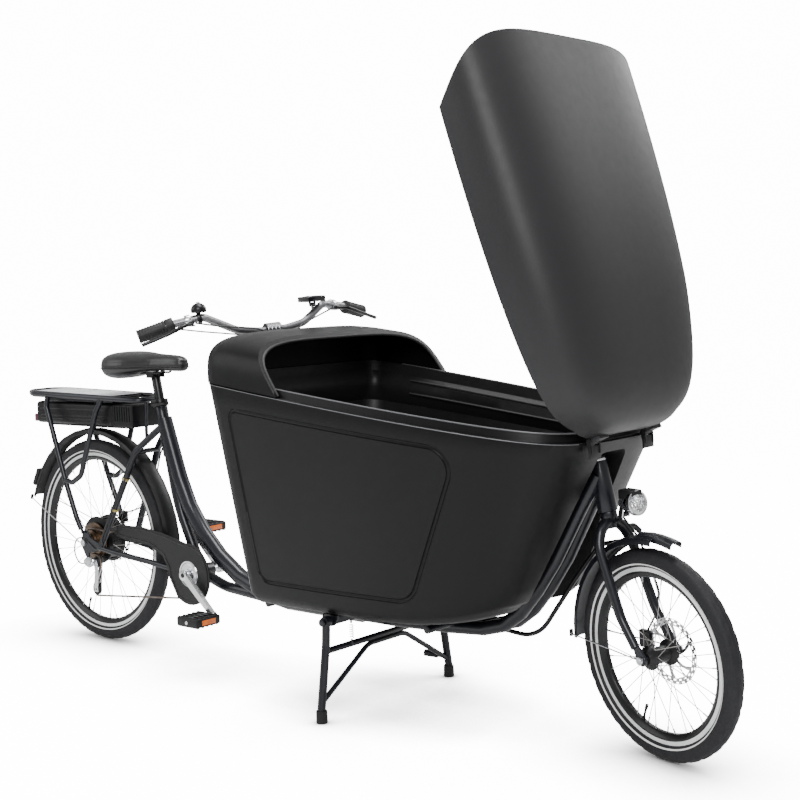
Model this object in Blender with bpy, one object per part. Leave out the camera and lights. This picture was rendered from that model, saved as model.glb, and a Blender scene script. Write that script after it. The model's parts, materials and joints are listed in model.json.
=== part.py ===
# Cargo bicycle with a hinged lid over a moulded box, built as separate named parts.
# Modelled with x forward, y to the rider's left, z up, in metres, and the origin on
# the ground under the rear axle.  Everything then hangs from one datum empty that
# moves the origin to the middle of the cargo floor.
import bpy
import bmesh
import math
from mathutils import Vector, Matrix

# ------------------------------------------------------------------ main dimensions
ACROSS = Vector((0, 1, 0))
UP = Vector((0, 0, 1))
SIDES = (-1, 1)
SIDE_NAME = {-1: 'right', 1: 'left'}

WHEELBASE = 2.122
REAR_R = 0.3325                              # tyre outside radius, 26 inch
FRONT_R = 0.2525                             # 20 inch
TYRE_TUBE_R = 0.0235
GAP = 0.0006                                 # clearance between tyre and rim
HEAD_ANGLE = math.radians(78.0)              # head tube and column tube, from level
HEAD_TOP = Vector((1.949, 0.0, 0.695))
COLUMN_TOP = Vector((0.853, 0.0, 1.019))     # handlebar clamp centre
STEER_ARM = 0.085                            # both steering arms, so the rod keeps its angle
STEER_REST = math.radians(-15.9)             # bars turned to the right
BB_X, BB_Z = 0.493, 0.276
BB = Vector((BB_X, 0.0, BB_Z))               # bottom bracket centre
SEAT_TOP = Vector((0.331, 0.0, 0.803))
SEAT_LOW = Vector((0.398, 0.0, 0.470))       # seat tube bends forward here
CRANK_LEN = 0.170
CRANK_REST = math.radians(-39.6)             # right crank, below the forward direction
CHAINRING_R, CHAIN_R = 0.0725, 0.0770        # 38 teeth
CHAIN_Y = -0.045
HINGE_X, HINGE_Z = 2.015, 0.757
HINGE = Vector((HINGE_X, 0.0, HINGE_Z))      # lid hinge axis
HINGE_Y = 0.117                              # sideways place of each hinge
RIM_SLOPE = 0.13                             # rim falls this much per metre forward
LID_OPEN = math.radians(66.0)
LID_LEN = 0.800
LID_OVER = 0.005                             # lid stands this far outside the rim
BACK_X_RIM, BACK_X_FLOOR = 0.923, 0.952      # back wall of the box
NOSE_X_RIM, NOSE_X_FLOOR = 2.013, 1.790      # front of the box
HALF_W_RIM, HALF_W_FLOOR = 0.347, 0.243      # half widths of the box
PIVOT_X, PIVOT_Z = 1.247, 0.262
PIVOT = Vector((PIVOT_X, 0.0, PIVOT_Z))      # stand pivot axis
FLOOR_T = 0.008
TUB_BOTTOM = 0.278
ORIGIN = (1.25, 0.0, TUB_BOTTOM + FLOOR_T)   # centre of the cargo floor

# ------------------------------------------------------------------ clean start
for old in list(bpy.data.objects):
    bpy.data.objects.remove(old, do_unlink=True)
for old in list(bpy.data.meshes):
    bpy.data.meshes.remove(old)
for old in list(bpy.data.materials):
    bpy.data.materials.remove(old)
COLLECTION = bpy.context.scene.collection


# ------------------------------------------------------------------ mesh objects and booleans
def add(bm):
    """Clean the bmesh and turn it into an object."""
    bmesh.ops.remove_doubles(bm, verts=bm.verts, dist=1e-6)
    bmesh.ops.dissolve_degenerate(bm, edges=bm.edges, dist=1e-7)
    bmesh.ops.recalc_face_normals(bm, faces=bm.faces)
    mesh = bpy.data.meshes.new('part')
    bm.to_mesh(mesh)
    bm.free()
    ob = bpy.data.objects.new('part', mesh)
    COLLECTION.objects.link(ob)
    return ob


def drop(ob):
    """Remove an object together with its mesh or curve."""
    data = ob.data
    bpy.data.objects.remove(ob, do_unlink=True)
    store = bpy.data.meshes if isinstance(data, bpy.types.Mesh) else bpy.data.curves
    store.remove(data)


def bake(ob):
    """Turn an object's curve or modifiers into a plain, clean mesh."""
    bpy.context.view_layer.update()
    depsgraph = bpy.context.evaluated_depsgraph_get()
    mesh = bpy.data.meshes.new_from_object(ob.evaluated_get(depsgraph))
    bm = bmesh.new()
    bm.from_mesh(mesh)
    bm.transform(ob.matrix_world)
    bpy.data.meshes.remove(mesh)
    drop(ob)
    bmesh.ops.remove_doubles(bm, verts=bm.verts, dist=2e-6)
    return add(bm)


def boolean(whole, tool, operation):
    modifier = whole.modifiers.new('boolean', 'BOOLEAN')
    modifier.operation = operation
    modifier.solver = 'EXACT'
    modifier.object = tool
    whole = bake(whole)
    drop(tool)
    return whole


def union(parts):
    whole = parts[0]
    for part in parts[1:]:
        whole = boolean(whole, part, 'UNION')
    return whole


def cut(whole, cutters):
    for cutter in cutters:
        whole = boolean(whole, cutter, 'DIFFERENCE')
    return whole


# ------------------------------------------------------------------ points and paths
def across(y):
    return Vector((0, y, 0))


def aim(direction):
    """Rotation that takes local Z to the direction."""
    return Vector(direction).to_track_quat('Z', 'Y').to_matrix().to_4x4()


def on_side(side, points):
    """Points given for the left side, put on the wanted side."""
    return [(x, y * side, z) for x, y, z in points]


def arc(x, z, radius, start, end, steps):
    """Points in the x-z plane, angles in degrees."""
    angles = [math.radians(start + (end - start) * k / steps) for k in range(steps + 1)]
    return [(x + radius * math.cos(a), z + radius * math.sin(a)) for a in angles]


def bend(points, radius, steps=4):
    """Straight runs joined by round bends, with one radius or a list of them."""
    points = [Vector(p) for p in points]
    radii = radius if isinstance(radius, list) else [radius] * len(points)
    path = [points[0]]
    for before, corner, after, r in zip(points, points[1:], points[2:], radii):
        back = (before - corner).normalized()
        ahead = (after - corner).normalized()
        half = back.angle(ahead) / 2
        reach = min(r / math.tan(half), 0.49 * (before - corner).length,
                    0.49 * (after - corner).length)
        r = reach * math.tan(half)
        centre = corner + (back + ahead).normalized() * (r / math.sin(half))
        first = corner + back * reach - centre
        last = corner + ahead * reach - centre
        turn = first.angle(last)
        axis = first.cross(last).normalized()
        for k in range(steps + 1):
            path.append(centre + Matrix.Rotation(turn * k / steps, 3, axis) @ first)
    path.append(points[-1])
    return path


# ------------------------------------------------------------------ solids
def box(lo, hi, bevel=0.0, segments=1, at=(0, 0, 0)):
    """Box between two opposite corners, both measured from the point at."""
    lo = [c + v for c, v in zip(at, lo)]
    hi = [c + v for c, v in zip(at, hi)]
    size = [abs(b - a) for a, b in zip(lo, hi)]
    middle = [(b + a) / 2 for a, b in zip(lo, hi)]
    bm = bmesh.new()
    bmesh.ops.create_cube(bm, size=1.0)
    bm.transform(Matrix.Translation(middle) @ Matrix.Diagonal((*size, 1.0)))
    if bevel:
        bmesh.ops.bevel(bm, geom=bm.edges[:], offset=bevel, segments=segments,
                        affect='EDGES', profile=0.5)
    return add(bm)


def rod(start, end, radius, sides=12, end_radius=None):
    start, end = Vector(start), Vector(end)
    bm = bmesh.new()
    bmesh.ops.create_cone(bm, cap_ends=True, cap_tris=False, segments=sides, radius1=radius,
                          radius2=radius if end_radius is None else end_radius,
                          depth=(end - start).length)
    bm.transform(Matrix.Translation((start + end) / 2) @ aim(end - start))
    return add(bm)


def rod_along(centre, axis, start, end, radius, sides=12):
    """Rod whose ends lie at two distances from centre along axis."""
    centre = Vector(centre)
    return rod(centre + axis * start, centre + axis * end, radius, sides)


def cross_rod(centre, start, end, radius, sides=12):
    return rod_along(centre, ACROSS, start, end, radius, sides)


def tube(path, radius, sides=8, cyclic=False, taper=1.0):
    """Round tube along a path; its far end is taper times as thick."""
    curve = bpy.data.curves.new('path', 'CURVE')
    curve.dimensions = '3D'
    spline = curve.splines.new('POLY')
    spline.points.add(len(path) - 1)
    for i, (point, place) in enumerate(zip(spline.points, path)):
        point.co = (*place, 1.0)
        point.radius = 1.0 + (taper - 1.0) * i / (len(path) - 1)
    spline.use_cyclic_u = cyclic
    curve.bevel_depth = radius
    curve.bevel_resolution = max(0, sides // 2 - 2)
    curve.use_fill_caps = not cyclic
    curve.resolution_u = 1
    ob = bpy.data.objects.new('path', curve)
    COLLECTION.objects.link(ob)
    return bake(ob)


def plate(outline, y0, y1, rounding=0.0):
    """Flat outline in the x-z plane, extruded across y."""
    y0, y1 = sorted((y0, y1))
    bm = bmesh.new()
    face = bm.faces.new([bm.verts.new((x, y0, z)) for x, z in outline])
    extruded = bmesh.ops.extrude_face_region(bm, geom=[face])['geom']
    bmesh.ops.translate(bm, vec=(0, y1 - y0, 0),
                        verts=[v for v in extruded if isinstance(v, bmesh.types.BMVert)])
    if rounding:
        long_edges = [e for e in bm.edges if abs(e.verts[0].co.y - e.verts[1].co.y) < 1e-6]
        bmesh.ops.bevel(bm, geom=long_edges, offset=rounding, segments=3,
                        affect='EDGES', profile=0.5)
    return add(bm)


def turned(profile, centre, steps, axis=ACROSS):
    """Closed profile of (radius, distance along the axis), spun about the axis."""
    bm = bmesh.new()
    verts = [bm.verts.new((radius, 0, height)) for radius, height in profile]
    edges = []
    for i in range(len(verts)):
        j = (i + 1) % len(verts)
        on_axis = profile[i][0] < 1e-9 and profile[j][0] < 1e-9
        if not on_axis:
            edges.append(bm.edges.new((verts[i], verts[j])))
    bmesh.ops.spin(bm, geom=verts + edges, cent=(0, 0, 0), axis=(0, 0, 1), dvec=(0, 0, 0),
                   angle=math.radians(360.0), steps=steps, use_duplicate=False)
    bmesh.ops.remove_doubles(bm, verts=bm.verts, dist=1e-7)
    bm.transform(Matrix.Translation(centre) @ aim(axis))
    return add(bm)


def vert_rows(bm, rows):
    return [[bm.verts.new(p) for p in row] for row in rows]


def skin(bm, rings):
    """Faces between each ring of vertices and the next."""
    for ring, following in zip(rings, rings[1:]):
        for i in range(len(ring)):
            j = (i + 1) % len(ring)
            bm.faces.new([ring[i], ring[j], following[j], following[i]])


def loft(rings, mirrored=False):
    """Closed skin through rings that all have the same number of points."""
    bm = bmesh.new()
    rows = vert_rows(bm, rings)
    skin(bm, rows)
    n = len(rings[0])
    for row in (rows[0], rows[-1]):
        if mirrored:                      # strips straight across, from one side to the other
            bm.faces.new(row[:4] + row[-3:])
            for k in range(3, n // 2):
                quad = [row[k], row[k + 1], row[n - k - 1], row[n - k]]
                bm.faces.new(list(dict.fromkeys(quad)))
        else:
            bm.faces.new(row)
    return add(bm)


def slab(outline, z0, z1):
    """Flat outline in the x-y plane between two heights."""
    return loft([[(x, y, z) for x, y in outline] for z in (z0, z1)])


def shell(outer, inner, end_wall=False):
    """Solid between two open grids of points; end_wall closes both over the last row."""
    bm = bmesh.new()
    out = vert_rows(bm, outer)
    ins = vert_rows(bm, inner)
    rows, columns = len(out), len(out[0])
    for i in range(rows - 1):
        for j in range(columns - 1):
            bm.faces.new([out[i][j], out[i][j + 1], out[i + 1][j + 1], out[i + 1][j]])
            bm.faces.new([ins[i][j], ins[i + 1][j], ins[i + 1][j + 1], ins[i][j + 1]])
    for i in range(rows - 1):
        bm.faces.new([out[i][0], out[i + 1][0], ins[i + 1][0], ins[i][0]])
        bm.faces.new([out[i][-1], ins[i][-1], ins[i + 1][-1], out[i + 1][-1]])
    for j in range(columns - 1):
        bm.faces.new([out[0][j], ins[0][j], ins[0][j + 1], out[0][j + 1]])
    if end_wall:
        bm.faces.new(out[-1])
        bm.faces.new(list(reversed(ins[-1])))
        bm.faces.new([out[-1][0], out[-1][-1], ins[-1][-1], ins[-1][0]])
    else:
        for j in range(columns - 1):
            bm.faces.new([out[-1][j], out[-1][j + 1], ins[-1][j + 1], ins[-1][j]])
    return add(bm)


# ------------------------------------------------------------------ materials
# name: base colour, roughness, metallic
FINISHES = {
    'frame_paint': ((0.022, 0.024, 0.032), 0.38, 0.25),
    'box_plastic': ((0.018, 0.018, 0.019), 0.55, 0.0),
    'lid_plastic': ((0.060, 0.060, 0.062), 0.45, 0.0),
    'black_plastic': ((0.012, 0.012, 0.013), 0.45, 0.0),
    'tyre_rubber': ((0.015, 0.015, 0.017), 0.80, 0.0),
    'grip_rubber': ((0.014, 0.014, 0.015), 0.75, 0.0),
    'rim_alloy': ((0.80, 0.81, 0.83), 0.30, 0.9),
    'polished_alloy': ((0.74, 0.75, 0.77), 0.22, 1.0),
    'bar_alloy': ((0.40, 0.40, 0.41), 0.40, 0.9),
    'black_alloy': ((0.020, 0.020, 0.022), 0.35, 0.6),
    'steel': ((0.55, 0.55, 0.57), 0.32, 1.0),
    'cassette_steel': ((0.26, 0.19, 0.14), 0.38, 1.0),
    'chain_steel': ((0.20, 0.17, 0.15), 0.45, 1.0),
    'saddle_vinyl': ((0.030, 0.030, 0.032), 0.50, 0.0),
    'lamp_chrome': ((0.85, 0.86, 0.88), 0.12, 1.0),
    'tail_red': ((0.35, 0.02, 0.02), 0.25, 0.0),
    'screen_black': ((0.008, 0.008, 0.010), 0.15, 0.0),
}


def make_material(name, colour, roughness, metallic):
    material = bpy.data.materials.new(name)
    material.use_nodes = True
    inputs = material.node_tree.nodes['Principled BSDF'].inputs
    inputs['Base Color'].default_value = (*colour, 1.0)
    inputs['Roughness'].default_value = roughness
    inputs['Metallic'].default_value = metallic
    material.diffuse_color = (*colour, 1.0)
    return material


MATERIALS = {name: make_material(name, *finish) for name, finish in FINISHES.items()}

# ------------------------------------------------------------------ places worked out
STEER_UP = Vector((-math.cos(HEAD_ANGLE), 0, math.sin(HEAD_ANGLE)))    # along both steering axes
STEER_FWD = Vector((math.sin(HEAD_ANGLE), 0, math.cos(HEAD_ANGLE)))    # forward, square to them
REAR = Vector((0, 0, REAR_R))
FRONT = Vector((WHEELBASE, 0, FRONT_R))


def head_at(z):
    """Point of the head tube axis at height z."""
    return HEAD_TOP + STEER_UP * ((z - HEAD_TOP.z) / STEER_UP.z)


def col_at(z):
    """Point of the column axis at height z."""
    return COLUMN_TOP + STEER_UP * ((z - COLUMN_TOP.z) / STEER_UP.z)


COL_ARM = col_at(0.256)                      # roots of the two steering arms
HEAD_ARM = head_at(0.500)
COL_EYE = COL_ARM + across(STEER_ARM)        # their ends, where the tie rod joins
HEAD_EYE = HEAD_ARM + across(STEER_ARM)
SEAT_DIR = (SEAT_TOP - SEAT_LOW).normalized()
SADDLE_PIVOT = SEAT_TOP + SEAT_DIR * 0.080
CLAMP_LEVER = SEAT_TOP + SEAT_DIR * (-0.010) + Vector((-0.005, -0.026, 0))
CRANK = Vector((math.cos(CRANK_REST), 0, math.sin(CRANK_REST))) * CRANK_LEN
JOCKEYS = {'upper': Vector((0.022, 0, 0.266)), 'lower': Vector((0.020, 0, 0.176))}
LAMP_PIVOT = head_at(0.560) + STEER_FWD * 0.052 + Vector((0, 0, 0.004))
DISPLAY_PIVOT = COLUMN_TOP + Vector((-0.025, 0.153, 0.058))

# left half of the handlebar from the clamp outward, from COLUMN_TOP, pointing straight ahead
BAR_HALF = [(0, 0.045, 0), (-0.010, 0.110, 0.010), (-0.040, 0.196, 0.056),
            (-0.070, 0.272, 0.044), (-0.104, 0.368, 0.017)]
# corners from the right end to the left end
BAR_PTS = [COLUMN_TOP + Vector(p) for p in on_side(-1, BAR_HALF[::-1]) + BAR_HALF]
BAR_PATH = bend(BAR_PTS, [0.20, 0.040, 0.07, 0.07, 0.07, 0.07, 0.040, 0.20], 2)


def on_bar(y):
    """Point and outward direction on the outer parts of the bar at sideways distance y."""
    half = BAR_PTS[4::-1] if y < 0 else BAR_PTS[5:]
    a, b = half[2:4] if abs(y) < 0.272 else half[3:5]
    return a + (b - a) * ((y - a.y) / (b.y - a.y)), (b - a).normalized()


def lever_pivot(side):
    return on_bar(0.236 * side)[0] + Vector((0.026, 0.0, -0.008))


def pedal_axis(side):
    return BB - CRANK * side


# ------------------------------------------------------------------ bodies that move on joints
BODIES = {'root': dict(parent=None, matrix=Matrix.Translation(ORIGIN), rest=0.0, parts=[])}


def body(name, parent, origin, axis=ACROSS, rest=0.0):
    """Body whose local Z is its joint axis, turned by rest about it."""
    BODIES[name] = dict(parent=parent, matrix=Matrix.Translation(origin) @ aim(axis),
                        rest=rest, parts=[])


body('rear_wheel', 'root', REAR)
body('cassette', 'root', REAR)
body('crankset', 'root', BB)
body('pedal_right_body', 'crankset', pedal_axis(-1))
body('pedal_left_body', 'crankset', pedal_axis(1))
body('jockey_upper_body', 'root', JOCKEYS['upper'] + across(CHAIN_Y))
body('jockey_lower_body', 'root', JOCKEYS['lower'] + across(CHAIN_Y))
body('column', 'root', COLUMN_TOP, STEER_UP, STEER_REST)
body('rod_body', 'column', COL_EYE, STEER_UP, -STEER_REST)
body('fork_body', 'root', HEAD_ARM, STEER_UP, STEER_REST)
body('front_wheel', 'fork_body', FRONT)
body('lamp_body', 'fork_body', LAMP_PIVOT)
body('brake_lever_right_body', 'column', lever_pivot(-1), UP)
body('brake_lever_left_body', 'column', lever_pivot(1), UP)
body('shifter_body', 'column', *on_bar(-0.2755))
body('display_body', 'column', DISPLAY_PIVOT)
body('display_button_body', 'display_body', DISPLAY_PIVOT, UP)
body('lid_body', 'root', HINGE, rest=LID_OPEN)
body('stand_body', 'root', PIVOT)
body('seatpost_body', 'root', SEAT_TOP, SEAT_DIR)
body('saddle_body', 'seatpost_body', SADDLE_PIVOT)
body('seat_lever_body', 'root', CLAMP_LEVER, UP)
body('battery_body', 'root', (-0.05, 0, 0.75), (-1, 0, 0))


def give(name, body_name, material, ob):
    """Name a finished piece and hand it to its body."""
    ob.name = name
    ob.data.name = name
    ob.data.materials.clear()
    ob.data.materials.append(MATERIALS[material])
    BODIES[body_name]['parts'].append(ob)


# ================================================================== frame
# tube paths (x, y, z); paired tubes are given for the left side
SEAT_SLEEVE = (0.366, 0, 0.629)              # bottom of the wide upper seat tube
MAIN_TUBE = [
    (0.3465, 0, 0.745), (0.378, 0, 0.652), (0.409, 0, 0.562), (0.449, 0, 0.477),
    (0.508, 0, 0.398), (0.580, 0, 0.331), (0.665, 0, 0.277), (0.765, 0, 0.241),
    (0.8735, 0, 0.2265), (1.165, 0, 0.2265)]
TWIN_TUBE = [
    (1.0880, 0.028, 0.2335), (1.30, 0.028, 0.2335), (1.49, 0.028, 0.240), (1.61, 0.028, 0.249),
    (1.677, 0.028, 0.267), (1.728, 0.028, 0.305), (1.782, 0.028, 0.369), (1.837, 0.027, 0.449),
    (1.923, 0.022, 0.602), (1.952, 0.009, 0.662)]
SEATSTAY = [(0.350, 0.013, 0.722), (0.255, 0.044, 0.645), (0.082, 0.0705, 0.327)]
CHAINSTAY = [(BB_X - 0.012, 0.020, BB_Z), (0.430, 0.0310, 0.274), (0.285, 0.0415, 0.292),
             (0.150, 0.0690, 0.312), (0.070, 0.0705, 0.322)]
# outlines (x, z)
DROPOUT_TAB = [(0.085, 0.314), (0.092, 0.330), (0.030, 0.3500), (0.012, 0.374), (-0.004, 0.372)]
DROPOUTS = {
    -1: [(-0.019, 0.336), (-0.016, 0.318), (-0.006, 0.300), (0.004, 0.286), (0.016, 0.286),
         (0.020, 0.300)] + DROPOUT_TAB + [(-0.014, 0.350)],
    1: arc(0, REAR_R, 0.019, 150, 300, 6) + DROPOUT_TAB}
GUSSET = [(0.8610, 0.2350), (1.0612, 0.2350), (1.0612, 0.2438), (1.0210, 0.2718),
          (0.9907, 0.2739), (0.8610, 0.2507)]


def build_main_frame():
    parts = [rod(SEAT_SLEEVE, SEAT_TOP, 0.0195, 14),
             tube(bend([SEAT_SLEEVE, SEAT_LOW, BB], 0.5, 3), 0.0165, 10),
             tube(MAIN_TUBE, 0.0248, 10)]
    parts += [tube(on_side(side, TWIN_TUBE), 0.0185) for side in SIDES]
    parts += [box((1.097, -0.0335, 0.2215), (1.172, 0.0335, 0.2485)),     # joins main and twins
              cross_rod(BB, -0.036, 0.036, 0.0225, 14),
              tube(bend([(BB_X, 0, BB_Z - 0.004), (0.60, 0, 0.240), (0.84, 0, 0.2230)],
                        0.2, 2), 0.016)]
    for side in SIDES:
        parts += [tube(bend(on_side(side, SEATSTAY), 0.07), 0.0108),
                  tube(bend(on_side(side, CHAINSTAY), [0.06, 0.3, 0.12], 2), 0.0090),
                  plate(DROPOUTS[side], 0.068 * side, 0.074 * side)]
    parts += [cross_rod((0.256, 0, 0.640), -0.044, 0.044, 0.008, 8),      # seatstay bridge
              rod(col_at(0.272), col_at(0.800), 0.0185, 14),
              plate(GUSSET, -0.0057, 0.0057),
              rod(head_at(0.575), head_at(0.695), 0.0240, 16, 0.0215),
              cross_rod((0.955, 0, 0.262), -0.165, 0.165, 0.010, 8),      # cross tubes under
              cross_rod((1.52, 0, 0.258), -0.150, 0.150, 0.010, 8)]       # the box
    bores = [rod_along(SEAT_TOP, SEAT_DIR, -0.172, 0.03, 0.0156, 14),
             cross_rod(BB, -0.06, 0.06, 0.0122),
             rod(head_at(0.55), head_at(0.72), 0.0152),
             rod(col_at(0.236), col_at(0.82), 0.0138, 14),
             cross_rod(REAR, -0.09, 0.09, 0.0067)]
    give('main_frame', 'root', 'frame_paint', cut(union(parts), bores))


def build_stand_bracket():
    """Beam across the frame that carries the stand pivots."""
    parts = [box((1.229, -0.214, 0.2530), (1.265, 0.214, 0.2765), 0.002)]
    ear = [(1.222, 0.2765), (1.272, 0.2765), (1.268, PIVOT_Z)]
    ear += arc(PIVOT_X, PIVOT_Z, 0.016, -20, -160, 6) + [(1.226, PIVOT_Z)]
    for side in SIDES:
        parts += [plate(ear, 0.208 * side, 0.2155 * side),
                  cross_rod(PIVOT, 0.210 * side, 0.2500 * side, 0.0060),      # pin
                  cross_rod(PIVOT, 0.2462 * side, 0.2520 * side, 0.0100)]     # its head
    parts += [rod((1.205, -0.196, 0.2640), (1.232, -0.196, 0.2640), 0.009, 10),   # bumper
              rod((1.258, -0.150, 0.256), (1.258, -0.150, 0.243), 0.003, 6)]      # spring hook
    give('stand_bracket', 'root', 'frame_paint', union(parts))


# ================================================================== moulded box
# side of the box in plan: fraction of the length from the back, fraction of the half width
SIDE_SHAPE = [
    (0.085, 1.000), (0.18, 1.008), (0.30, 1.004), (0.42, 0.992), (0.54, 0.970), (0.64, 0.940),
    (0.73, 0.900), (0.81, 0.850), (0.875, 0.790), (0.925, 0.715), (0.958, 0.630),
    (0.980, 0.530), (0.992, 0.420), (0.998, 0.270)]
# rings of the tub skins: height fraction (0 floor, 1 rim), inset, lift
OUTER_RINGS = [
    (0.0, 0.046, 0), (0.0, 0.020, 0.004), (0.012, 0.006, 0.010), (0.06, 0, 0), (0.30, 0, 0),
    (0.55, 0, 0), (0.80, 0, 0), (1.0, 0, 0), (1.0, 0.0135, 0), (1.0, 0.0145, 0.021)]
INNER_RINGS = [
    (0.0, 0.058, FLOOR_T), (0.0, 0.034, FLOOR_T + 0.002), (0.03, 0.013, 0.010),
    (0.30, 0.0075, 0), (0.55, 0.0075, 0), (0.84, 0.0075, 0), (0.90, 0.034, 0),
    (0.955, 0.036, 0), (0.985, 0.022, 0), (1.0, 0.0215, 0.060)]
TUB_WALL = 0.008                             # wall left round the recesses
# corners (x, z) of the grooved panel: top back, top front, bottom front, bottom back
PANEL = [(1.018, 0.824), (1.755, 0.742), (1.552, 0.350), (1.030, 0.350)]
PANEL_START = (1.30, 0.3495)                 # on its bottom edge


def tub_top(x):
    """Height of the tub wall, just below the sloping rim line."""
    return HINGE_Z + (HINGE_X - x) * RIM_SLOPE - 0.004


def tub_span(height):
    """Back x, front x and half width at a height fraction."""
    return (BACK_X_FLOOR + (BACK_X_RIM - BACK_X_FLOOR) * height,
            NOSE_X_FLOOR + (NOSE_X_RIM - NOSE_X_FLOOR) * height ** 0.93,
            HALF_W_FLOOR + (HALF_W_RIM - HALF_W_FLOOR) * height)


def side_width(u):
    """Width fraction of SIDE_SHAPE at length fraction u."""
    if u < SIDE_SHAPE[0][0]:
        return 1.0
    for (u0, v0), (u1, v1) in zip(SIDE_SHAPE, SIDE_SHAPE[1:]):
        if u <= u1:
            return v0 + (v1 - v0) * (u - u0) / (u1 - u0)
    return SIDE_SHAPE[-1][1]


def blunt(width, height):
    """The nose is blunter low down than at the rim."""
    return width ** (1 - 0.4 * (1 - height))


def tub_ring(height, inset, lift):
    """Square rear with round corners, sides drawing in to a blunt nose."""
    back, front, half = tub_span(height)
    back, front, half = back + inset, front - inset, half - inset
    corner = max(0.050 + 0.015 * height - inset, 0.006)
    right = [(back, -0.45 * (half - corner))]
    right += arc(back + corner, corner - half, corner, 180, 270, 4)
    right += [(back + u * (front - back), -half * blunt(v, height)) for u, v in SIDE_SHAPE[1:]]
    plan = [(back, 0.0)] + right + [(front, 0.0)] + [(x, -y) for x, y in reversed(right)]
    ring = []
    for x, y in plan:
        nose = max(0.0, x - 1.42) / 0.36         # the floor rises towards the front
        bottom = TUB_BOTTOM + 0.052 * min(1.0, nose) ** 2
        ring.append((x, y, bottom + (tub_top(x) - bottom) * height + lift))
    return ring


def centre_tunnel(grow):
    """Recess from below and in front, along the centre line."""
    tunnel = plate([(1.50 - grow, 0.16), (1.630 - grow, 0.2840 + grow),
                    (1.7150 - 0.7 * grow, 0.350 + 0.8 * grow),
                    (1.895 - 0.8 * grow, 0.650 + grow), (1.918 - 0.8 * grow, 0.722 + grow),
                    (2.20, 0.722 + grow), (2.20, 0.16)], -0.060 - grow, 0.060 + grow, 0.022)
    for vertex in tunnel.data.vertices:          # wider towards the bottom
        vertex.co.y *= 1.0 + max(0.0, 0.70 - vertex.co.z) * 1.8
    return tunnel


def left_tunnel(grow):
    """Lower recess beside it, on the left."""
    return plate([(1.50 - grow, 0.16), (1.60 - grow, 0.262 + grow),
                  (1.690 - 0.7 * grow, 0.316 + grow), (1.770 - 0.8 * grow, 0.52 + grow),
                  (2.20, 0.52 + grow), (2.20, 0.16)], 0.02, 0.106 + grow)


def recesses(grow):
    """Both tunnels and the channel for the column in the back wall."""
    shift = STEER_FWD * 0.006
    channel = rod(col_at(0.20) - shift, col_at(0.93) - shift, 0.028 + grow)
    return [centre_tunnel(grow), left_tunnel(grow), channel]


def panel_groove(side):
    """Cutter that runs round the side panel on the outer skin."""
    top_back, top_front, bottom_front, bottom_back = PANEL
    corners = [PANEL_START, bottom_back, top_back, top_front, bottom_front, PANEL_START]
    path = bend([(x, 0, z) for x, z in corners], [0.035, 0.030, 0.055, 0.070], 2)[:-1]
    points = []
    for p in path:
        height = (p.z - TUB_BOTTOM) / (tub_top(p.x) - TUB_BOTTOM)
        back, front, half = tub_span(height)
        width = half * blunt(side_width((p.x - back) / (front - back)), height)
        points.append((p.x, side * (width + 0.0025), p.z))
    return tube(points, 0.0062, 4, cyclic=True)


def build_tub():
    tub = loft([tub_ring(*row) for row in OUTER_RINGS], mirrored=True)
    cavity = loft([tub_ring(*row) for row in INNER_RINGS], mirrored=True)
    cavity = cut(cavity, recesses(TUB_WALL))
    hinge_room = box((2.0030, -0.1450, 0.7490), (2.0600, 0.1450, 0.8200))
    tub = cut(tub, [cavity] + recesses(0.0) + [hinge_room])
    tub = cut(tub, [panel_groove(side) for side in SIDES])
    give('box_tub', 'root', 'box_plastic', tub)


# ------------------------------------------------------------------ lid, hood and hinges
# rim-plane coordinates: run back from the hinge along the rim, height square to it
RIM_BACK = Vector((-1, 0, RIM_SLOPE)).normalized()
RIM_UP = Vector((RIM_SLOPE, 0, 1)).normalized()
REAR_RUN = (HINGE_X - BACK_X_RIM) / (-RIM_BACK.x)
REAR_LEAN = 0.95                             # lid's rear edge runs back this much per height
LID_T = 0.006
LID_LIFT = 0.0008                            # clearance over the rim
LID_ARCH, HOOD_ARCH = 3.6, 4.2               # higher is boxier
# run, fraction of the half width, height
LID_STATIONS = [
    (0.006, 0.54, 0.028), (0.010, 0.71, 0.056), (0.026, 0.89, 0.084), (0.060, 0.985, 0.106),
    (0.115, 1.0, 0.126), (0.200, 1.0, 0.142), (0.320, 1.0, 0.155), (0.450, 1.0, 0.160),
    (0.580, 1.0, 0.159), (0.700, 1.0, 0.155), (LID_LEN, 1.0, 0.150)]
HOOD_H = 0.134
HOOD_SIDE_T, HOOD_TOP_T, HOOD_BACK_T = 0.0105, 0.0080, 0.0085
# run, change of half width, height, lean back per unit of height
HOOD_STATIONS = [
    (LID_LEN + 0.004, 0, HOOD_H, REAR_LEAN), (0.90, 0, HOOD_H, 0.60), (0.97, 0, HOOD_H, 0.30),
    (REAR_RUN - 0.062, 0, HOOD_H - 0.003, 0.131),
    (REAR_RUN - 0.030, -0.008, HOOD_H - 0.010, 0.131),
    (REAR_RUN - 0.010, -0.026, HOOD_H - 0.024, 0.131),
    (REAR_RUN - 0.001, -0.052, HOOD_H - 0.046, 0.131)]


def rim_point(run, y, height):
    return HINGE + RIM_BACK * run + across(y) + RIM_UP * height


def half_width(run):
    x = HINGE.x + RIM_BACK.x * run
    return HALF_W_RIM * side_width((x - BACK_X_RIM) / (NOSE_X_RIM - BACK_X_RIM))


def arch(half, height, power, steps=18):
    """Points (y, height) of a boxy arch from the right edge over to the left edge."""
    points = []
    for k in range(steps + 1):
        angle = math.pi * k / steps
        angle -= 0.08 * math.sin(4 * angle)
        cosine, sine = math.cos(angle), math.sin(angle)
        points.append((-half * math.copysign(abs(cosine) ** (2 / power), cosine),
                       height * abs(sine) ** (2 / power)))
    return points


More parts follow.
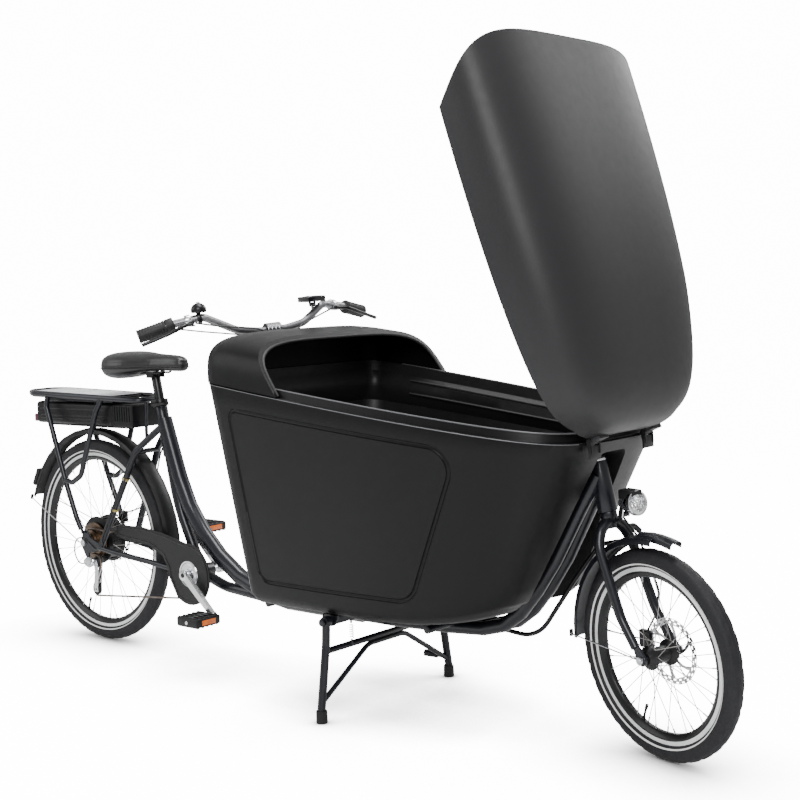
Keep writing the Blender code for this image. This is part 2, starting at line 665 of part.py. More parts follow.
def lid_grid(inset):
    rows = []
    for i, (run, fraction, height) in enumerate(LID_STATIONS):
        half = (half_width(max(run, 0.03)) + LID_OVER) * fraction
        lean = REAR_LEAN * max(0.0, (run - 0.35) / (LID_LEN - 0.35))
        # thickness of the front wall
        start = run + ({0: inset, 1: 0.004}.get(i, 0.0) if inset else 0.0)
        rows.append([rim_point(start + h * lean, y, h + LID_LIFT)
                     for y, h in arch(half - inset, height - inset, LID_ARCH + 0.7 * run)])
    return rows


def build_lid():
    parts = [shell(lid_grid(0.0), lid_grid(LID_T))]
    for side in SIDES:
        y = HINGE_Y * side
        parts += [box((2.0075, y - 0.020, 0.7655), (2.0185, y + 0.020, 0.7900)),   # pad
                  cross_rod(HINGE, y - 0.0135, y + 0.0135, 0.0072, 10),            # knuckle
                  box((2.0100, y - 0.0130, 0.7600), (2.0185, y + 0.0130, 0.7660))]  # leaf
    lid = cut(union(parts), [cross_rod(HINGE, -0.2, 0.2, 0.0036, 10)])
    give('lid_shell', 'lid_body', 'lid_plastic', lid)


def hood_grid(side_inset, top_inset):
    rows = []
    for run, widen, height, lean in HOOD_STATIONS:
        half = half_width(run) + 0.003 + widen
        if side_inset and run > REAR_RUN - 0.03:
            run = run - HOOD_BACK_T
        rows.append([rim_point(run + h * lean, y, h)
                     for y, h in arch(half - side_inset, height - top_inset, HOOD_ARCH)])
    return rows


def build_hood():
    """Fixed cover behind the lid, with a rear wall."""
    hood = shell(hood_grid(0.0, 0.0), hood_grid(HOOD_SIDE_T, HOOD_TOP_T), end_wall=True)
    give('box_hood', 'root', 'box_plastic', hood)


def build_hinges():
    ear = [(2.0155, 0.7300), (2.0235, 0.7300)] + arc(HINGE_X, HINGE_Z, 0.0075, -10, 190, 8)
    for side in SIDES:
        y = HINGE_Y * side
        parts = [box((2.0155, y - 0.022, 0.7180), (2.0215, y + 0.022, 0.7480))]
        parts += [plate(ear, y + 0.0145 * end, y + 0.0190 * end) for end in SIDES]
        parts.append(cross_rod(HINGE, y - 0.0205, y + 0.0205, 0.0030, 10))
        give('hinge_bracket_' + SIDE_NAME[side], 'root', 'black_plastic', union(parts))


# ================================================================== wheels
# turned profiles (radius, y)
REAR_HUB = [
    (0.0075, -0.0600), (0.0118, -0.0600), (0.0118, -0.0270), (0.0600, -0.0240),
    (0.0780, -0.0200), (0.0780, -0.0160), (0.0700, -0.0120), (0.0700, 0.0240),
    (0.0780, 0.0280), (0.0780, 0.0320), (0.0600, 0.0380), (0.0220, 0.0400),
    (0.0220, 0.0485), (0.0075, 0.0485)]
FRONT_HUB = [
    (0.0065, -0.0440), (0.0150, -0.0440), (0.0230, -0.0360), (0.0290, -0.0330),
    (0.0290, -0.0300), (0.0200, -0.0240), (0.0200, 0.0200), (0.0310, 0.0270),
    (0.0310, 0.0300), (0.0230, 0.0345), (0.0230, 0.0395), (0.0065, 0.0395)]
CASSETTE = [
    (0.0126, -0.0300), (0.0600, -0.0300), (0.0600, -0.0345), (0.0505, -0.0350),
    (0.0505, -0.0400), (0.0385, -0.0405), (0.0385, -0.0495), (0.0300, -0.0500),
    (0.0300, -0.0550), (0.0230, -0.0555), (0.0230, -0.0590), (0.0126, -0.0590)]
# left halves of the axles with their nuts (radius, y), from the middle outward
REAR_AXLE = [(0.0062, 0.0748), (0.0110, 0.0748), (0.0110, 0.0835), (0.0060, 0.0835),
             (0.0060, 0.0860), (0, 0.0860)]
FRONT_AXLE = [(0.0050, 0.0592), (0.0090, 0.0592), (0.0090, 0.0670), (0.0048, 0.0670),
              (0.0048, 0.0700), (0, 0.0700)]
SPOKES = 16


def build_wheel(end, centre, radius, steps, hub_profile, flange_ys, flange_r):
    """Tyre, rim and spoked hub; flange_ys are the spoke planes, right then left."""
    wheel = end + '_wheel'
    bpy.ops.mesh.primitive_torus_add(
        major_segments=steps, minor_segments=8, major_radius=radius - TYRE_TUBE_R,
        minor_radius=TYRE_TUBE_R, location=centre, rotation=(math.pi / 2, 0, 0))
    give(end + '_tyre', wheel, 'tyre_rubber', bake(bpy.context.object))
    outer = radius - 2 * TYRE_TUBE_R - GAP
    inner = outer - 0.0215
    profile = [(outer, -0.0125), (outer, 0.0125), (inner + 0.010, 0.0130), (inner, 0.0060),
               (inner, -0.0060), (inner + 0.010, -0.0130)]
    give(end + '_rim', wheel, 'rim_alloy', turned(profile, centre, steps))

    parts = [turned(hub_profile, centre, 16)]
    spoke_r = inner - 0.0020
    for k in range(SPOKES):
        at_rim = 2 * math.pi * (k + 0.25) / SPOKES
        at_hub = at_rim + (0.38 if (k // 2) % 2 else -0.38)
        start = Vector((flange_r * math.cos(at_hub), flange_ys[k % 2],
                        flange_r * math.sin(at_hub)))
        stop = Vector((spoke_r * math.cos(at_rim), 0.004 if k % 2 else -0.004,
                       spoke_r * math.sin(at_rim)))
        parts.append(rod(centre + start, centre + stop, 0.0012, 4))
    give(end + '_hub', wheel, 'black_alloy', union(parts))


def build_axle(name, body_name, centre, half):
    profile = [(radius, -y) for radius, y in reversed(half)] + half
    give(name, body_name, 'steel', turned(profile, centre, 8))


def build_rotor(end, centre, y):
    """Brake disc whose right face is at y, with five slanted arms."""
    parts = [turned([(0.0660, y), (0.0800, y), (0.0800, y + 0.0020), (0.0660, y + 0.0020)],
                    centre, 24),
             turned([(0.0150, y), (0.0230, y), (0.0230, y + 0.0020), (0.0150, y + 0.0020)],
                    centre, 16)]
    middle = Matrix.Translation(centre + across(y + 0.001))
    arm = (Matrix.Translation((0.0440, 0, 0.006)) @ Matrix.Rotation(0.28, 4, 'Y')
           @ Matrix.Diagonal((0.050, 0.0018, 0.0070, 1)))
    for k in range(5):
        bm = bmesh.new()
        bmesh.ops.create_cube(bm, size=1.0)
        bm.transform(middle @ Matrix.Rotation(2 * math.pi * k / 5, 4, 'Y') @ arm)
        parts.append(add(bm))
    give(end + '_brake_rotor', end + '_wheel', 'steel', union(parts))


def build_caliper(end, body_name, lo, hi, centre, slot_r, slot_y0, slot_y1):
    """Block with a slot that clears the disc."""
    slot = turned([(0.030, slot_y0), (slot_r, slot_y0), (slot_r, slot_y1), (0.030, slot_y1)],
                  centre, 32)
    give(end + '_brake_caliper', body_name, 'black_alloy', cut(box(lo, hi, 0.003), [slot]))


def build_rear_wheel():
    build_wheel('rear', REAR, REAR_R, 40, REAR_HUB, (-0.018, 0.030), 0.074)
    build_axle('rear_axle', 'root', REAR, REAR_AXLE)
    build_rotor('rear', REAR, 0.0495)
    give('cassette_sprockets', 'cassette', 'cassette_steel', turned(CASSETTE, REAR, 16))
    build_caliper('rear', 'root', (0.030, 0.0440, 0.388), (0.068, 0.0575, 0.424),
                  REAR, 0.0830, 0.0483, 0.0527)


def build_front_wheel():
    build_wheel('front', FRONT, FRONT_R, 34, FRONT_HUB, (-0.0315, 0.0285), 0.0265)
    build_axle('front_axle', 'fork_body', FRONT, FRONT_AXLE)
    build_rotor('front', FRONT, 0.0402)
    build_caliper('front', 'fork_body', (FRONT.x - 0.106, 0.0340, 0.2440),
                  (FRONT.x - 0.068, 0.0500, 0.2860), FRONT, 0.0825, 0.0388, 0.0436)


# ================================================================== fork, lamp, mudguards
def build_fork():
    parts = [rod(head_at(0.535), head_at(0.7005), 0.0143, 16),       # steerer
             rod(head_at(0.6965), head_at(0.7045), 0.0190, 16),      # cap
             rod(head_at(0.560), head_at(0.5738), 0.0205, 16)]       # lower race
    dropout = arc(FRONT.x, FRONT.z, 0.0145, -150, 40, 7)
    dropout += [(FRONT.x - 0.012, 0.2860), (FRONT.x - 0.028, 0.2790)]
    for side in SIDES:
        blade = [head_at(0.5545) + across(0.006 * side),
                 head_at(0.538) + across(0.034 * side),
                 head_at(0.500) + STEER_FWD * 0.002 + across(0.0520 * side),
                 (FRONT.x - 0.064, 0.0550 * side, 0.340),
                 (FRONT.x - 0.020, 0.0550 * side, 0.2780)]
        parts += [tube(bend(blade, [0.05, 0.08, 0.14], 2), 0.0142, taper=0.76),
                  plate(dropout, 0.0520 * side, 0.0580 * side)]
    # steering arm for the tie rod, on the left
    root = HEAD_ARM + STEER_UP * 0.030
    arm = [root + across(0.050), root + across(0.070), HEAD_EYE + STEER_UP * 0.0135]
    parts += [tube(bend(arm, 0.01, 2), 0.0070),
              rod_along(HEAD_EYE, STEER_UP, 0.0165, 0.0060, 0.0050, 8)]
    # lamp bracket and its eye
    crown = head_at(0.548)
    parts += [tube([crown, crown + STEER_FWD * 0.035 + STEER_UP * 0.004, LAMP_PIVOT], 0.0045, 6),
              cross_rod(LAMP_PIVOT, -0.0085, 0.0085, 0.0068, 10)]
    fork = cut(union(parts), [cross_rod(FRONT, -0.09, 0.09, 0.0056)])
    give('fork', 'fork_body', 'frame_paint', fork)


def build_headlamp():
    x, z = LAMP_PIVOT.x, LAMP_PIVOT.z
    parts = [rod(LAMP_PIVOT + Vector((0, 0, 0.026)), LAMP_PIVOT + Vector((0.046, 0, 0.032)),
                 0.015, 14, 0.029),
             rod(LAMP_PIVOT + Vector((0.0455, 0, 0.0319)),
                 LAMP_PIVOT + Vector((0.0520, 0, 0.0328)), 0.029, 14, 0.026)]
    ear = [(x - 0.0075, z - 0.006), (x + 0.0075, z - 0.006), (x + 0.0140, z + 0.022),
           (x + 0.001, z + 0.022)]
    parts += [plate(ear, 0.0092 * side, 0.0125 * side) for side in SIDES]
    parts.append(box((0.004, -0.018, 0.038), (0.050, 0.018, 0.0625), 0.004, at=LAMP_PIVOT))
    give('headlamp', 'lamp_body', 'lamp_chrome', union(parts))


def guard_arc(centre, radius, start, end, half, steps):
    """Arched strip round a wheel; degrees from forward, upward positive."""
    # (radius, y), over the outside from left to right and back inside
    profile = [(radius - 0.0085, half), (radius - 0.0022, half * 0.72), (radius, 0.0),
               (radius - 0.0022, -half * 0.72), (radius - 0.0085, -half),
               (radius - 0.0100, -half + 0.0020), (radius - 0.0042, -half * 0.68),
               (radius - 0.0020, 0.0), (radius - 0.0042, half * 0.68),
               (radius - 0.0100, half - 0.0020)]
    rings = []
    for k in range(steps + 1):
        angle = math.radians(start + (end - start) * k / steps)
        rings.append([centre + Vector((r * math.cos(angle), y, r * math.sin(angle)))
                      for r, y in profile])
    return loft(rings)


def build_mudguards():
    give('rear_mudguard', 'root', 'black_plastic',
         guard_arc(REAR, 0.3720, -2, 160, 0.0262, 18))
    centre = FRONT + Vector((0.002, 0, 0.014))
    guard = guard_arc(centre, 0.2800, 86, 184, 0.0300, 12)
    tongue = guard_arc(centre, 0.2860, 74, 98, 0.0180, 4)
    give('front_mudguard', 'fork_body', 'frame_paint', union([guard, tongue]))


# ================================================================== drive
CHAINRING = [                                # (radius, y)
    (0.0115, -0.0432), (0.0720, -0.0432), (CHAINRING_R, -0.0450), (0.0720, -0.0468),
    (0.0600, -0.0470), (0.0300, -0.0475), (0.0290, -0.0612), (0.0115, -0.0612)]
JOCKEY = [                                   # (radius, y)
    (0.0036, -0.0505), (0.0120, -0.0505), (0.0140, -0.0475), (0.0185, -0.0465),
    (0.0185, -0.0435), (0.0140, -0.0425), (0.0120, -0.0395), (0.0036, -0.0395)]
JOCKEY_CHAIN_R = 0.0222
# wheels in chain order: centre (x, z), chain radius, turn (1 anticlockwise in x-z)
CHAIN_WHEELS = [(BB.xz, CHAIN_R, 1), (REAR.xz, 0.0435, 1),
                (JOCKEYS['upper'].xz, JOCKEY_CHAIN_R, -1),
                (JOCKEYS['lower'].xz, JOCKEY_CHAIN_R, 1)]
CHAIN_HALF = 0.0026                          # half the thickness and width of the chain
GUARD_ARM = [                                # (x, z), round the arm of the chain guard
    (0.400, 0.258), (0.396, 0.285), (0.372, 0.322), (0.310, 0.348), (0.180, 0.357),
    (0.150, 0.364), (0.140, 0.378), (0.152, 0.394), (0.180, 0.402), (0.270, 0.405),
    (0.372, 0.394)]


def tangent(wheel, following):
    """Ends of the straight chain run from one wheel to the following one."""
    centre0, radius0, turn0 = wheel
    centre1, radius1, turn1 = following
    line = centre1 - centre0
    offset = math.acos((turn0 * radius0 - turn1 * radius1) / line.length)
    angle = math.atan2(line.y, line.x) - offset
    normal = Vector((math.cos(angle), math.sin(angle)))
    return centre0 + normal * radius0 * turn0, centre1 + normal * radius1 * turn1


def chain_path():
    """Points (x, z) on the arcs round the wheels; straight runs join them."""
    runs = [tangent(CHAIN_WHEELS[i], CHAIN_WHEELS[(i + 1) % 4]) for i in range(4)]
    points = []
    for i in range(4):
        centre, radius, turn = CHAIN_WHEELS[(i + 1) % 4]
        arrive = runs[i][1] - centre
        leave = runs[(i + 1) % 4][0] - centre
        start = math.atan2(arrive.y, arrive.x)
        end = math.atan2(leave.y, leave.x)
        sweep = turn * ((turn * (end - start)) % (2 * math.pi))
        steps = max(3, int(abs(sweep) / 0.32))
        for k in range(steps + 1):
            angle = start + sweep * k / steps
            points.append(centre + Vector((radius * math.cos(angle), radius * math.sin(angle))))
    return points


def build_chain():
    path = chain_path()
    rings = []
    for i, p in enumerate(path):
        along = (path[(i + 1) % len(path)] - path[i - 1]).normalized()
        rings.append([(p.x - along.y * out, CHAIN_Y + side, p.y + along.x * out)
                      for out, side in ((CHAIN_HALF, CHAIN_HALF), (CHAIN_HALF, -CHAIN_HALF),
                                        (-CHAIN_HALF, -CHAIN_HALF), (-CHAIN_HALF, CHAIN_HALF))])
    bm = bmesh.new()
    rows = vert_rows(bm, rings)
    skin(bm, rows + rows[:1])
    give('chain', 'root', 'chain_steel', add(bm))


def build_crank(side):
    tip = pedal_axis(side)
    along = CRANK.normalized() * -side
    normal = Vector((-along.z, 0, along.x))
    web = []                                     # inner face, then the narrower outer face
    for y, at_root, at_tip in ((0.0665, 0.0130, 0.0095), (0.0790, 0.0105, 0.0075)):
        root_y, tip_y = across(y * side), across(y * side + 0.0055 * side)
        web.append([BB + normal * at_root + root_y, BB - normal * at_root + root_y,
                    tip - normal * at_tip + tip_y, tip + normal * at_tip + tip_y])
    boss_y = 0.0625 if side > 0 else -0.0648
    parts = [cross_rod(BB, boss_y, 0.0800 * side, 0.0165, 14),
             cross_rod(tip, 0.0720 * side, 0.0850 * side, 0.0125),
             loft(web),
             cross_rod(tip, 0.0750 * side, 0.1850 * side, 0.0055, 10)]    # pedal pin
    if side > 0:
        parts.append(cross_rod(BB, 0.0700, -0.0642, 0.0110, 14))          # spindle
    give('crank_' + SIDE_NAME[side], 'crankset', 'polished_alloy', union(parts))


def build_pedal(side):
    tip = pedal_axis(side)
    pedal = box((-0.0460, 0.0905 * side, -0.0135), (0.0460, 0.1830 * side, 0.0135), 0.005, at=tip)
    windows = [box((x, 0.0980 * side, -0.03), (x + 0.0220, 0.1750 * side, 0.03), at=tip)
               for x in (-0.0340, 0.0120)]
    bore = cross_rod(tip, 0.05 * side, 0.20 * side, 0.0064, 10)
    give('pedal_' + SIDE_NAME[side], 'pedal_%s_body' % SIDE_NAME[side], 'black_plastic',
         cut(pedal, windows + [bore]))


def build_crankset():
    give('chainring', 'crankset', 'polished_alloy', turned(CHAINRING, BB, 24))
    for side in SIDES:
        build_crank(side)
        build_pedal(side)


def build_chain_guard():
    """Round cover with a long arm over the upper run."""
    guard = plate(arc(BB_X, BB_Z, 0.0960, 96, -128, 18) + GUARD_ARM, -0.0560, -0.0528)
    give('chain_guard', 'root', 'black_plastic',
         cut(guard, [cross_rod(BB, -0.08, -0.02, 0.0325, 20)]))


def build_derailleur():
    upper, lower = JOCKEYS['upper'], JOCKEYS['lower']
    knuckle = [(0.006, -0.066, 0.278), (-0.016, -0.068, 0.268), (0.004, -0.0645, 0.254),
               (upper.x, -0.0620, upper.z - 0.004)]
    cage = [(upper.x - 0.010, upper.z + 0.008), (upper.x + 0.010, upper.z + 0.008),
            (upper.x + 0.014, upper.z - 0.030), (lower.x + 0.010, lower.z + 0.010),
            (lower.x + 0.009, lower.z - 0.009), (lower.x - 0.009, lower.z - 0.009),
            (lower.x - 0.010, lower.z + 0.010), (upper.x - 0.004, upper.z - 0.030)]
    parts = [box((0.000, -0.0740, 0.262), (0.020, -0.0600, 0.2852), 0.003),
             tube(bend(knuckle, 0.01, 2), 0.0070),
             plate(cage, -0.0535, -0.0520), plate(cage, -0.0380, -0.0365)]
    parts += [cross_rod(centre, -0.0535, -0.0365, 0.0030, 8) for centre in (upper, lower)]
    parts.append(cross_rod((upper.x, 0, upper.z - 0.002), -0.0640, -0.0528, 0.0060, 8))
    give('rear_derailleur', 'root', 'black_alloy', union(parts))
    for name, centre in JOCKEYS.items():
        give('jockey_wheel_' + name, 'jockey_%s_body' % name, 'black_plastic',
             turned(JOCKEY, centre, 14))


# ================================================================== seat
# outlines (x, y) of the base plate and of the hollow under the cushion
SADDLE_PLATE = [
    (0.187, -0.085), (0.167, 0), (0.187, 0.085), (0.252, 0.078), (0.322, 0.040), (0.422, 0.020),
    (0.437, 0), (0.422, -0.020), (0.322, -0.040), (0.252, -0.078)]
SADDLE_HOLLOW = [
    (0.170, -0.088), (0.152, 0), (0.170, 0.088), (0.257, 0.082), (0.327, 0.044),
    (0.430, 0.0245), (0.447, 0), (0.430, -0.0245), (0.327, -0.044), (0.257, -0.082)]
CUSHION_Z = 0.915                            # height of the cushion's widest line
# x, half width, height above that line, depth below it
CUSHION_STATIONS = [
    (0.120, 0.030, 0.022, 0.020), (0.132, 0.068, 0.030, 0.030), (0.162, 0.090, 0.036, 0.034),
    (0.207, 0.097, 0.040, 0.032), (0.254, 0.088, 0.040, 0.028), (0.297, 0.064, 0.038, 0.022),
    (0.337, 0.044, 0.036, 0.020), (0.387, 0.033, 0.034, 0.020), (0.432, 0.029, 0.031, 0.021),
    (0.455, 0.022, 0.024, 0.020), (0.464, 0.010, 0.012, 0.012)]
RAIL = [(0.225, 0.026, 0.904), (0.255, 0.0235, 0.8885), (0.355, 0.0235, 0.8885),
        (0.392, 0.012, 0.904)]


def build_seatpost():
    post = rod_along(SEAT_TOP, SEAT_DIR, -0.115, 0.078, 0.0148, 16)
    head = cross_rod(SADDLE_PIVOT, -0.0190, 0.0190, 0.0080, 10)
    give('seatpost', 'seatpost_body', 'black_alloy', union([post, head]))


def build_seat_clamp():
    """Collar round the top of the seat tube, and its lever on the right."""
    low, high = SEAT_TOP - SEAT_DIR * 0.020, SEAT_TOP + SEAT_DIR * 0.0010
    bore = rod(low - SEAT_DIR * 0.02, high + SEAT_DIR * 0.02, 0.0201, 18)
    collar = cut(rod(low, high, 0.0245, 18), [bore])
    ear = box((0.322, -0.0300, 0.784), (0.347, -0.0225, 0.802), 0.002)
    give('seat_clamp', 'root', 'black_alloy', union([collar, ear]))
    lever = [(0.335, -0.0360, 0.792), (0.352, -0.0375, 0.792), (0.386, -0.0300, 0.795)]
    give('seat_clamp_lever', 'seat_lever_body', 'black_alloy',
         tube(bend(lever, 0.02, 3), 0.0042, 6))


def build_saddle_base():
    x, z = SADDLE_PIVOT.x, SADDLE_PIVOT.z
    cheek = [(x - 0.013, z - 0.008), (x + 0.013, z - 0.008), (x + 0.013, 0.8905),
             (x - 0.013, 0.8905)]
    parts = [slab(SADDLE_PLATE, 0.901, 0.907)]
    for side in SIDES:
        parts += [tube(bend(on_side(side, RAIL), 0.015, 2), 0.0035, 6),
                  plate(cheek, 0.0198 * side, 0.0262 * side)]
    give('saddle_base', 'saddle_body', 'black_plastic', union(parts))


def build_saddle_cushion():
    rings = []
    for x, half, above, below in CUSHION_STATIONS:
        ring = []
        for k in range(14):
            angle = 2 * math.pi * k / 14
            cosine, sine = math.cos(angle), math.sin(angle)
            rise = above if sine >= 0 else -below
            ring.append((x, half * math.copysign(abs(cosine) ** 0.75, cosine),
                         CUSHION_Z + rise * abs(sine) ** 0.8))
        rings.append(ring)
    cushion = cut(loft(rings), [slab(SADDLE_HOLLOW, 0.860, 0.9078)])
    give('saddle_cushion', 'saddle_body', 'saddle_vinyl', cushion)


# ================================================================== rack and battery
RACK_Z = 0.810
RACK_LOOP = [                                # once round, starting on the right
    (0.20, -0.072, RACK_Z), (-0.235, -0.072, RACK_Z), (-0.294, -0.045, RACK_Z),
    (-0.294, 0.045, RACK_Z), (-0.235, 0.072, RACK_Z), (0.20, 0.072, RACK_Z),
    (0.285, 0.045, RACK_Z - 0.004), (0.285, -0.045, RACK_Z - 0.004), (0.20, -0.072, RACK_Z)]
RACK_LEG = [(-0.160, 0.072, RACK_Z), (-0.160, 0.080, 0.775), (-0.068, 0.0865, 0.535),
            (-0.018, 0.0885, 0.420), (0.000, 0.0845, 0.378)]
RACK_BRACE = [(0.130, 0.072, RACK_Z), (0.105, 0.0800, 0.765), (0.018, 0.0870, 0.556),
              (-0.030, 0.0880, 0.530), (-0.066, 0.0865, 0.535)]
RACK_FOOT = [(0.001, 0.0842, 0.383), (0.001, 0.0802, 0.3635)]
RACK_STRUT = [(0.284, -0.020, RACK_Z - 0.004), (0.284, -0.018, RACK_Z - 0.020),
              (0.275, -0.015, 0.70), (0.272, -0.012, 0.672)]


def build_rack():
    loop = bend(RACK_LOOP, [0.05, 0.035, 0.035, 0.05, 0.05, 0.03, 0.03], 2)[:-1]
    side_rail = [(-0.215, RACK_Z + 0.001), (0.150, RACK_Z + 0.001), (0.150, 0.7925),
                 (-0.215, 0.7925)]
    parts = [tube(loop, 0.0070, 6, cyclic=True),
             box((-0.235, -0.0660, RACK_Z - 0.0010), (0.165, 0.0660, RACK_Z + 0.0030))]
    parts += [cross_rod((x, 0, RACK_Z - 0.001), -0.072, 0.072, 0.0045, 6)
              for x in (-0.200, 0.130)]
    for side in SIDES:
        parts += [tube(bend(on_side(side, RACK_LEG), [0.015, 0.15, 0.06], 2), 0.0062, 6),
                  tube(bend(on_side(side, RACK_BRACE), [0.02, 0.035, 0.03], 2), 0.0062, 6),
                  rod(*on_side(side, RACK_FOOT), 0.0048, 8),
                  plate(side_rail, 0.0425 * side, 0.0445 * side)]
    parts.append(tube(bend(RACK_STRUT, 0.02, 2), 0.0045, 6))
    give('rack_frame', 'root', 'frame_paint', union(parts))


def build_battery():
    give('rear_light', 'battery_body', 'tail_red',
         box((-0.3050, -0.0300, 0.7180), (-0.2625, 0.0300, 0.7440), 0.004))
    case = box((-0.262, -0.0520, 0.7170), (0.150, 0.0520, 0.7900), 0.012, 2)
    handle = box((-0.268, -0.020, 0.750), (-0.258, 0.020, 0.772), 0.003)
    give('battery', 'battery_body', 'black_plastic', union([case, handle]))


def build_battery_dock():
    slots = [box((0.168 + 0.012 * k, 0.070 * side, 0.735), (0.172 + 0.012 * k, 0.048 * side, 0.782))
             for side in SIDES for k in range(7)]
    dock = cut(box((0.1525, -0.0540, 0.7160), (0.2560, 0.0540, 0.7890), 0.006), slots)
    tray = box((-0.215, -0.030, 0.7095), (0.175, 0.030, 0.7162))
    web = box((0.156, -0.030, 0.7100), (0.200, 0.030, 0.7240))
    give('battery_dock', 'root', 'black_plastic', union([dock, tray, web]))


# ================================================================== steering
BAR_BORE = 0.0122                            # hole radius of parts clamped on the bar
LEVER_Y0, LEVER_Y1 = 0.2290, 0.2440          # brake mounts along the bar
# brake lever from its pivot outward, for the left side
LEVER_PATH = [(0, 0, 0), (0.016, 0.030, 0), (0.006, 0.075, -0.010), (-0.022, 0.150, -0.030)]


def build_steering_column():
    """Column with its clamp at the top and the steering arm at the bottom."""
    lift = STEER_UP * 0.0005
    parts = [rod(COL_ARM - STEER_UP * 0.004, COLUMN_TOP - STEER_UP * 0.006, 0.0128, 14),
             rod(col_at(0.806), col_at(0.826), 0.0185, 14),               # collar
             cross_rod(COLUMN_TOP, -0.024, 0.024, 0.0190, 16),            # clamp
             rod(COL_ARM + lift, COL_EYE + lift, 0.0048, 8),
             rod_along(COL_EYE, STEER_UP, -0.0045, 0.0055, 0.0080, 10)]
    bores = [cross_rod(COLUMN_TOP, -0.05, 0.05, 0.0117, 16),
             rod_along(COL_EYE, STEER_UP, -0.03, 0.03, 0.0036, 8)]
    give('steering_column', 'column', 'black_alloy', cut(union(parts), bores))


def build_handlebar():
    """Bar with the post, eye and pin that carry the display."""
    inner, outer = BAR_PTS[6:8]
    foot = inner.lerp(outer, (DISPLAY_PIVOT.y - inner.y) / (outer.y - inner.y))
    give('handlebar', 'column', 'bar_alloy', union([
        tube(BAR_PATH, 0.0111), rod(foot, DISPLAY_PIVOT, 0.0045, 8),
        cross_rod(DISPLAY_PIVOT, -0.0060, 0.0060, 0.0060, 10),
        cross_rod(DISPLAY_PIVOT, -0.0100, 0.0100, 0.0022, 8)]))


def sleeve(y0, y1, radius, bore, sides, overrun):
    """Ring round the bar; its bore cutter overruns both ends."""
    start, along = on_bar(y0)
    end = on_bar(y1)[0]
    return cut(rod(start, end, radius, sides),
               [rod(start - along * overrun, end + along * overrun, bore, sides)])


def build_grips():
    give('grip_right', 'column', 'grip_rubber',
         sleeve(-0.2965, -0.3660, 0.0165, 0.0121, 14, 0.004))
    # the left grip has no shifter beside it and starts further in
    give('grip_left', 'column', 'grip_rubber',
         sleeve(0.2920, 0.3660, 0.0165, BAR_BORE - 0.0001, 14, 0.004))
    give('twist_shifter', 'shifter_body', 'grip_rubber',
         sleeve(-0.2735, -0.2945, 0.0190, 0.0126, 16, 0.01))


def build_brake_mount(side):
    pivot = lever_pivot(side)
    level = (pivot.x, 0, pivot.z)
    y0, y1 = LEVER_Y0 * side, LEVER_Y1 * side
    start, along = on_bar(y0)
    end = on_bar(y1)[0]
    parts = [rod(start, end, 0.0160, 14),
             box((-0.016, y0, -0.0085), (0.006, y1, -0.0045), at=level),     # lower jaw
             box((-0.016, y0, 0.0045), (0.006, y1, 0.0085), at=level),       # upper jaw
             box((-0.020, y0, -0.0085), (-0.0120, y1, 0.0085), at=level),
             rod_along(pivot, UP, -0.0080, 0.0080, 0.0022, 8)]
    bore = rod(start - along * 0.02, end + along * 0.02, BAR_BORE, 14)
    give('brake_mount_' + SIDE_NAME[side], 'column', 'black_alloy', cut(union(parts), [bore]))


def build_brake_lever(side):
    pivot = lever_pivot(side)
    path = bend([pivot + Vector(p) for p in on_side(side, LEVER_PATH)], [0.03, 0.1], 3)
    lever = union([tube(path, 0.0040), rod_along(pivot, UP, -0.0038, 0.0038, 0.0062, 10)])
    lever = cut(lever, [rod_along(pivot, UP, -0.02, 0.02, 0.0028, 8)])
    name = 'brake_lever_' + SIDE_NAME[side]
    give(name, name + '_body', 'black_alloy', lever)


def build_brakes():
    for side in SIDES:
        build_brake_mount(side)
        build_brake_lever(side)


def build_bell():
    """Bell on the right of the bar."""
    place, along = on_bar(-0.206)
    ring = cut(rod_along(place, along, -0.006, 0.006, 0.0160, 14), [tube(BAR_PATH, 0.0118, 10)])
    dome = turned([(0, 0.0320), (0.0120, 0.0300), (0.0185, 0.0235), (0.0195, 0.0150),
                   (0.0150, 0.0150), (0, 0.0150)], place, 14, axis=UP)
    stem = rod_along(place, UP, 0.0135, 0.018, 0.006, 8)
    give('bell', 'column', 'black_alloy', union([ring, dome, stem]))


def build_display():
    """Tilting display left of the clamp, with one push button."""
    x, y, z = DISPLAY_PIVOT
    ear = arc(x, z, 0.0052, 0, -180, 6) + [(x - 0.0052, z + 0.0100), (x + 0.0052, z + 0.0100)]
    parts = [box((-0.034, -0.030, 0.0085), (0.030, 0.030, 0.0245), 0.003, at=DISPLAY_PIVOT)]
    for side in SIDES:
        y0, y1 = sorted((y + 0.0066 * side, y + 0.0092 * side))
        hole = cross_rod((x, 0, z), y0 - 0.01, y1 + 0.01, 0.0028, 8)
        parts.append(cut(plate(ear, y0, y1), [hole]))
    pocket = box((-0.0300, -0.0060, 0.0200), (-0.0200, 0.0060, 0.030), at=DISPLAY_PIVOT)
    give('display', 'display_body', 'screen_black', cut(union(parts), [pocket]))
    give('display_button', 'display_button_body', 'black_plastic',
         box((-0.0292, -0.0052, 0.0216), (-0.0208, 0.0052, 0.0258), at=DISPLAY_PIVOT))


def build_tie_rod():
    """Straight under the box, bent up in front to the fork arm."""
    path = [COL_EYE - STEER_UP * 0.0110, (COL_EYE.x + 0.060, STEER_ARM, 0.2365),
            (1.20, STEER_ARM, 0.2335), (1.52, STEER_ARM, 0.2200), (1.675, STEER_ARM, 0.2070),
            (1.795, STEER_ARM, 0.372), (1.872, STEER_ARM, 0.470), HEAD_EYE - STEER_UP * 0.004]
    give('tie_rod', 'rod_body', 'black_alloy', union([
        tube(bend(path, [0.05, 0.3, 0.3, 0.10, 0.2, 0.06], 2), 0.0060),
        rod_along(COL_EYE, STEER_UP, -0.0130, 0.0085, 0.0028, 8),         # stud
        rod_along(HEAD_EYE, STEER_UP, -0.010, 0.0045, 0.0085, 10)]))      # socket


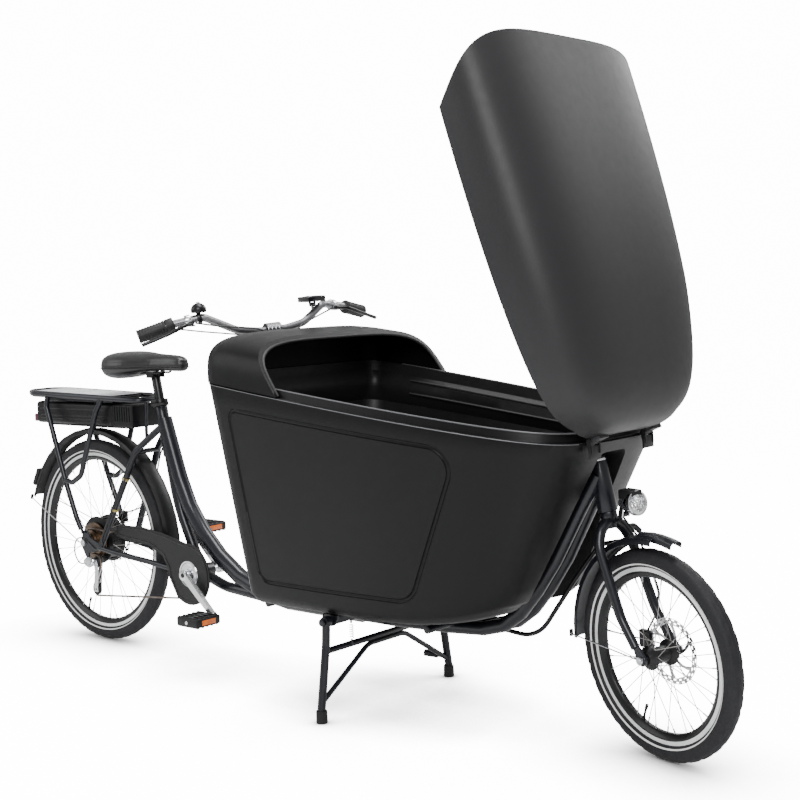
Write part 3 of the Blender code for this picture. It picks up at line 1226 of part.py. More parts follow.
# ================================================================== stand
STAND_LEG = [(PIVOT_X, 0.2330, PIVOT_Z), (PIVOT_X, 0.2375, 0.200), (PIVOT_X, 0.2640, 0.0350)]
FOOT_Y = 0.2640
STAND_BRACE = [(PIVOT_X, -0.2600, 0.0520), (PIVOT_X, -0.075, 0.1690), (PIVOT_X, 0.075, 0.1690),
               (PIVOT_X, 0.2600, 0.0520)]
STAND_CROSS_Z = 0.1840
STAND_FOOT = [(0, 0.0), (0.0145, 0.0), (0.0155, 0.003), (0.0148, 0.0320), (0.0122, 0.0320),
              (0.0122, 0.0215), (0, 0.0215)]           # (radius, z)
SPRING_X, SPRING_Y = PIVOT_X + 0.011, -0.150
SPRING_R = 0.0052
SPRING_TURNS, SPRING_STEPS = 6, 8            # steps in each turn


def build_stand_frame():
    parts = [cross_rod((PIVOT_X, 0, STAND_CROSS_Z), -0.2385, 0.2385, 0.0085, 8)]
    for side in SIDES:
        y = FOOT_Y * side
        parts += [tube(bend(on_side(side, STAND_LEG), 0.2, 2), 0.0112),
                  rod((PIVOT_X, y, 0.0400), (PIVOT_X, y, 0.0225), 0.0108),
                  cross_rod(PIVOT, 0.2230 * side, 0.2430 * side, 0.0140, 14)]
    peg_end = (PIVOT_X - 0.0700, 0.2420, 0.0640)
    parts += [tube(bend(STAND_BRACE, 0.06, 2), 0.0070),
              rod((PIVOT_X, 0.2580, 0.0600), peg_end, 0.0070, 8),
              rod((PIVOT_X - 0.0300, 0.2512, 0.0617), peg_end, 0.0100, 10),
              # spring hook and its root
              rod((SPRING_X, SPRING_Y, STAND_CROSS_Z), (SPRING_X, SPRING_Y, 0.2000), 0.0028, 6),
              rod((PIVOT_X, SPRING_Y, STAND_CROSS_Z), (PIVOT_X + 0.0130, SPRING_Y, 0.1850),
                  0.0045, 6)]
    stand = cut(union(parts), [cross_rod(PIVOT, -0.30, 0.30, 0.0067)])
    give('stand_frame', 'stand_body', 'frame_paint', stand)


def build_stand_feet():
    for side in SIDES:
        give('stand_foot_' + SIDE_NAME[side], 'stand_body', 'grip_rubber',
             turned(STAND_FOOT, (PIVOT_X, FOOT_Y * side, 0.0), 12, axis=UP))


def build_stand_spring():
    """Coil between the hook on the beam and the cross tube."""
    steps = SPRING_TURNS * SPRING_STEPS
    path = []
    for k in range(steps + 1):
        angle = 2 * math.pi * k / SPRING_STEPS
        path.append((SPRING_X + SPRING_R * math.cos(angle), SPRING_Y + SPRING_R * math.sin(angle),
                     0.2030 + 0.0370 * k / steps))
    give('stand_spring', 'stand_body', 'steel', tube(path, 0.0011, 4))


# ------------------------------------------------------------------ build everything
for build in (build_main_frame, build_stand_bracket, build_tub, build_hood, build_lid,
              build_hinges, build_rear_wheel, build_front_wheel, build_fork, build_headlamp,
              build_mudguards, build_crankset, build_chain, build_chain_guard,
              build_derailleur, build_seatpost, build_seat_clamp, build_saddle_base,
              build_saddle_cushion, build_rack, build_battery, build_battery_dock,
              build_steering_column, build_handlebar, build_grips, build_brakes, build_bell,
              build_display, build_tie_rod, build_stand_frame, build_stand_feet,
              build_stand_spring):
    build()

# ------------------------------------------------------------------ hang the parts on their joints
EMPTIES = {}
for name in BODIES:
    empty = bpy.data.objects.new('origin_' + name, None)
    empty.empty_display_size = 0.05
    COLLECTION.objects.link(empty)
    EMPTIES[name] = empty
for name, info in BODIES.items():
    empty = EMPTIES[name]
    to_local = info['matrix'].inverted()
    if info['parent'] is not None:
        empty.parent = EMPTIES[info['parent']]
        empty.matrix_basis = (BODIES[info['parent']]['matrix'].inverted() @ info['matrix']
                              @ Matrix.Rotation(info['rest'], 4, 'Z'))
    for piece in info['parts']:
        piece.data.transform(to_local)
        piece.parent = empty
        for polygon in piece.data.polygons:
            polygon.use_smooth = False
bpy.context.view_layer.update()
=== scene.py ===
"""Looks of the cargo bicycle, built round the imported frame.  Lengths in metres.
Pieces are written with x forward, y to the left, z up from the ground under the rear axle,
and placed in the frame by ORIGIN and the rest angle of the body they ride on."""
import bpy, bmesh, math, json
from mathutils import Vector, Matrix

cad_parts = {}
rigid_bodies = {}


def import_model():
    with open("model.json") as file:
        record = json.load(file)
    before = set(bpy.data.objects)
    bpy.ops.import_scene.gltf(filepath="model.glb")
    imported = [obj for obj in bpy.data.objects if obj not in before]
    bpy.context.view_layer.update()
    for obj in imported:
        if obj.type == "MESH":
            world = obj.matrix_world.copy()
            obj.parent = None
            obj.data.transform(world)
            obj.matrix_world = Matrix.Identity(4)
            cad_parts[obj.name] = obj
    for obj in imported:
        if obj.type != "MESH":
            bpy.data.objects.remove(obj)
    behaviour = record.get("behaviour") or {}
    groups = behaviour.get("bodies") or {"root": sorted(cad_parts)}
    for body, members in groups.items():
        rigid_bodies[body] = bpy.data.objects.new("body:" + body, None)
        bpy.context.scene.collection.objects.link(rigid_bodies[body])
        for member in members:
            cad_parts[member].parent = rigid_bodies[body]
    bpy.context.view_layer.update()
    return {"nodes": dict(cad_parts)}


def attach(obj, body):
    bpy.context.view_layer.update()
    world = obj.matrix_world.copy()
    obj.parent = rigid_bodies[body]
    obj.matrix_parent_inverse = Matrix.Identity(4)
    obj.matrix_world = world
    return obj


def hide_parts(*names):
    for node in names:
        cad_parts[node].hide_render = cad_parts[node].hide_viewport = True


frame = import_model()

COL = bpy.context.scene.collection
NODES = frame["nodes"]

# ------------------------------------------------------------------ dimensions
WHEELBASE = 2.122
REAR_R, REAR_TUBE = 0.3325, 0.0235          # 26 inch tyre
FRONT_R, FRONT_TUBE = 0.2525, 0.0235        # 20 inch tyre
HEAD_DEG = 78.0                              # head tube and column tube angle
HEAD_TOP = (1.949, 0.0, 0.695)
COLUMN_TOP = (0.853, 0.0, 1.019)             # handlebar clamp centre
STEER_ARM = 0.085                            # both steering arms, so the rod keeps its angle
STEER_REST = math.radians(-15.9)             # bars turned to the right
BB = (0.493, 0.0, 0.276)
SEAT_TOP = (0.331, 0.0, 0.803)
SEAT_LOW = (0.398, 0.0, 0.470)              # seat tube bends forward here
CRANK_LEN = 0.170
CRANK_REST = math.radians(-39.6)             # right crank, below the forward direction
CHAINRING_R, CHAIN_R = 0.0725, 0.0770        # 38 teeth
HINGE = (2.015, 0.0, 0.757)                  # lid hinge axis
RIM_SLOPE = 0.13                             # rim falls this much per metre forward
LID_OPEN = math.radians(66.0)
LID_LEN = 0.800
RIM_HW = 0.347
LID_OVER = 0.005                             # lid stands this far outside the rim
XR_TOP, XR_LOW = 0.923, 0.952                # back wall of the box at the rim and at the floor
PIVOT = (1.247, 0.0, 0.262)                  # stand pivot axis
STAND_Y = 0.235
FLOOR_T = 0.008
TUB_BOTTOM = 0.278
ORIGIN = (1.25, 0.0, TUB_BOTTOM + FLOOR_T)   # centre of the cargo floor
GAP = 0.0006                                 # clearance between touching parts


def add(name, bm, merge=1e-6):
    bmesh.ops.remove_doubles(bm, verts=bm.verts, dist=merge)
    bmesh.ops.dissolve_degenerate(bm, edges=bm.edges, dist=1e-7)
    bmesh.ops.recalc_face_normals(bm, faces=bm.faces)
    me = bpy.data.meshes.new(name)
    bm.to_mesh(me)
    bm.free()
    ob = bpy.data.objects.new(name, me)
    COL.objects.link(ob)
    return ob


def drop(ob):
    me = ob.data
    bpy.data.objects.remove(ob, do_unlink=True)
    if me.users == 0:
        (bpy.data.meshes if isinstance(me, bpy.types.Mesh) else bpy.data.curves).remove(me)


def bake(ob):
    bpy.context.view_layer.update()
    dg = bpy.context.evaluated_depsgraph_get()
    me = bpy.data.meshes.new_from_object(ob.evaluated_get(dg))
    bm = bmesh.new()
    bm.from_mesh(me)
    bm.transform(ob.matrix_world)
    bpy.data.meshes.remove(me)
    name = ob.name
    drop(ob)
    bmesh.ops.remove_doubles(bm, verts=bm.verts, dist=2e-6)
    out = add(name, bm)
    out.name = name
    return out


def boolean(a, b, op='UNION'):
    m = a.modifiers.new('cut', 'BOOLEAN')
    m.operation = op
    m.solver = 'EXACT'
    m.object = b
    a = bake(a)
    drop(b)
    return a


def union(name, parts):
    """Several closed forms kept together as one piece."""
    bm = bmesh.new()
    for p in parts:
        bm.from_mesh(p.data)
    for p in parts:
        drop(p)
    me = bpy.data.meshes.new(name)
    bm.to_mesh(me)
    bm.free()
    ob = bpy.data.objects.new(name, me)
    COL.objects.link(ob)
    return ob


def cut(a, cutters, real=False):
    for c in cutters:
        if real:
            a = boolean(a, c, 'DIFFERENCE')
        else:
            drop(c)
    return a


def box(name, lo, hi, bevel=0.0, seg=1):
    bm = bmesh.new()
    bmesh.ops.create_cube(bm, size=1.0)
    size = [hi[i] - lo[i] for i in range(3)]
    mid = [(hi[i] + lo[i]) / 2 for i in range(3)]
    bm.transform(Matrix.Translation(mid) @ Matrix.Diagonal((*size, 1.0)))
    bevel = max(bevel, min(0.0012, 0.2 * min(size)))
    bmesh.ops.bevel(bm, geom=bm.edges[:], offset=bevel, segments=4 if bevel > 0.0015 else 2, affect='EDGES', profile=0.5)
    return add(name, bm)


def aim(d):
    """Rotation that takes local Z to the direction d."""
    return Vector(d).to_track_quat('Z', 'Y').to_matrix().to_4x4()


def rod(name, a, b, r, sides=12, r2=None):
    a, b = Vector(a), Vector(b)
    bm = bmesh.new()
    bmesh.ops.create_cone(bm, cap_ends=True, cap_tris=False, segments=max(24, 2 * sides), radius1=r,
                          radius2=r if r2 is None else r2, depth=(b - a).length)
    lim = min(r, r if r2 is None else r2)
    if lim > 0.004 and (b - a).length > 0.004:
        caps = [e for f in bm.faces if len(f.verts) > 4 for e in f.edges]
        bmesh.ops.bevel(bm, geom=list(set(caps)), offset=0.0008, segments=2, affect='EDGES', profile=0.5)
    bm.transform(Matrix.Translation((a + b) / 2) @ aim(b - a))
    return add(name, bm)


def bend(pts, radius, seg=4):
    seg = max(8, 3 * seg)
    """Straight runs joined by round bends."""
    pts = [Vector(p) for p in pts]
    out = [pts[0]]
    for i in range(1, len(pts) - 1):
        p0, p, p1 = pts[i - 1], pts[i], pts[i + 1]
        u, v = (p0 - p).normalized(), (p1 - p).normalized()
        ang = u.angle(v)
        r = radius[i - 1] if isinstance(radius, (list, tuple)) else radius
        t = min(r / math.tan(ang / 2), 0.49 * (p0 - p).length, 0.49 * (p1 - p).length)
        r = t * math.tan(ang / 2)
        c = p + (u + v).normalized() * (r / math.sin(ang / 2))
        a, b = p + u * t - c, p + v * t - c
        tot = a.angle(b)
        ax = a.cross(b).normalized()
        for k in range(seg + 1):
            out.append(c + Matrix.Rotation(tot * k / seg, 3, ax) @ a)
    out.append(pts[-1])
    return out


def tube(name, pts, r, sides=8, cyclic=False, taper=1.0):
    cu = bpy.data.curves.new(name, 'CURVE')
    cu.dimensions = '3D'
    sp = cu.splines.new('POLY')
    sp.points.add(len(pts) - 1)
    for i, (q, p) in enumerate(zip(sp.points, pts)):
        q.co = (*p, 1.0)
        q.radius = 1.0 + (taper - 1.0) * i / (len(pts) - 1)
    sp.use_cyclic_u = cyclic
    cu.bevel_depth = r
    cu.bevel_resolution = 8 if r > 0.004 else 4
    cu.use_fill_caps = not cyclic
    cu.resolution_u = 1
    ob = bpy.data.objects.new(name, cu)
    COL.objects.link(ob)
    return bake(ob)


def plate(name, outline, y0, y1, bevel=0.0):
    """Flat outline in the x-z plane, extruded across y."""
    bm = bmesh.new()
    f = bm.faces.new([bm.verts.new((x, y0, z)) for x, z in outline])
    ex = bmesh.ops.extrude_face_region(bm, geom=[f])
    bmesh.ops.translate(bm, vec=(0, y1 - y0, 0), verts=[v for v in ex['geom'] if isinstance(v, bmesh.types.BMVert)])
    if bevel:
        long_edges = [e for e in bm.edges if abs(e.verts[0].co.y - e.verts[1].co.y) < 1e-6]
        bmesh.ops.bevel(bm, geom=long_edges, offset=bevel, segments=6, affect='EDGES', profile=0.5)
    return add(name, bm)


def arc(cx, cz, r, a0, a1, n):
    return [(cx + r * math.cos(math.radians(a0 + (a1 - a0) * k / n)),
             cz + r * math.sin(math.radians(a0 + (a1 - a0) * k / n))) for k in range(n + 1)]


def turned(name, profile, centre, axis=(0, 1, 0), steps=32, angle=360.0, start=0.0):
    steps = max(64, 2 * steps)
    """Profile of (radius, distance along the axis), spun about the axis."""
    bm = bmesh.new()
    vs = [bm.verts.new((r, 0, h)) for r, h in profile]
    if angle >= 359.9:
        es = [bm.edges.new((vs[i], vs[(i + 1) % len(vs)])) for i in range(len(vs))
              if not (profile[i][0] < 1e-9 and profile[(i + 1) % len(vs)][0] < 1e-9)]
        geom = vs + es
    else:
        f = bm.faces.new(vs)
        bmesh.ops.rotate(bm, verts=vs, cent=(0, 0, 0), matrix=Matrix.Rotation(math.radians(start), 3, 'Z'))
        geom = [f] + list(f.edges) + vs
    bmesh.ops.spin(bm, geom=geom, cent=(0, 0, 0), axis=(0, 0, 1), dvec=(0, 0, 0),
                   angle=math.radians(angle), steps=steps, use_duplicate=angle < 359.9)
    if angle < 359.9:
        bmesh.ops.remove_doubles(bm, verts=bm.verts, dist=1e-7)
        inner = [f for f in bm.faces if all(len(e.link_faces) > 2 for e in f.edges)]
        if inner:
            bmesh.ops.delete(bm, geom=inner, context='FACES_ONLY')
    else:
        bmesh.ops.remove_doubles(bm, verts=bm.verts, dist=1e-7)
    bm.transform(Matrix.Translation(centre) @ aim(axis))
    return add(name, bm)


def loft(name, rings, mirrored=False):
    """Closed skin through rings that all have the same number of points."""
    bm = bmesh.new()
    rows = [[bm.verts.new(p) for p in ring] for ring in rings]
    n = len(rings[0])
    for a, b in zip(rows, rows[1:]):
        for i in range(n):
            j = (i + 1) % n
            bm.faces.new([a[i], a[j], b[j], b[i]])
    for row in (rows[0], rows[-1]):
        if mirrored:                      # strips straight across, from one side to the other
            bm.faces.new(row[:4] + row[-3:])
            for k in range(3, n // 2):
                quad = [row[k], row[k + 1], row[n - k - 1], row[n - k]]
                bm.faces.new(list(dict.fromkeys(quad)))
        else:
            bm.faces.new(row)
    return add(name, bm)


def sheet(name, outer, inner):
    """Solid between two open grids of points (outer and inner skin)."""
    bm = bmesh.new()
    go = [[bm.verts.new(p) for p in row] for row in outer]
    gi = [[bm.verts.new(p) for p in row] for row in inner]
    nr, nc = len(go), len(go[0])
    for i in range(nr - 1):
        for j in range(nc - 1):
            bm.faces.new([go[i][j], go[i][j + 1], go[i + 1][j + 1], go[i + 1][j]])
            bm.faces.new([gi[i][j], gi[i + 1][j], gi[i + 1][j + 1], gi[i][j + 1]])
    for i in range(nr - 1):
        bm.faces.new([go[i][0], go[i + 1][0], gi[i + 1][0], gi[i][0]])
        bm.faces.new([go[i][-1], gi[i][-1], gi[i + 1][-1], go[i + 1][-1]])
    for j in range(nc - 1):
        bm.faces.new([go[0][j], gi[0][j], gi[0][j + 1], go[0][j + 1]])
        bm.faces.new([go[-1][j], go[-1][j + 1], gi[-1][j + 1], gi[-1][j]])
    return add(name, bm)


# ------------------------------------------------------------------ materials
def surf(name, col, rough, metal=0.0, grain=400.0, bump=0.08, vary=0.14, scale=7.0, coat=0.0, kind='noise',
         rough_vary=0.12, spec=0.5, dust=0.0, stretch=(1, 1, 1), col2=None, bump_depth=0.0006):
    """Procedural material: colour drifts slowly, roughness and a fine relief follow finer noise."""
    m = bpy.data.materials.new(name)
    m.use_nodes = True
    nt = m.node_tree
    N, L = nt.nodes, nt.links
    b = N['Principled BSDF']
    tc = N.new('ShaderNodeTexCoord')
    mp = N.new('ShaderNodeMapping')
    mp.inputs['Scale'].default_value = stretch
    L.new(tc.outputs['Object'], mp.inputs['Vector'])
    big = N.new('ShaderNodeTexNoise')
    big.inputs['Scale'].default_value = scale
    big.inputs['Detail'].default_value = 5.0
    L.new(mp.outputs['Vector'], big.inputs['Vector'])
    ramp = N.new('ShaderNodeValToRGB')
    c2 = col2 or col
    ramp.color_ramp.elements[0].position = 0.30
    ramp.color_ramp.elements[1].position = 0.72
    ramp.color_ramp.elements[0].color = (*[max(0.0, c * (1 - vary)) for c in col], 1)
    ramp.color_ramp.elements[1].color = (*[min(1.0, c * (1 + vary)) for c in c2], 1)
    L.new(big.outputs['Fac'], ramp.inputs['Fac'])
    colour = ramp.outputs['Color']
    if dust:
        geo = N.new('ShaderNodeNewGeometry')
        sep = N.new('ShaderNodeSeparateXYZ')
        L.new(geo.outputs['Normal'], sep.inputs[0])
        mr = N.new('ShaderNodeMapRange')
        mr.inputs['From Min'].default_value = 0.35
        mr.inputs['From Max'].default_value = 1.0
        mr.inputs['To Max'].default_value = dust
        L.new(sep.outputs['Z'], mr.inputs['Value'])
        mu = N.new('ShaderNodeMath')
        mu.operation = 'MULTIPLY'
        L.new(mr.outputs['Result'], mu.inputs[0])
        L.new(big.outputs['Fac'], mu.inputs[1])
        mx = N.new('ShaderNodeMixRGB')
        mx.inputs['Color2'].default_value = (0.32, 0.31, 0.30, 1)
        L.new(mu.outputs[0], mx.inputs['Fac'])
        L.new(colour, mx.inputs['Color1'])
        colour = mx.outputs['Color']
    L.new(colour, b.inputs['Base Color'])
    mid = N.new('ShaderNodeTexNoise')
    mid.inputs['Scale'].default_value = scale * 9
    mid.inputs['Detail'].default_value = 6.0
    L.new(mp.outputs['Vector'], mid.inputs['Vector'])
    rr = N.new('ShaderNodeMapRange')
    rr.inputs['From Min'].default_value = 0.3
    rr.inputs['From Max'].default_value = 0.7
    rr.inputs['To Min'].default_value = max(0.03, rough * (1 - rough_vary))
    rr.inputs['To Max'].default_value = min(1.0, rough * (1 + rough_vary))
    L.new(mid.outputs['Fac'], rr.inputs['Value'])
    L.new(rr.outputs['Result'], b.inputs['Roughness'])
    b.inputs['Metallic'].default_value = metal
    b.inputs['Specular IOR Level'].default_value = spec
    if coat:
        b.inputs['Coat Weight'].default_value = coat
        b.inputs['Coat Roughness'].default_value = 0.08
    if bump:
        if kind == 'leather':
            fine = N.new('ShaderNodeTexVoronoi')
            fine.feature = 'F1'
            fine.inputs['Scale'].default_value = grain
            out = fine.outputs['Distance']
        else:
            fine = N.new('ShaderNodeTexNoise')
            fine.inputs['Scale'].default_value = grain
            fine.inputs['Detail'].default_value = 3.0
            out = fine.outputs['Fac']
        L.new(mp.outputs['Vector'], fine.inputs['Vector'])
        bp = N.new('ShaderNodeBump')
        bp.inputs['Strength'].default_value = bump
        bp.inputs['Distance'].default_value = bump_depth
        L.new(out, bp.inputs['Height'])
        L.new(bp.outputs['Normal'], b.inputs['Normal'])
    return m


MAT = {
    'frame_paint': surf('frame_paint_v', (0.0085, 0.0095, 0.0140), 0.34, 0.2, 260, 0.03, 0.18, coat=0.30, spec=0.4, dust=0.01),
    'box_plastic': surf('box_plastic_v', (0.0048, 0.0048, 0.0054), 0.38, 0, 900, 0.16, 0.10, 4, spec=0.20, rough_vary=0.06, dust=0.006),
    'box_inside': surf('box_inside_v', (0.0150, 0.0150, 0.0155), 0.45, 0, 900, 0.3, 0.16, 5, spec=0.5),
    'lid_plastic': surf('lid_plastic_v', (0.0175, 0.0173, 0.0190), 0.48, 0, 950, 0.16, 0.05, 5, spec=0.42, rough_vary=0.05, dust=0.006),
    'lid_inside': surf('lid_inside_v', (0.0160, 0.0160, 0.0165), 0.60, 0, 900, 0.3, 0.16, 5),
    'black_plastic': surf('black_plastic_v', (0.0090, 0.0090, 0.0098), 0.42, 0, 800, 0.20, 0.18, 12, spec=0.36, dust=0.01),
    'tyre_rubber': surf('tyre_rubber_v', (0.0105, 0.0105, 0.0130), 0.62, 0, 500, 0.35, 0.22, 20, spec=0.38, dust=0.02),
    'white_line': surf('white_line_v', (0.90, 0.90, 0.89), 0.40, 0, 400, 0.10, 0.05, 30),
    'grip_rubber': surf('grip_rubber_v', (0.0090, 0.0090, 0.0098), 0.55, 0, 700, 0.40, 0.18, 30),
    'rim_alloy': surf('rim_alloy_v', (0.93, 0.94, 0.96), 0.30, 0.35, 300, 0.06, 0.06, 20, stretch=(1, 6, 1)),
    'polished_alloy': surf('polished_alloy_v', (0.86, 0.87, 0.89), 0.18, 1.0, 500, 0.03, 0.05, 25),
    'bar_alloy': surf('bar_alloy_v', (0.26, 0.26, 0.27), 0.36, 0.95, 500, 0.06, 0.07, 25),
    'black_alloy': surf('black_alloy_v', (0.0150, 0.0150, 0.0165), 0.32, 0.5, 600, 0.10, 0.20, 25, coat=0.1),
    'steel': surf('steel_v', (0.74, 0.75, 0.77), 0.26, 1.0, 700, 0.05, 0.08, 30),
    'spoke_steel': surf('spoke_steel_v', (0.34, 0.33, 0.32), 0.30, 1.0, 700, 0.05, 0.10, 30),
    'cassette_steel': surf('cassette_steel_v', (0.20, 0.15, 0.11), 0.34, 1.0, 600, 0.08, 0.25, 40),
    'chain_steel': surf('chain_steel_v', (0.19, 0.16, 0.14), 0.42, 1.0, 700, 0.10, 0.30, 60),
    'saddle_vinyl': surf('saddle_vinyl_v', (0.0110, 0.0110, 0.0120), 0.34, 0, 620, 0.28, 0.12, 14, spec=0.62, kind='leather', dust=0.01),
    'lamp_chrome': surf('lamp_chrome_v', (0.82, 0.83, 0.85), 0.10, 1.0, 300, 0.02, 0.04, 20),
    'lamp_lens': surf('lamp_lens_v', (0.78, 0.80, 0.82), 0.08, 1.0, 130, 1.0, 0.35, 120, coat=1.0, spec=0.9, kind='leather', bump_depth=0.006),
    'tail_red': surf('tail_red_v', (0.085, 0.006, 0.022), 0.14, 0, 300, 0.10, 0.20, 30, coat=0.8),
    'reflector_red': surf('reflector_red_v', (0.52, 0.015, 0.012), 0.15, 0, 260, 0.60, 0.20, 60, coat=0.8, kind='leather'),
    'reflector_amber': surf('reflector_amber_v', (0.80, 0.16, 0.012), 0.18, 0, 260, 0.60, 0.20, 60, coat=0.6, kind='leather'),
    'screen_black': surf('screen_black_v', (0.0070, 0.0070, 0.0090), 0.14, 0, 300, 0.02, 0.10, 20, coat=0.7),
    'hose_rubber': surf('hose_rubber_v', (0.0100, 0.0100, 0.0110), 0.40, 0, 500, 0.15, 0.18, 30),
    'clip_yellow': surf('clip_yellow_v', (0.42, 0.33, 0.10), 0.35, 0.2, 500, 0.10, 0.15, 30),
    'deck_pale': surf('deck_pale_v', (0.86, 0.87, 0.90), 0.26, 0.15, 600, 0.08, 0.06, 20),
    # mid grey: painted highlight on the hood edge and tub rim beads, and the grey of the display glass
    'highlight_and_screen_grey': surf('highlight_and_screen_grey_v', (0.125, 0.126, 0.134), 0.34, 0.2, 700, 0.10, 0.10, 10),
    'trim_dark': surf('trim_dark_v', (0.045, 0.045, 0.048), 0.38, 0.1, 700, 0.10, 0.10, 10),
    'dark_plastic': surf('dark_plastic_v', (0.0050, 0.0050, 0.0060), 0.40, 0, 800, 0.20, 0.18, 12, spec=0.28),
    'seal_rubber': surf('seal_rubber_v', (0.0090, 0.0090, 0.0100), 0.55, 0, 500, 0.20, 0.15, 20),
}

# ------------------------------------------------------------------ bodies
H = Vector(HINGE)
U = Vector((-math.cos(math.radians(HEAD_DEG)), 0, math.sin(math.radians(HEAD_DEG))))   # steering axis, up
F = Vector((math.sin(math.radians(HEAD_DEG)), 0, math.cos(math.radians(HEAD_DEG))))    # forward, square to it
HT, CT = Vector(HEAD_TOP), Vector(COLUMN_TOP)
BBV, ST = Vector(BB), Vector(SEAT_TOP)
REAR = Vector((0, 0, REAR_R))
FRONT = Vector((WHEELBASE, 0, FRONT_R))


def head_at(z):
    return HT + U * ((z - HT.z) / U.z)


def col_at(z):
    return CT + U * ((z - CT.z) / U.z)


COL_ARM = col_at(0.256)                      # heights of the two steering arms
HEAD_ARM = head_at(0.500)
SL = Vector(SEAT_LOW)
SEAT_DIR = (ST - SL).normalized()
SADDLE_PIVOT = ST + SEAT_DIR * 0.080
CR = Vector((math.cos(CRANK_REST), 0, math.sin(CRANK_REST))) * CRANK_LEN
JOCKEY_UP = Vector((0.022, -0.045, 0.266))
JOCKEY_LOW = Vector((0.020, -0.045, 0.176))

# lateral stations of the handlebar, in the straight-ahead position
BAR_HALF = ((0, 0.045, 0), (-0.010, 0.110, 0.010), (-0.040, 0.196, 0.056), (-0.070, 0.272, 0.044), (-0.104, 0.368, 0.017))
BAR_PTS = [CT + Vector((x, -y, z)) for x, y, z in reversed(BAR_HALF)] + [CT + Vector(p) for p in BAR_HALF]


def on_bar(y):
    """Point and outward direction on the end part of the bar at sideways distance y."""
    s = -1 if y < 0 else 1
    a, b = (BAR_PTS[1], BAR_PTS[0]) if s < 0 else (BAR_PTS[-2], BAR_PTS[-1])
    if abs(y) < 0.272:
        a, b = (BAR_PTS[2], BAR_PTS[1]) if s < 0 else (BAR_PTS[-3], BAR_PTS[-2])
    k = (y - a.y) / (b.y - a.y)
    return a + (b - a) * k, (b - a).normalized()


LEVER_R, LEVER_DIR_R = on_bar(-0.236)
LEVER_L, LEVER_DIR_L = on_bar(0.236)
LEVER_R = LEVER_R + Vector((0.026, 0.0, -0.008))
LEVER_L = LEVER_L + Vector((0.026, 0.0, -0.008))
DISPLAY_PIVOT = CT + Vector((-0.025, 0.153, 0.058))
LAMP_PIVOT = head_at(0.560) + F * 0.052 + Vector((0, 0, 0.004))
CLAMP_LEVER = ST + SEAT_DIR * (-0.010) + Vector((-0.005, -0.026, 0))

BODIES = {}


def body(name, parent, origin, axis, rest=0.0):
    BODIES[name] = dict(parent=parent, m=Matrix.Translation(origin) @ aim(axis), rest=rest, parts=[])


BODIES['root'] = dict(parent=None, m=Matrix.Translation(ORIGIN), rest=0.0, parts=[])
body('rear_wheel', 'root', REAR, (0, 1, 0))
body('cassette', 'root', REAR, (0, 1, 0))
body('crankset', 'root', BBV, (0, 1, 0))
body('pedal_right_body', 'crankset', BBV + CR, (0, 1, 0))
body('pedal_left_body', 'crankset', BBV - CR, (0, 1, 0))
body('jockey_upper_body', 'root', JOCKEY_UP, (0, 1, 0))
body('jockey_lower_body', 'root', JOCKEY_LOW, (0, 1, 0))
body('column', 'root', CT, U, STEER_REST)
body('rod_body', 'column', COL_ARM + Vector((0, STEER_ARM, 0)), U, -STEER_REST)
body('fork_body', 'root', HEAD_ARM, U, STEER_REST)
body('front_wheel', 'fork_body', FRONT, (0, 1, 0))
body('lamp_body', 'fork_body', LAMP_PIVOT, (0, 1, 0))
body('brake_lever_right_body', 'column', LEVER_R, (0, 0, 1))
body('brake_lever_left_body', 'column', LEVER_L, (0, 0, 1))
body('shifter_body', 'column', on_bar(-0.2755)[0], on_bar(-0.2755)[1])
body('display_body', 'column', DISPLAY_PIVOT, (0, 1, 0))
body('display_button_body', 'display_body', DISPLAY_PIVOT, (0, 0, 1))
body('lid_body', 'root', H, (0, 1, 0), LID_OPEN)
body('stand_body', 'root', PIVOT, (0, 1, 0))
body('seatpost_body', 'root', ST, SEAT_DIR)
body('saddle_body', 'seatpost_body', SADDLE_PIVOT, (0, 1, 0))
body('seat_lever_body', 'root', CLAMP_LEVER, (0, 0, 1))
body('battery_body', 'root', (-0.05, 0, 0.75), (-1, 0, 0))



FLIP = {}


def rest_matrix(name):
    """Where a body's geometry stands at rest, from where it was written."""
    m = Matrix.Identity(4)
    while name:
        b = BODIES[name]
        if b['parent'] is not None and b['rest']:
            m = b['m'] @ Matrix.Rotation(b['rest'], 4, 'Z') @ b['m'].inverted() @ m
        name = b['parent']
    return Matrix.Translation((-ORIGIN[0], -ORIGIN[1], -ORIGIN[2])) @ m


def finish_mesh(ob, angle=38.0):
    me = ob.data
    me.polygons.foreach_set('use_smooth', [True] * len(me.polygons))
    me.set_sharp_from_angle(angle=math.radians(angle))
    me.update()


def give(ob, bod, mat, name=None, angle=38.0, node=True):
    """Finish a piece: its material, its body and the CAD node it stands for."""
    name = name or ob.name
    ob.name = 'v_' + name
    ob.data.name = ob.name
    ob.data.materials.clear()
    ob.data.materials.append(MAT[mat])
    finish_mesh(ob, angle)
    ob.data.transform(rest_matrix(bod))
    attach(ob, bod)
    if node:
        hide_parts(name)
    return ob


def extra(ob, bod, mat, name, angle=38.0):
    """A small visible piece that has no CAD node of its own."""
    ob = give(ob, bod, mat, name, angle, node=False)
    return ob


# ================================================================== frame
def rim_z(x):
    return HINGE[2] + (HINGE[0] - x) * RIM_SLOPE


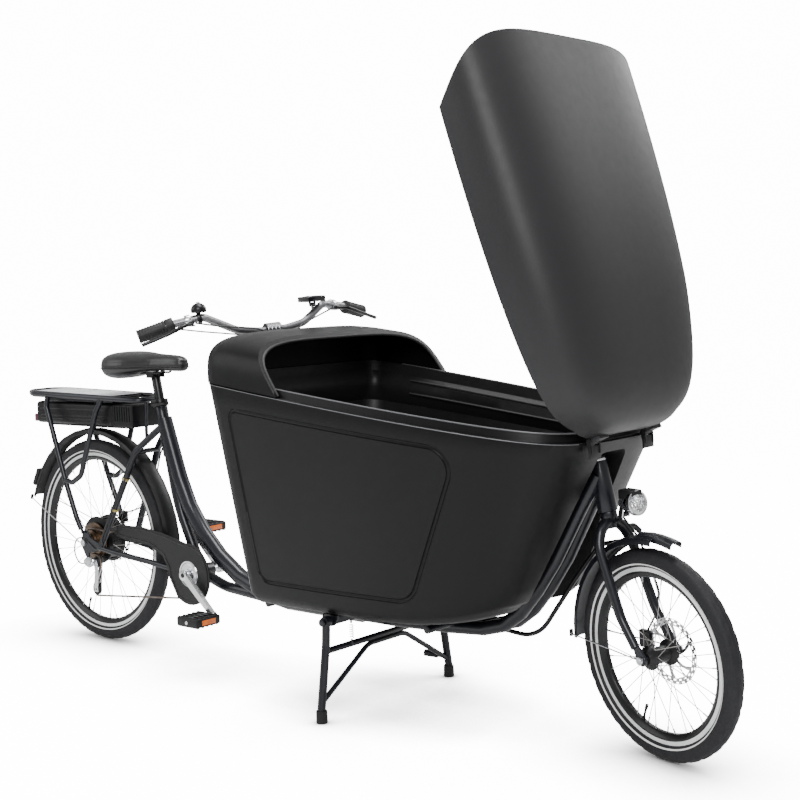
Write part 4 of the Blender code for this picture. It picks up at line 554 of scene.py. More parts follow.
def build_frame():
    p = []
    p.append(rod('main_frame', Vector((0.366, 0, 0.629)), ST, 0.0195, 14))
    p.append(tube('seat_low', bend([(0.366, 0, 0.629), SEAT_LOW, BB], 0.5, 3), 0.0165, 10))
    main = [(0.3465, 0, 0.745), (0.378, 0, 0.652), (0.409, 0, 0.562), (0.449, 0, 0.477), (0.508, 0, 0.398),
            (0.580, 0, 0.331), (0.665, 0, 0.277), (0.765, 0, 0.241), (0.8735, 0, 0.2265), (1.165, 0, 0.2265)]
    p.append(tube('main', main, 0.0248, 10))
    for s in (-1, 1):
        p.append(tube('twin', [(1.0880, 0.028 * s, 0.2335), (1.30, 0.028 * s, 0.2335), (1.49, 0.028 * s, 0.240), (1.61, 0.028 * s, 0.249),
                               (1.677, 0.028 * s, 0.267), (1.728, 0.028 * s, 0.305), (1.782, 0.028 * s, 0.369), (1.837, 0.027 * s, 0.449),
                               (1.923, 0.022 * s, 0.602), (1.952, 0.009 * s, 0.662)], 0.0185, 8))
    p.append(box('bridge', (1.097, -0.0335, 0.2215), (1.172, 0.0335, 0.2485)))
    p.append(rod('bb_shell', (BB[0], -0.036, BB[2]), (BB[0], 0.036, BB[2]), 0.0225, 14))
    p.append(tube('strut', bend([(BB[0], 0, BB[2] - 0.004), (0.60, 0, 0.240), (0.84, 0, 0.2230)], 0.2, 2), 0.016, 8))
    for s in (-1, 1):
        p.append(tube('seatstay', bend([(0.350, 0.013 * s, 0.722), (0.255, 0.044 * s, 0.645), (0.082, 0.0705 * s, 0.327)],
                                       [0.07], 4), 0.0108, 8))
        p.append(tube('chainstay', bend([(BB[0] - 0.012, 0.020 * s, BB[2]), (0.430, 0.0310 * s, 0.274),
                                         (0.285, 0.0415 * s, 0.292), (0.150, 0.0690 * s, 0.312),
                                         (0.070, 0.0705 * s, 0.322)], [0.06, 0.3, 0.12], 2), 0.0090, 8))
        y0, y1 = (0.068, 0.074) if s > 0 else (-0.074, -0.068)
        out = arc(0, REAR_R, 0.019, 150, 300, 6) + [(0.085, 0.314), (0.092, 0.330), (0.030, 0.3500), (0.012, 0.374), (-0.004, 0.372)]
        if s < 0:
            out = [(-0.019, 0.336), (-0.016, 0.318), (-0.006, 0.300), (0.004, 0.286), (0.016, 0.286), (0.020, 0.300)] + \
                  [(0.085, 0.314), (0.092, 0.330), (0.030, 0.3500), (0.012, 0.374), (-0.004, 0.372), (-0.014, 0.350)]
        p.append(plate('dropout', out, y0, y1))
    for z, x in ((0.640, 0.256),):
        p.append(rod('stay_bridge', (x, -0.044, z), (x, 0.044, z), 0.008, 8))
    p.append(rod('column_tube', col_at(0.272), col_at(0.800), 0.0185, 14))
    p.append(plate('gusset', [(0.8610, 0.2350), (1.0612, 0.2350), (1.0612, 0.2438), (1.0210, 0.2718), (0.9907, 0.2739), (0.8610, 0.2507)], -0.0057, 0.0057))
    p.append(rod('head_tube', head_at(0.575), head_at(0.695), 0.0240, 16, 0.0215))
    p.append(rod('cross_rear', (0.955, -0.165, 0.262), (0.955, 0.165, 0.262), 0.010, 8))
    p.append(rod('cross_front', (1.52, -0.150, 0.258), (1.52, 0.150, 0.258), 0.010, 8))
    ob = union('main_frame', p)
    cutters = [rod('c', ST - SEAT_DIR * 0.172, ST + SEAT_DIR * 0.03, 0.0156, 14),
               rod('c', (BB[0], -0.06, BB[2]), (BB[0], 0.06, BB[2]), 0.0122, 12),
               rod('c', head_at(0.55), head_at(0.72), 0.0152, 12),
               rod('c', col_at(0.236), col_at(0.82), 0.0138, 14),
               rod('c', (0, -0.09, REAR_R), (0, 0.09, REAR_R), 0.0067, 12)]
    give(cut(ob, cutters), 'root', 'frame_paint', 'main_frame')

    # beam across the frame that carries the stand pivots
    b = [box('stand_bracket', (1.229, -0.214, 0.2530), (1.265, 0.214, 0.2765), 0.002, 1)]
    for s in (-1, 1):
        y0, y1 = sorted((0.208 * s, 0.2155 * s))
        b.append(plate('ear', [(1.222, 0.2765), (1.272, 0.2765), (1.268, 0.262)] + arc(1.247, 0.262, 0.016, -20, -160, 6) +
                       [(1.226, 0.262)], y0, y1))
        b.append(rod('pin', (1.247, 0.210 * s, 0.262), (1.247, 0.2500 * s, 0.262), 0.0060, 12))
        b.append(rod('head', (1.247, 0.2462 * s, 0.262), (1.247, 0.2520 * s, 0.262), 0.0100, 12))
    b.append(rod('bumper', (1.205, -0.196, 0.2640), (1.232, -0.196, 0.2640), 0.009, 10))
    b.append(rod('hook', (1.258, -0.150, 0.256), (1.258, -0.150, 0.243), 0.003, 6))
    give(union('stand_bracket', b), 'root', 'frame_paint', 'stand_bracket')


# ================================================================== moulded box
SHAPE = [(0.085, 1.000), (0.18, 1.008), (0.30, 1.004), (0.42, 0.992), (0.54, 0.970), (0.64, 0.940), (0.73, 0.900),
         (0.81, 0.850), (0.875, 0.790), (0.925, 0.715), (0.958, 0.630), (0.980, 0.530), (0.992, 0.420), (0.998, 0.270)]


def refine(pts, k):
    """Catmull-Rom points between the given ones."""
    out = []
    for i in range(len(pts) - 1):
        p0, p1, p2, p3 = pts[max(0, i - 1)], pts[i], pts[i + 1], pts[min(len(pts) - 1, i + 2)]
        for j in range(k):
            t = j / k
            out.append(tuple(0.5 * (2 * b_ + (c - a) * t + (2 * a - 5 * b_ + 4 * c - d) * t * t + (-a + 3 * b_ - 3 * c + d) * t ** 3)
                             for a, b_, c, d in zip(p0, p1, p2, p3)))
    out.append(tuple(pts[-1]))
    return out


SHAPE_KEYS = SHAPE
SHAPE = refine(SHAPE_KEYS[:-1], 3) + [(0.9955, 0.345), (0.998, 0.27), (0.9995, 0.14)]


def blunt(v, s):
    """The nose is blunter low down (s 0) than at the rim (s 1)."""
    return v ** (1 - 0.4 * (1 - min(1.0, s)))


def outline(xr, xf, hw, rr, inset=0.0, s=1.0):
    """Plan outline: square rear with round corners, sides drawing in to a blunt nose."""
    xr, xf, hw, rr = xr + inset, xf - inset, hw - inset, max(rr - inset, 0.006)
    right = [(xr, -0.45 * (hw - rr))]
    for k in range(13):
        a = math.radians(180 + 90 * k / 12)
        right.append((xr + rr + rr * math.cos(a), -(hw - rr) + rr * math.sin(a)))
    for u, v in SHAPE[1:]:
        right.append((xr + u * (xf - xr), -hw * blunt(v, s)))
    return [(xr, 0.0)] + right + [(xf, 0.0)] + [(x, -y) for x, y in reversed(right)]


def tub_ring(s, inset, lift=0.0, dz=0.0):
    """Ring of the tub at height fraction s (0 floor, 1 rim)."""
    xr = XR_LOW + (XR_TOP - XR_LOW) * s
    xf = 1.790 + (2.013 - 1.790) * min(1.0, s ** 0.93)
    hw = 0.243 + (RIM_HW - 0.243) * s
    rr = 0.050 + 0.015 * s
    ring = []
    for x, y in outline(xr, xf, hw, rr, inset, s):
        nose = max(0.0, x - 1.42) / 0.36
        zb = TUB_BOTTOM + 0.052 * min(1.0, nose) ** 2
        zr = rim_z(x) - 0.004
        ring.append((x, y, zb + (zr - zb) * s + lift + dz))
    return ring


def tub_y(x, z):
    """Half width of the tub's outer face at a point on its side."""
    zb = TUB_BOTTOM + 0.052 * min(1.0, max(0.0, x - 1.42) / 0.36) ** 2
    k = min(1.0, (z - zb) / (rim_z(x) - 0.004 - zb))
    xr, xf = XR_LOW + (XR_TOP - XR_LOW) * k, 1.790 + (2.013 - 1.790) * min(1.0, k ** 0.93)
    hw = 0.243 + (RIM_HW - 0.243) * k
    u = (x - xr) / (xf - xr)
    v = 1.0
    for (u0, v0), (u1, v1) in zip(SHAPE, SHAPE[1:]):
        if u0 <= u <= u1:
            v = v0 + (v1 - v0) * (u - u0) / (u1 - u0)
    return hw * blunt(v, k)


def build_tub():
    outer = [tub_ring(0.0, 0.046), tub_ring(0.0, 0.032, 0.0008), tub_ring(0.0, 0.020, 0.004), tub_ring(0.006, 0.0115, 0.0065), tub_ring(0.012, 0.006, 0.010),
             tub_ring(0.030, 0.0018, 0.006), tub_ring(0.06, 0.0)]
    outer += [tub_ring(0.06 + 0.934 * k / 12, 0.0) for k in range(1, 13)]
    outer += [tub_ring(0.9985, 0.0012), tub_ring(1.0, 0.0030), tub_ring(1.0, 0.0125), tub_ring(1.0, 0.0138, 0.003),
              tub_ring(1.0, 0.0145, 0.019), tub_ring(1.0, 0.0155, 0.021)]
    inner = [tub_ring(0.0, 0.058, FLOOR_T), tub_ring(0.0, 0.034, FLOOR_T + 0.002), tub_ring(0.03, 0.013, 0.010),
             tub_ring(0.30, 0.0075), tub_ring(0.55, 0.0075), tub_ring(0.84, 0.0075), tub_ring(0.90, 0.034),
             tub_ring(0.955, 0.036), tub_ring(0.985, 0.022), tub_ring(1.0, 0.0215, 0.060)]
    tub = loft('box_tub', outer, mirrored=True)
    cavity = loft('cavity', inner, mirrored=True)

    def tunnel(d, w, low):
        pts = [(1.50 - d, 0.16), (1.630 - d, 0.2840 + d), (1.7150 - 0.7 * d, 0.350 + 0.8 * d),
               (1.895 - 0.8 * d, 0.650 + d), (1.918 - 0.8 * d, 0.722 + d), (2.20, 0.722 + d), (2.20, 0.16)]
        if low:
            pts = [(1.50 - d, 0.16), (1.60 - d, 0.262 + d), (1.690 - 0.7 * d, 0.316 + d), (1.770 - 0.8 * d, 0.52 + d),
                   (2.20, 0.52 + d), (2.20, 0.16)]
            return plate('tunnel', pts, 0.02, 0.106 + w, 0.006)
        t = plate('tunnel', pts, -0.060 - w, 0.060 + w, 0.022)
        for v in t.data.vertices:                # wider towards the bottom
            v.co.y *= 1.0 + max(0.0, 0.70 - v.co.z) * 1.8
        return t

    def column_way(r):
        a, b = col_at(0.20), col_at(0.93)
        return rod('way', a - F * 0.006, b - F * 0.006, 0.028 + r, 12)

    cavity = cut(cavity, [tunnel(0.008, 0.008, False), tunnel(0.008, 0.008, True), column_way(0.008)], real=True)
    tub = cut(tub, [cavity, tunnel(0.0, 0.0, False), tunnel(0.0, 0.0, True), column_way(0.0),
                    box('hinge_room', (2.0030, -0.1450, 0.7490), (2.0600, 0.1450, 0.8200))], real=True)

    # shallow raised panel outlined by a groove on each side
    corners = [(1.018, 0.824), (1.755, 0.742), (1.552, 0.350), (1.030, 0.350)]
    for s in (-1, 1):
        path = bend([Vector((x, 0, z)) for x, z in
                     [(1.30, 0.3495), corners[3], corners[0], corners[1], corners[2], (1.30, 0.3495)]],
                    [0.035, 0.030, 0.055, 0.070], 2)[:-1]
        pts = []
        fine = []
        for i, q in enumerate(path):
            nx = path[(i + 1) % len(path)]
            m = max(1, int((nx - q).length / 0.022))
            fine += [q.lerp(nx, j / m) for j in range(m)]
        for q in fine:
            pts.append((q.x, s * (tub_y(q.x, q.z) + 0.0014), q.z))
        tub = boolean(tub, tube('groove', pts, 0.0066, 6, cyclic=True), 'DIFFERENCE')
    give(tub, 'root', 'box_plastic', 'box_tub')
    two_tone(tub, 'box_inside', lambda p: (p.normal.x * (p.center[0] - 0.20) + p.normal.y * p.center[1] * 2 < -0.02) or (p.normal.z > 0.9 and p.center[2] < 0.12))


# rim-plane coordinates: r back from the hinge along the rim, h square to it
DR = Vector((-1, 0, RIM_SLOPE)).normalized()
DH = Vector((RIM_SLOPE, 0, 1)).normalized()
ARCH = 3.6
HOOD_ARCH = 4.2
REAR_RUN = (HINGE[0] - XR_TOP) / (-DR.x)


def rim_pt(r, y, h):
    return H + DR * r + Vector((0, y, 0)) + DH * h


def half_width(x):
    u = (x - XR_TOP) / (2.013 - XR_TOP)
    if u < SHAPE[0][0]:
        return RIM_HW
    for (u0, v0), (u1, v1) in zip(SHAPE, SHAPE[1:]):
        if u <= u1:
            return RIM_HW * (v0 + (v1 - v0) * (u - u0) / (u1 - u0))
    return RIM_HW * SHAPE[-1][1]


def arch(w, c, n=72, p=ARCH):
    """Points (y, h) of a boxy arch from the right edge over to the left edge."""
    out = []
    for k in range(n + 1):
        t = math.pi * k / n
        t = t + 0.16 * math.sin(4 * t) * -1.0 * 0.5
        cy, sh = math.cos(t), math.sin(t)
        out.append((-w * math.copysign(abs(cy) ** (2 / p), cy), c * abs(sh) ** (2 / p)))
    return out


LID_STATIONS = [(0.006, 0.54, 0.028), (0.010, 0.71, 0.056), (0.026, 0.89, 0.084), (0.060, 0.985, 0.106),
                (0.115, 1.0, 0.126), (0.200, 1.0, 0.142), (0.320, 1.0, 0.155), (0.450, 1.0, 0.160),
                (0.580, 1.0, 0.159), (0.700, 1.0, 0.155), (LID_LEN, 1.0, 0.150)]
REAR_LEAN = 0.95
LID_FINE = refine(LID_STATIONS, 4)


def build_lid():
    th = 0.006

    def grid(dw, dc, lift):
        rows = []
        for i, (r, f, c) in enumerate(LID_FINE):
            w = (half_width(H.x + DR.x * max(r, 0.03)) + LID_OVER) * f
            lean = REAR_LEAN * max(0.0, (r - 0.35) / (LID_LEN - 0.35))
            rr = r + (dc * (1 - i / 4) if i < 4 else 0.0) + (0.004 * (1 - abs(i - 4) / 4) if dc and i < 8 else 0.0)
            rows.append([rim_pt(rr + h * lean, y, h + lift) for y, h in arch(w - dw, c - dc, p=ARCH + 0.7 * r)])
        return rows
    lid = sheet('lid_shell', grid(0.0, 0.0, 0.0008), grid(th, th, 0.0008))
    # the pads the hinge leaves bolt to
    parts = [lid]
    for s in (-1, 1):
        parts.append(box('pad', (2.0075, 0.117 * s - 0.020, 0.7655), (2.0185, 0.117 * s + 0.020, 0.7900)))
        parts.append(rod('knuckle', (HINGE[0], 0.117 * s - 0.0135, HINGE[2]), (HINGE[0], 0.117 * s + 0.0135, HINGE[2]), 0.0072, 10))
        parts.append(box('leaf', (2.0100, 0.117 * s - 0.0130, 0.7600), (2.0185, 0.117 * s + 0.0130, 0.7660)))
    lid = union('lid_shell', parts)
    lid = cut(lid, [rod('c', (HINGE[0], -0.2, HINGE[2]), (HINGE[0], 0.2, HINGE[2]), 0.0036, 10)])
    inner = [p.index for p in lid.data.polygons
             if p.normal.dot(Vector((0.0, p.center[1], p.center[2] - rim_z(p.center[0]) + 0.04))) < 0]
    give(lid, 'lid_body', 'lid_plastic', 'lid_shell')
    lid.data.materials.append(MAT['lid_inside'])
    for i in inner:
        lid.data.polygons[i].material_index = 1


def build_hood():
    def grid(dw, dc):
        rows = []
        c0 = 0.134
        st = [(LID_LEN + 0.004, 1.0, c0, REAR_LEAN), (0.90, 1.0, c0, 0.60), (0.97, 1.0, c0, 0.30),
              (REAR_RUN - 0.062, 1.0, c0 - 0.003, 0.131), (REAR_RUN - 0.030, -0.008, c0 - 0.010, 0.131),
              (REAR_RUN - 0.010, -0.026, c0 - 0.024, 0.131), (REAR_RUN - 0.001, -0.052, c0 - 0.046, 0.131)]
        for r, f, c, lean in st:
            w = half_width(H.x + DR.x * r) + 0.003 + (0 if f == 1.0 else f)
            if dw and r > REAR_RUN - 0.03:
                r = r - 0.0085
            rows.append([rim_pt(r + h * lean, y, h) for y, h in arch(w - dw, c - dc, p=HOOD_ARCH)])
        return rows
    outer, inner = grid(0.0, 0.0), grid(0.0105, 0.0080)
    bm = bmesh.new()
    go = [[bm.verts.new(p) for p in row] for row in outer]
    gi = [[bm.verts.new(p) for p in row] for row in inner]
    nr, nc = len(go), len(go[0])
    for i in range(nr - 1):
        for j in range(nc - 1):
            bm.faces.new([go[i][j], go[i][j + 1], go[i + 1][j + 1], go[i + 1][j]])
            bm.faces.new([gi[i][j], gi[i + 1][j], gi[i + 1][j + 1], gi[i][j + 1]])
        bm.faces.new([go[i][0], go[i + 1][0], gi[i + 1][0], gi[i][0]])
        bm.faces.new([go[i][-1], gi[i][-1], gi[i + 1][-1], go[i + 1][-1]])
    for j in range(nc - 1):
        bm.faces.new([go[0][j], gi[0][j], gi[0][j + 1], go[0][j + 1]])
    bm.faces.new(go[-1])
    bm.faces.new(list(reversed(gi[-1])))
    bm.faces.new([go[-1][0], go[-1][-1], gi[-1][-1], gi[-1][0]])
    hood = add('box_hood', bm)
    give(hood, 'root', 'box_plastic', 'box_hood')


def build_hinges():
    for s, n in ((-1, 'right'), (1, 'left')):
        y = 0.117 * s
        parts = [box('hinge_bracket_' + n, (2.0155, y - 0.022, 0.7180), (2.0215, y + 0.022, 0.7480))]
        for e in (-1, 1):
            y0, y1 = sorted((y + 0.0145 * e, y + 0.0190 * e))
            parts.append(plate('ear', [(2.0155, 0.7300), (2.0235, 0.7300)] + arc(HINGE[0], HINGE[2], 0.0075, -10, 190, 8), y0, y1))
        parts.append(rod('pin', (HINGE[0], y - 0.0205, HINGE[2]), (HINGE[0], y + 0.0205, HINGE[2]), 0.0030, 10))
        give(union('hinge_bracket_' + n, parts), 'root', 'black_plastic', 'hinge_bracket_' + n)


# ================================================================== wheels
def build_wheel(pre, centre, r, tube_r, bod, hub_profile, flanges, flange_r, n_spokes, seg):
    bpy.ops.mesh.primitive_torus_add(major_segments=seg, minor_segments=8, major_radius=r - tube_r, minor_radius=tube_r,
                                     location=centre, rotation=(math.pi / 2, 0, 0))
    t = bpy.context.object
    t.name = pre + '_tyre'
    give(bake(t), bod, 'tyre_rubber', pre + '_tyre')
    ro = r - 2 * tube_r - GAP
    ri = ro - 0.0215
    prof = [(ro, -0.0125), (ro, 0.0125), (ri + 0.010, 0.0130), (ri, 0.0060), (ri, -0.0060), (ri + 0.010, -0.0130)]
    give(turned(pre + '_rim', prof, centre, steps=seg), bod, 'rim_alloy', pre + '_rim')
    parts = [turned(pre + '_hub', hub_profile, centre, steps=16)]
    for k in range(n_spokes):
        a = 2 * math.pi * (k + 0.25) / n_spokes
        s = k % 2
        b = a + (0.38 if (k // 2) % 2 else -0.38)
        p0 = centre + Vector((flange_r * math.cos(b), flanges[s], flange_r * math.sin(b)))
        p1 = centre + Vector(((ri - 0.0020) * math.cos(a), 0.004 * (1 if s else -1), (ri - 0.0020) * math.sin(a)))
        parts.append(rod('spoke', p0, p1, 0.0012, 4))
    ob = union(pre + '_hub', parts)
    return ob


def build_rear_wheel():
    prof = [(0.0075, -0.0600), (0.0118, -0.0600), (0.0118, -0.0270), (0.0600, -0.0240), (0.0780, -0.0200),
            (0.0780, -0.0160), (0.0700, -0.0120), (0.0700, 0.0240), (0.0780, 0.0280), (0.0780, 0.0320),
            (0.0600, 0.0380), (0.0220, 0.0400), (0.0220, 0.0485), (0.0075, 0.0485)]
    build_wheel('rear', REAR, REAR_R, REAR_TUBE, 'rear_wheel', prof, (-0.018, 0.030), 0.074, 16, 40)
    ax = turned('rear_axle', [(0, -0.0860), (0.0060, -0.0860), (0.0060, -0.0835), (0.0110, -0.0835), (0.0110, -0.0748),
                              (0.0062, -0.0748), (0.0062, 0.0748), (0.0110, 0.0748), (0.0110, 0.0835), (0.0060, 0.0835),
                              (0.0060, 0.0860), (0, 0.0860)], REAR, steps=8)
    give(ax, 'root', 'steel', 'rear_axle')
    build_rotor('rear_brake_rotor', REAR, 0.0495, 'rear_wheel')
    cs = [(0.0126, -0.0300), (0.0600, -0.0300), (0.0600, -0.0345), (0.0505, -0.0350), (0.0505, -0.0400), (0.0385, -0.0405),
          (0.0385, -0.0495), (0.0300, -0.0500), (0.0300, -0.0550), (0.0230, -0.0555), (0.0230, -0.0590), (0.0126, -0.0590)]
    give(turned('cassette', cs, REAR, steps=16), 'cassette', 'cassette_steel', 'cassette_sprockets')
    cal = [box('rear_brake_caliper', (0.030, 0.0440, 0.388), (0.068, 0.0575, 0.424), 0.003, 1)]
    cal = cut(cal[0], [turned('c', [(0.030, 0.0483), (0.0830, 0.0483), (0.0830, 0.0527), (0.030, 0.0527)], REAR, steps=32)])
    give(cal, 'root', 'black_alloy', 'rear_brake_caliper')


def build_rotor(name, centre, y, bod):
    ob = turned(name, [(0.0660, y), (0.0800, y), (0.0800, y + 0.0020), (0.0660, y + 0.0020)], centre, steps=24)
    parts = [ob, turned('core', [(0.0150, y), (0.0230, y), (0.0230, y + 0.0020), (0.0150, y + 0.0020)], centre, steps=16)]
    for k in range(5):
        a = 2 * math.pi * k / 5
        bm = bmesh.new()
        bmesh.ops.create_cube(bm, size=1.0)
        bm.transform(Matrix.Translation(centre + Vector((0, y + 0.001, 0))) @ Matrix.Rotation(a, 4, 'Y') @
                     Matrix.Translation((0.0440, 0, 0.006)) @ Matrix.Rotation(0.28, 4, 'Y') @ Matrix.Diagonal((0.050, 0.0018, 0.0070, 1)))
        parts.append(add('arm', bm))
    give(union(name, parts), bod, 'steel', name)


def build_front_wheel():
    prof = [(0.0065, -0.0440), (0.0150, -0.0440), (0.0230, -0.0360), (0.0290, -0.0330), (0.0290, -0.0300), (0.0200, -0.0240),
            (0.0200, 0.0200), (0.0310, 0.0270), (0.0310, 0.0300), (0.0230, 0.0345), (0.0230, 0.0395), (0.0065, 0.0395)]
    build_wheel('front', FRONT, FRONT_R, FRONT_TUBE, 'front_wheel', prof, (-0.0315, 0.0285), 0.0265, 16, 34)
    ax = turned('front_axle', [(0, -0.0700), (0.0048, -0.0700), (0.0048, -0.0670), (0.0090, -0.0670), (0.0090, -0.0592),
                               (0.0050, -0.0592), (0.0050, 0.0592), (0.0090, 0.0592), (0.0090, 0.0670), (0.0048, 0.0670),
                               (0.0048, 0.0700), (0, 0.0700)], FRONT, steps=8)
    give(ax, 'fork_body', 'steel', 'front_axle')
    build_rotor('front_brake_rotor', FRONT, 0.0402, 'front_wheel')
    cal = box('front_brake_caliper', (FRONT.x - 0.106, 0.0340, 0.2440), (FRONT.x - 0.068, 0.0500, 0.2860), 0.003, 1)
    cal = cut(cal, [turned('c', [(0.030, 0.0388), (0.0825, 0.0388), (0.0825, 0.0436), (0.030, 0.0436)], FRONT, steps=32)])
    give(cal, 'fork_body', 'black_alloy', 'front_brake_caliper')


# ================================================================== fork, guards, lamp
def build_fork():
    parts = [rod('fork', head_at(0.535), head_at(0.7005), 0.0143, 16)]
    parts.append(rod('cap', head_at(0.6965), head_at(0.7045), 0.0190, 16))
    c = head_at(0.548)
    parts.append(rod('race', head_at(0.560), head_at(0.5738), 0.0205, 16))
    for s in (-1, 1):
        pts = [head_at(0.5545) + Vector((0, 0.006 * s, 0)), head_at(0.538) + Vector((0, 0.034 * s, 0)),
               head_at(0.500) + F * 0.002 + Vector((0, 0.0520 * s, 0)),
               Vector((FRONT.x - 0.064, 0.0550 * s, 0.340)), Vector((FRONT.x - 0.020, 0.0550 * s, 0.2780))]
        parts.append(tube('blade', bend(pts, [0.05, 0.08, 0.14], 2), 0.0142, 8, taper=0.76))
        y0, y1 = sorted((0.0520 * s, 0.0580 * s))
        parts.append(plate('dropout', arc(FRONT.x, FRONT.z, 0.0145, -150, 40, 7) + [(FRONT.x - 0.012, 0.2860), (FRONT.x - 0.028, 0.2790)], y0, y1))
    # steering arm for the tie rod, on the left
    a = HEAD_ARM + Vector((0, STEER_ARM, 0))
    up = HEAD_ARM + U * 0.030
    parts.append(tube('arm', bend([up + Vector((0, 0.050, 0)), up + Vector((0, 0.070, 0.0)), a + U * 0.0135], 0.01, 2), 0.0070, 8))
    parts.append(rod('ball_stud', a + U * 0.0165, a + U * 0.0060, 0.0050, 8))
    # lamp bracket
    lp = LAMP_PIVOT
    parts.append(tube('bracket', [c, c + F * 0.035 + U * 0.004, Vector((lp.x, 0, lp.z))], 0.0045, 6))
    parts.append(rod('bracket_eye', lp + Vector((0, -0.0085, 0)), lp + Vector((0, 0.0085, 0)), 0.0068, 10))
    ob = union('fork', parts)
    ob = cut(ob, [rod('c', FRONT + Vector((0, -0.09, 0)), FRONT + Vector((0, 0.09, 0)), 0.0056, 12)])
    give(ob, 'fork_body', 'frame_paint', 'fork')

    lamp = [rod('headlamp', lp + Vector((0.000, 0, 0.026)), lp + Vector((0.046, 0, 0.032)), 0.015, 14, 0.029),
            rod('face', lp + Vector((0.0455, 0, 0.0319)), lp + Vector((0.0520, 0, 0.0328)), 0.029, 14, 0.026)]
    for s in (-1, 1):
        y0, y1 = sorted((0.0092 * s, 0.0125 * s))
        lamp.append(plate('ear', [(lp.x - 0.0075, lp.z - 0.006), (lp.x + 0.0075, lp.z - 0.006), (lp.x + 0.0140, lp.z + 0.022),
                                  (lp.x + 0.001, lp.z + 0.022)], y0, y1))
    lamp.append(box('visor', (lp.x + 0.004, -0.018, lp.z + 0.038), (lp.x + 0.050, 0.018, lp.z + 0.0625), 0.004, 1))
    lamp = give(union('headlamp', lamp), 'lamp_body', 'lamp_chrome', 'headlamp')
    m0 = rest_matrix('lamp_body')
    mi = m0.inverted()
    two_tone(lamp, 'black_plastic', lambda p: (mi @ p.center).z > lp.z + 0.046 or (mi @ p.center).x < lp.x + 0.010)


# ================================================================== assembly of the rest
def guard_arc(name, centre, r, a0, a1, half, steps):
    """Arc of guard; angles are measured from forward, upward positive."""
    prof = [(r - 0.0180, half), (r - 0.0095, half * 0.985), (r - 0.0045, half * 0.88), (r - 0.0014, half * 0.52), (r, 0.0), (r - 0.0014, -half * 0.52),
            (r - 0.0045, -half * 0.88), (r - 0.0095, -half * 0.985), (r - 0.0180, -half),
            (r - 0.0182, -half + 0.0018), (r - 0.0102, -half * 0.985 + 0.0020), (r - 0.0062, -half * 0.80), (r - 0.0033, -half * 0.48), (r - 0.0020, 0.0),
            (r - 0.0033, half * 0.48), (r - 0.0062, half * 0.80), (r - 0.0102, half * 0.985 - 0.0020), (r - 0.0182, half - 0.0018)]
    rings = []
    for k in range(steps + 1):
        a = math.radians(a0 + (a1 - a0) * k / steps)
        rings.append([centre + Vector((q * math.cos(a), y, q * math.sin(a))) for q, y in prof])
    return loft(name, rings)


def build_guards():
    g = [guard_arc('rear_mudguard', REAR, 0.3720, -2, 160, 0.0262, 18)]
    give(g[0], 'root', 'black_plastic', 'rear_mudguard')
    gc = FRONT + Vector((0.002, 0, 0.014))
    g = guard_arc('front_mudguard', gc, 0.2800, 86, 184, 0.0300, 12)
    tongue = guard_arc('t', gc, 0.2860, 74, 98, 0.0180, 4)
    give(hug_tyre(union('front_mudguard', [g, tongue]), gc, 0.0095), 'fork_body', 'frame_paint', 'front_mudguard')


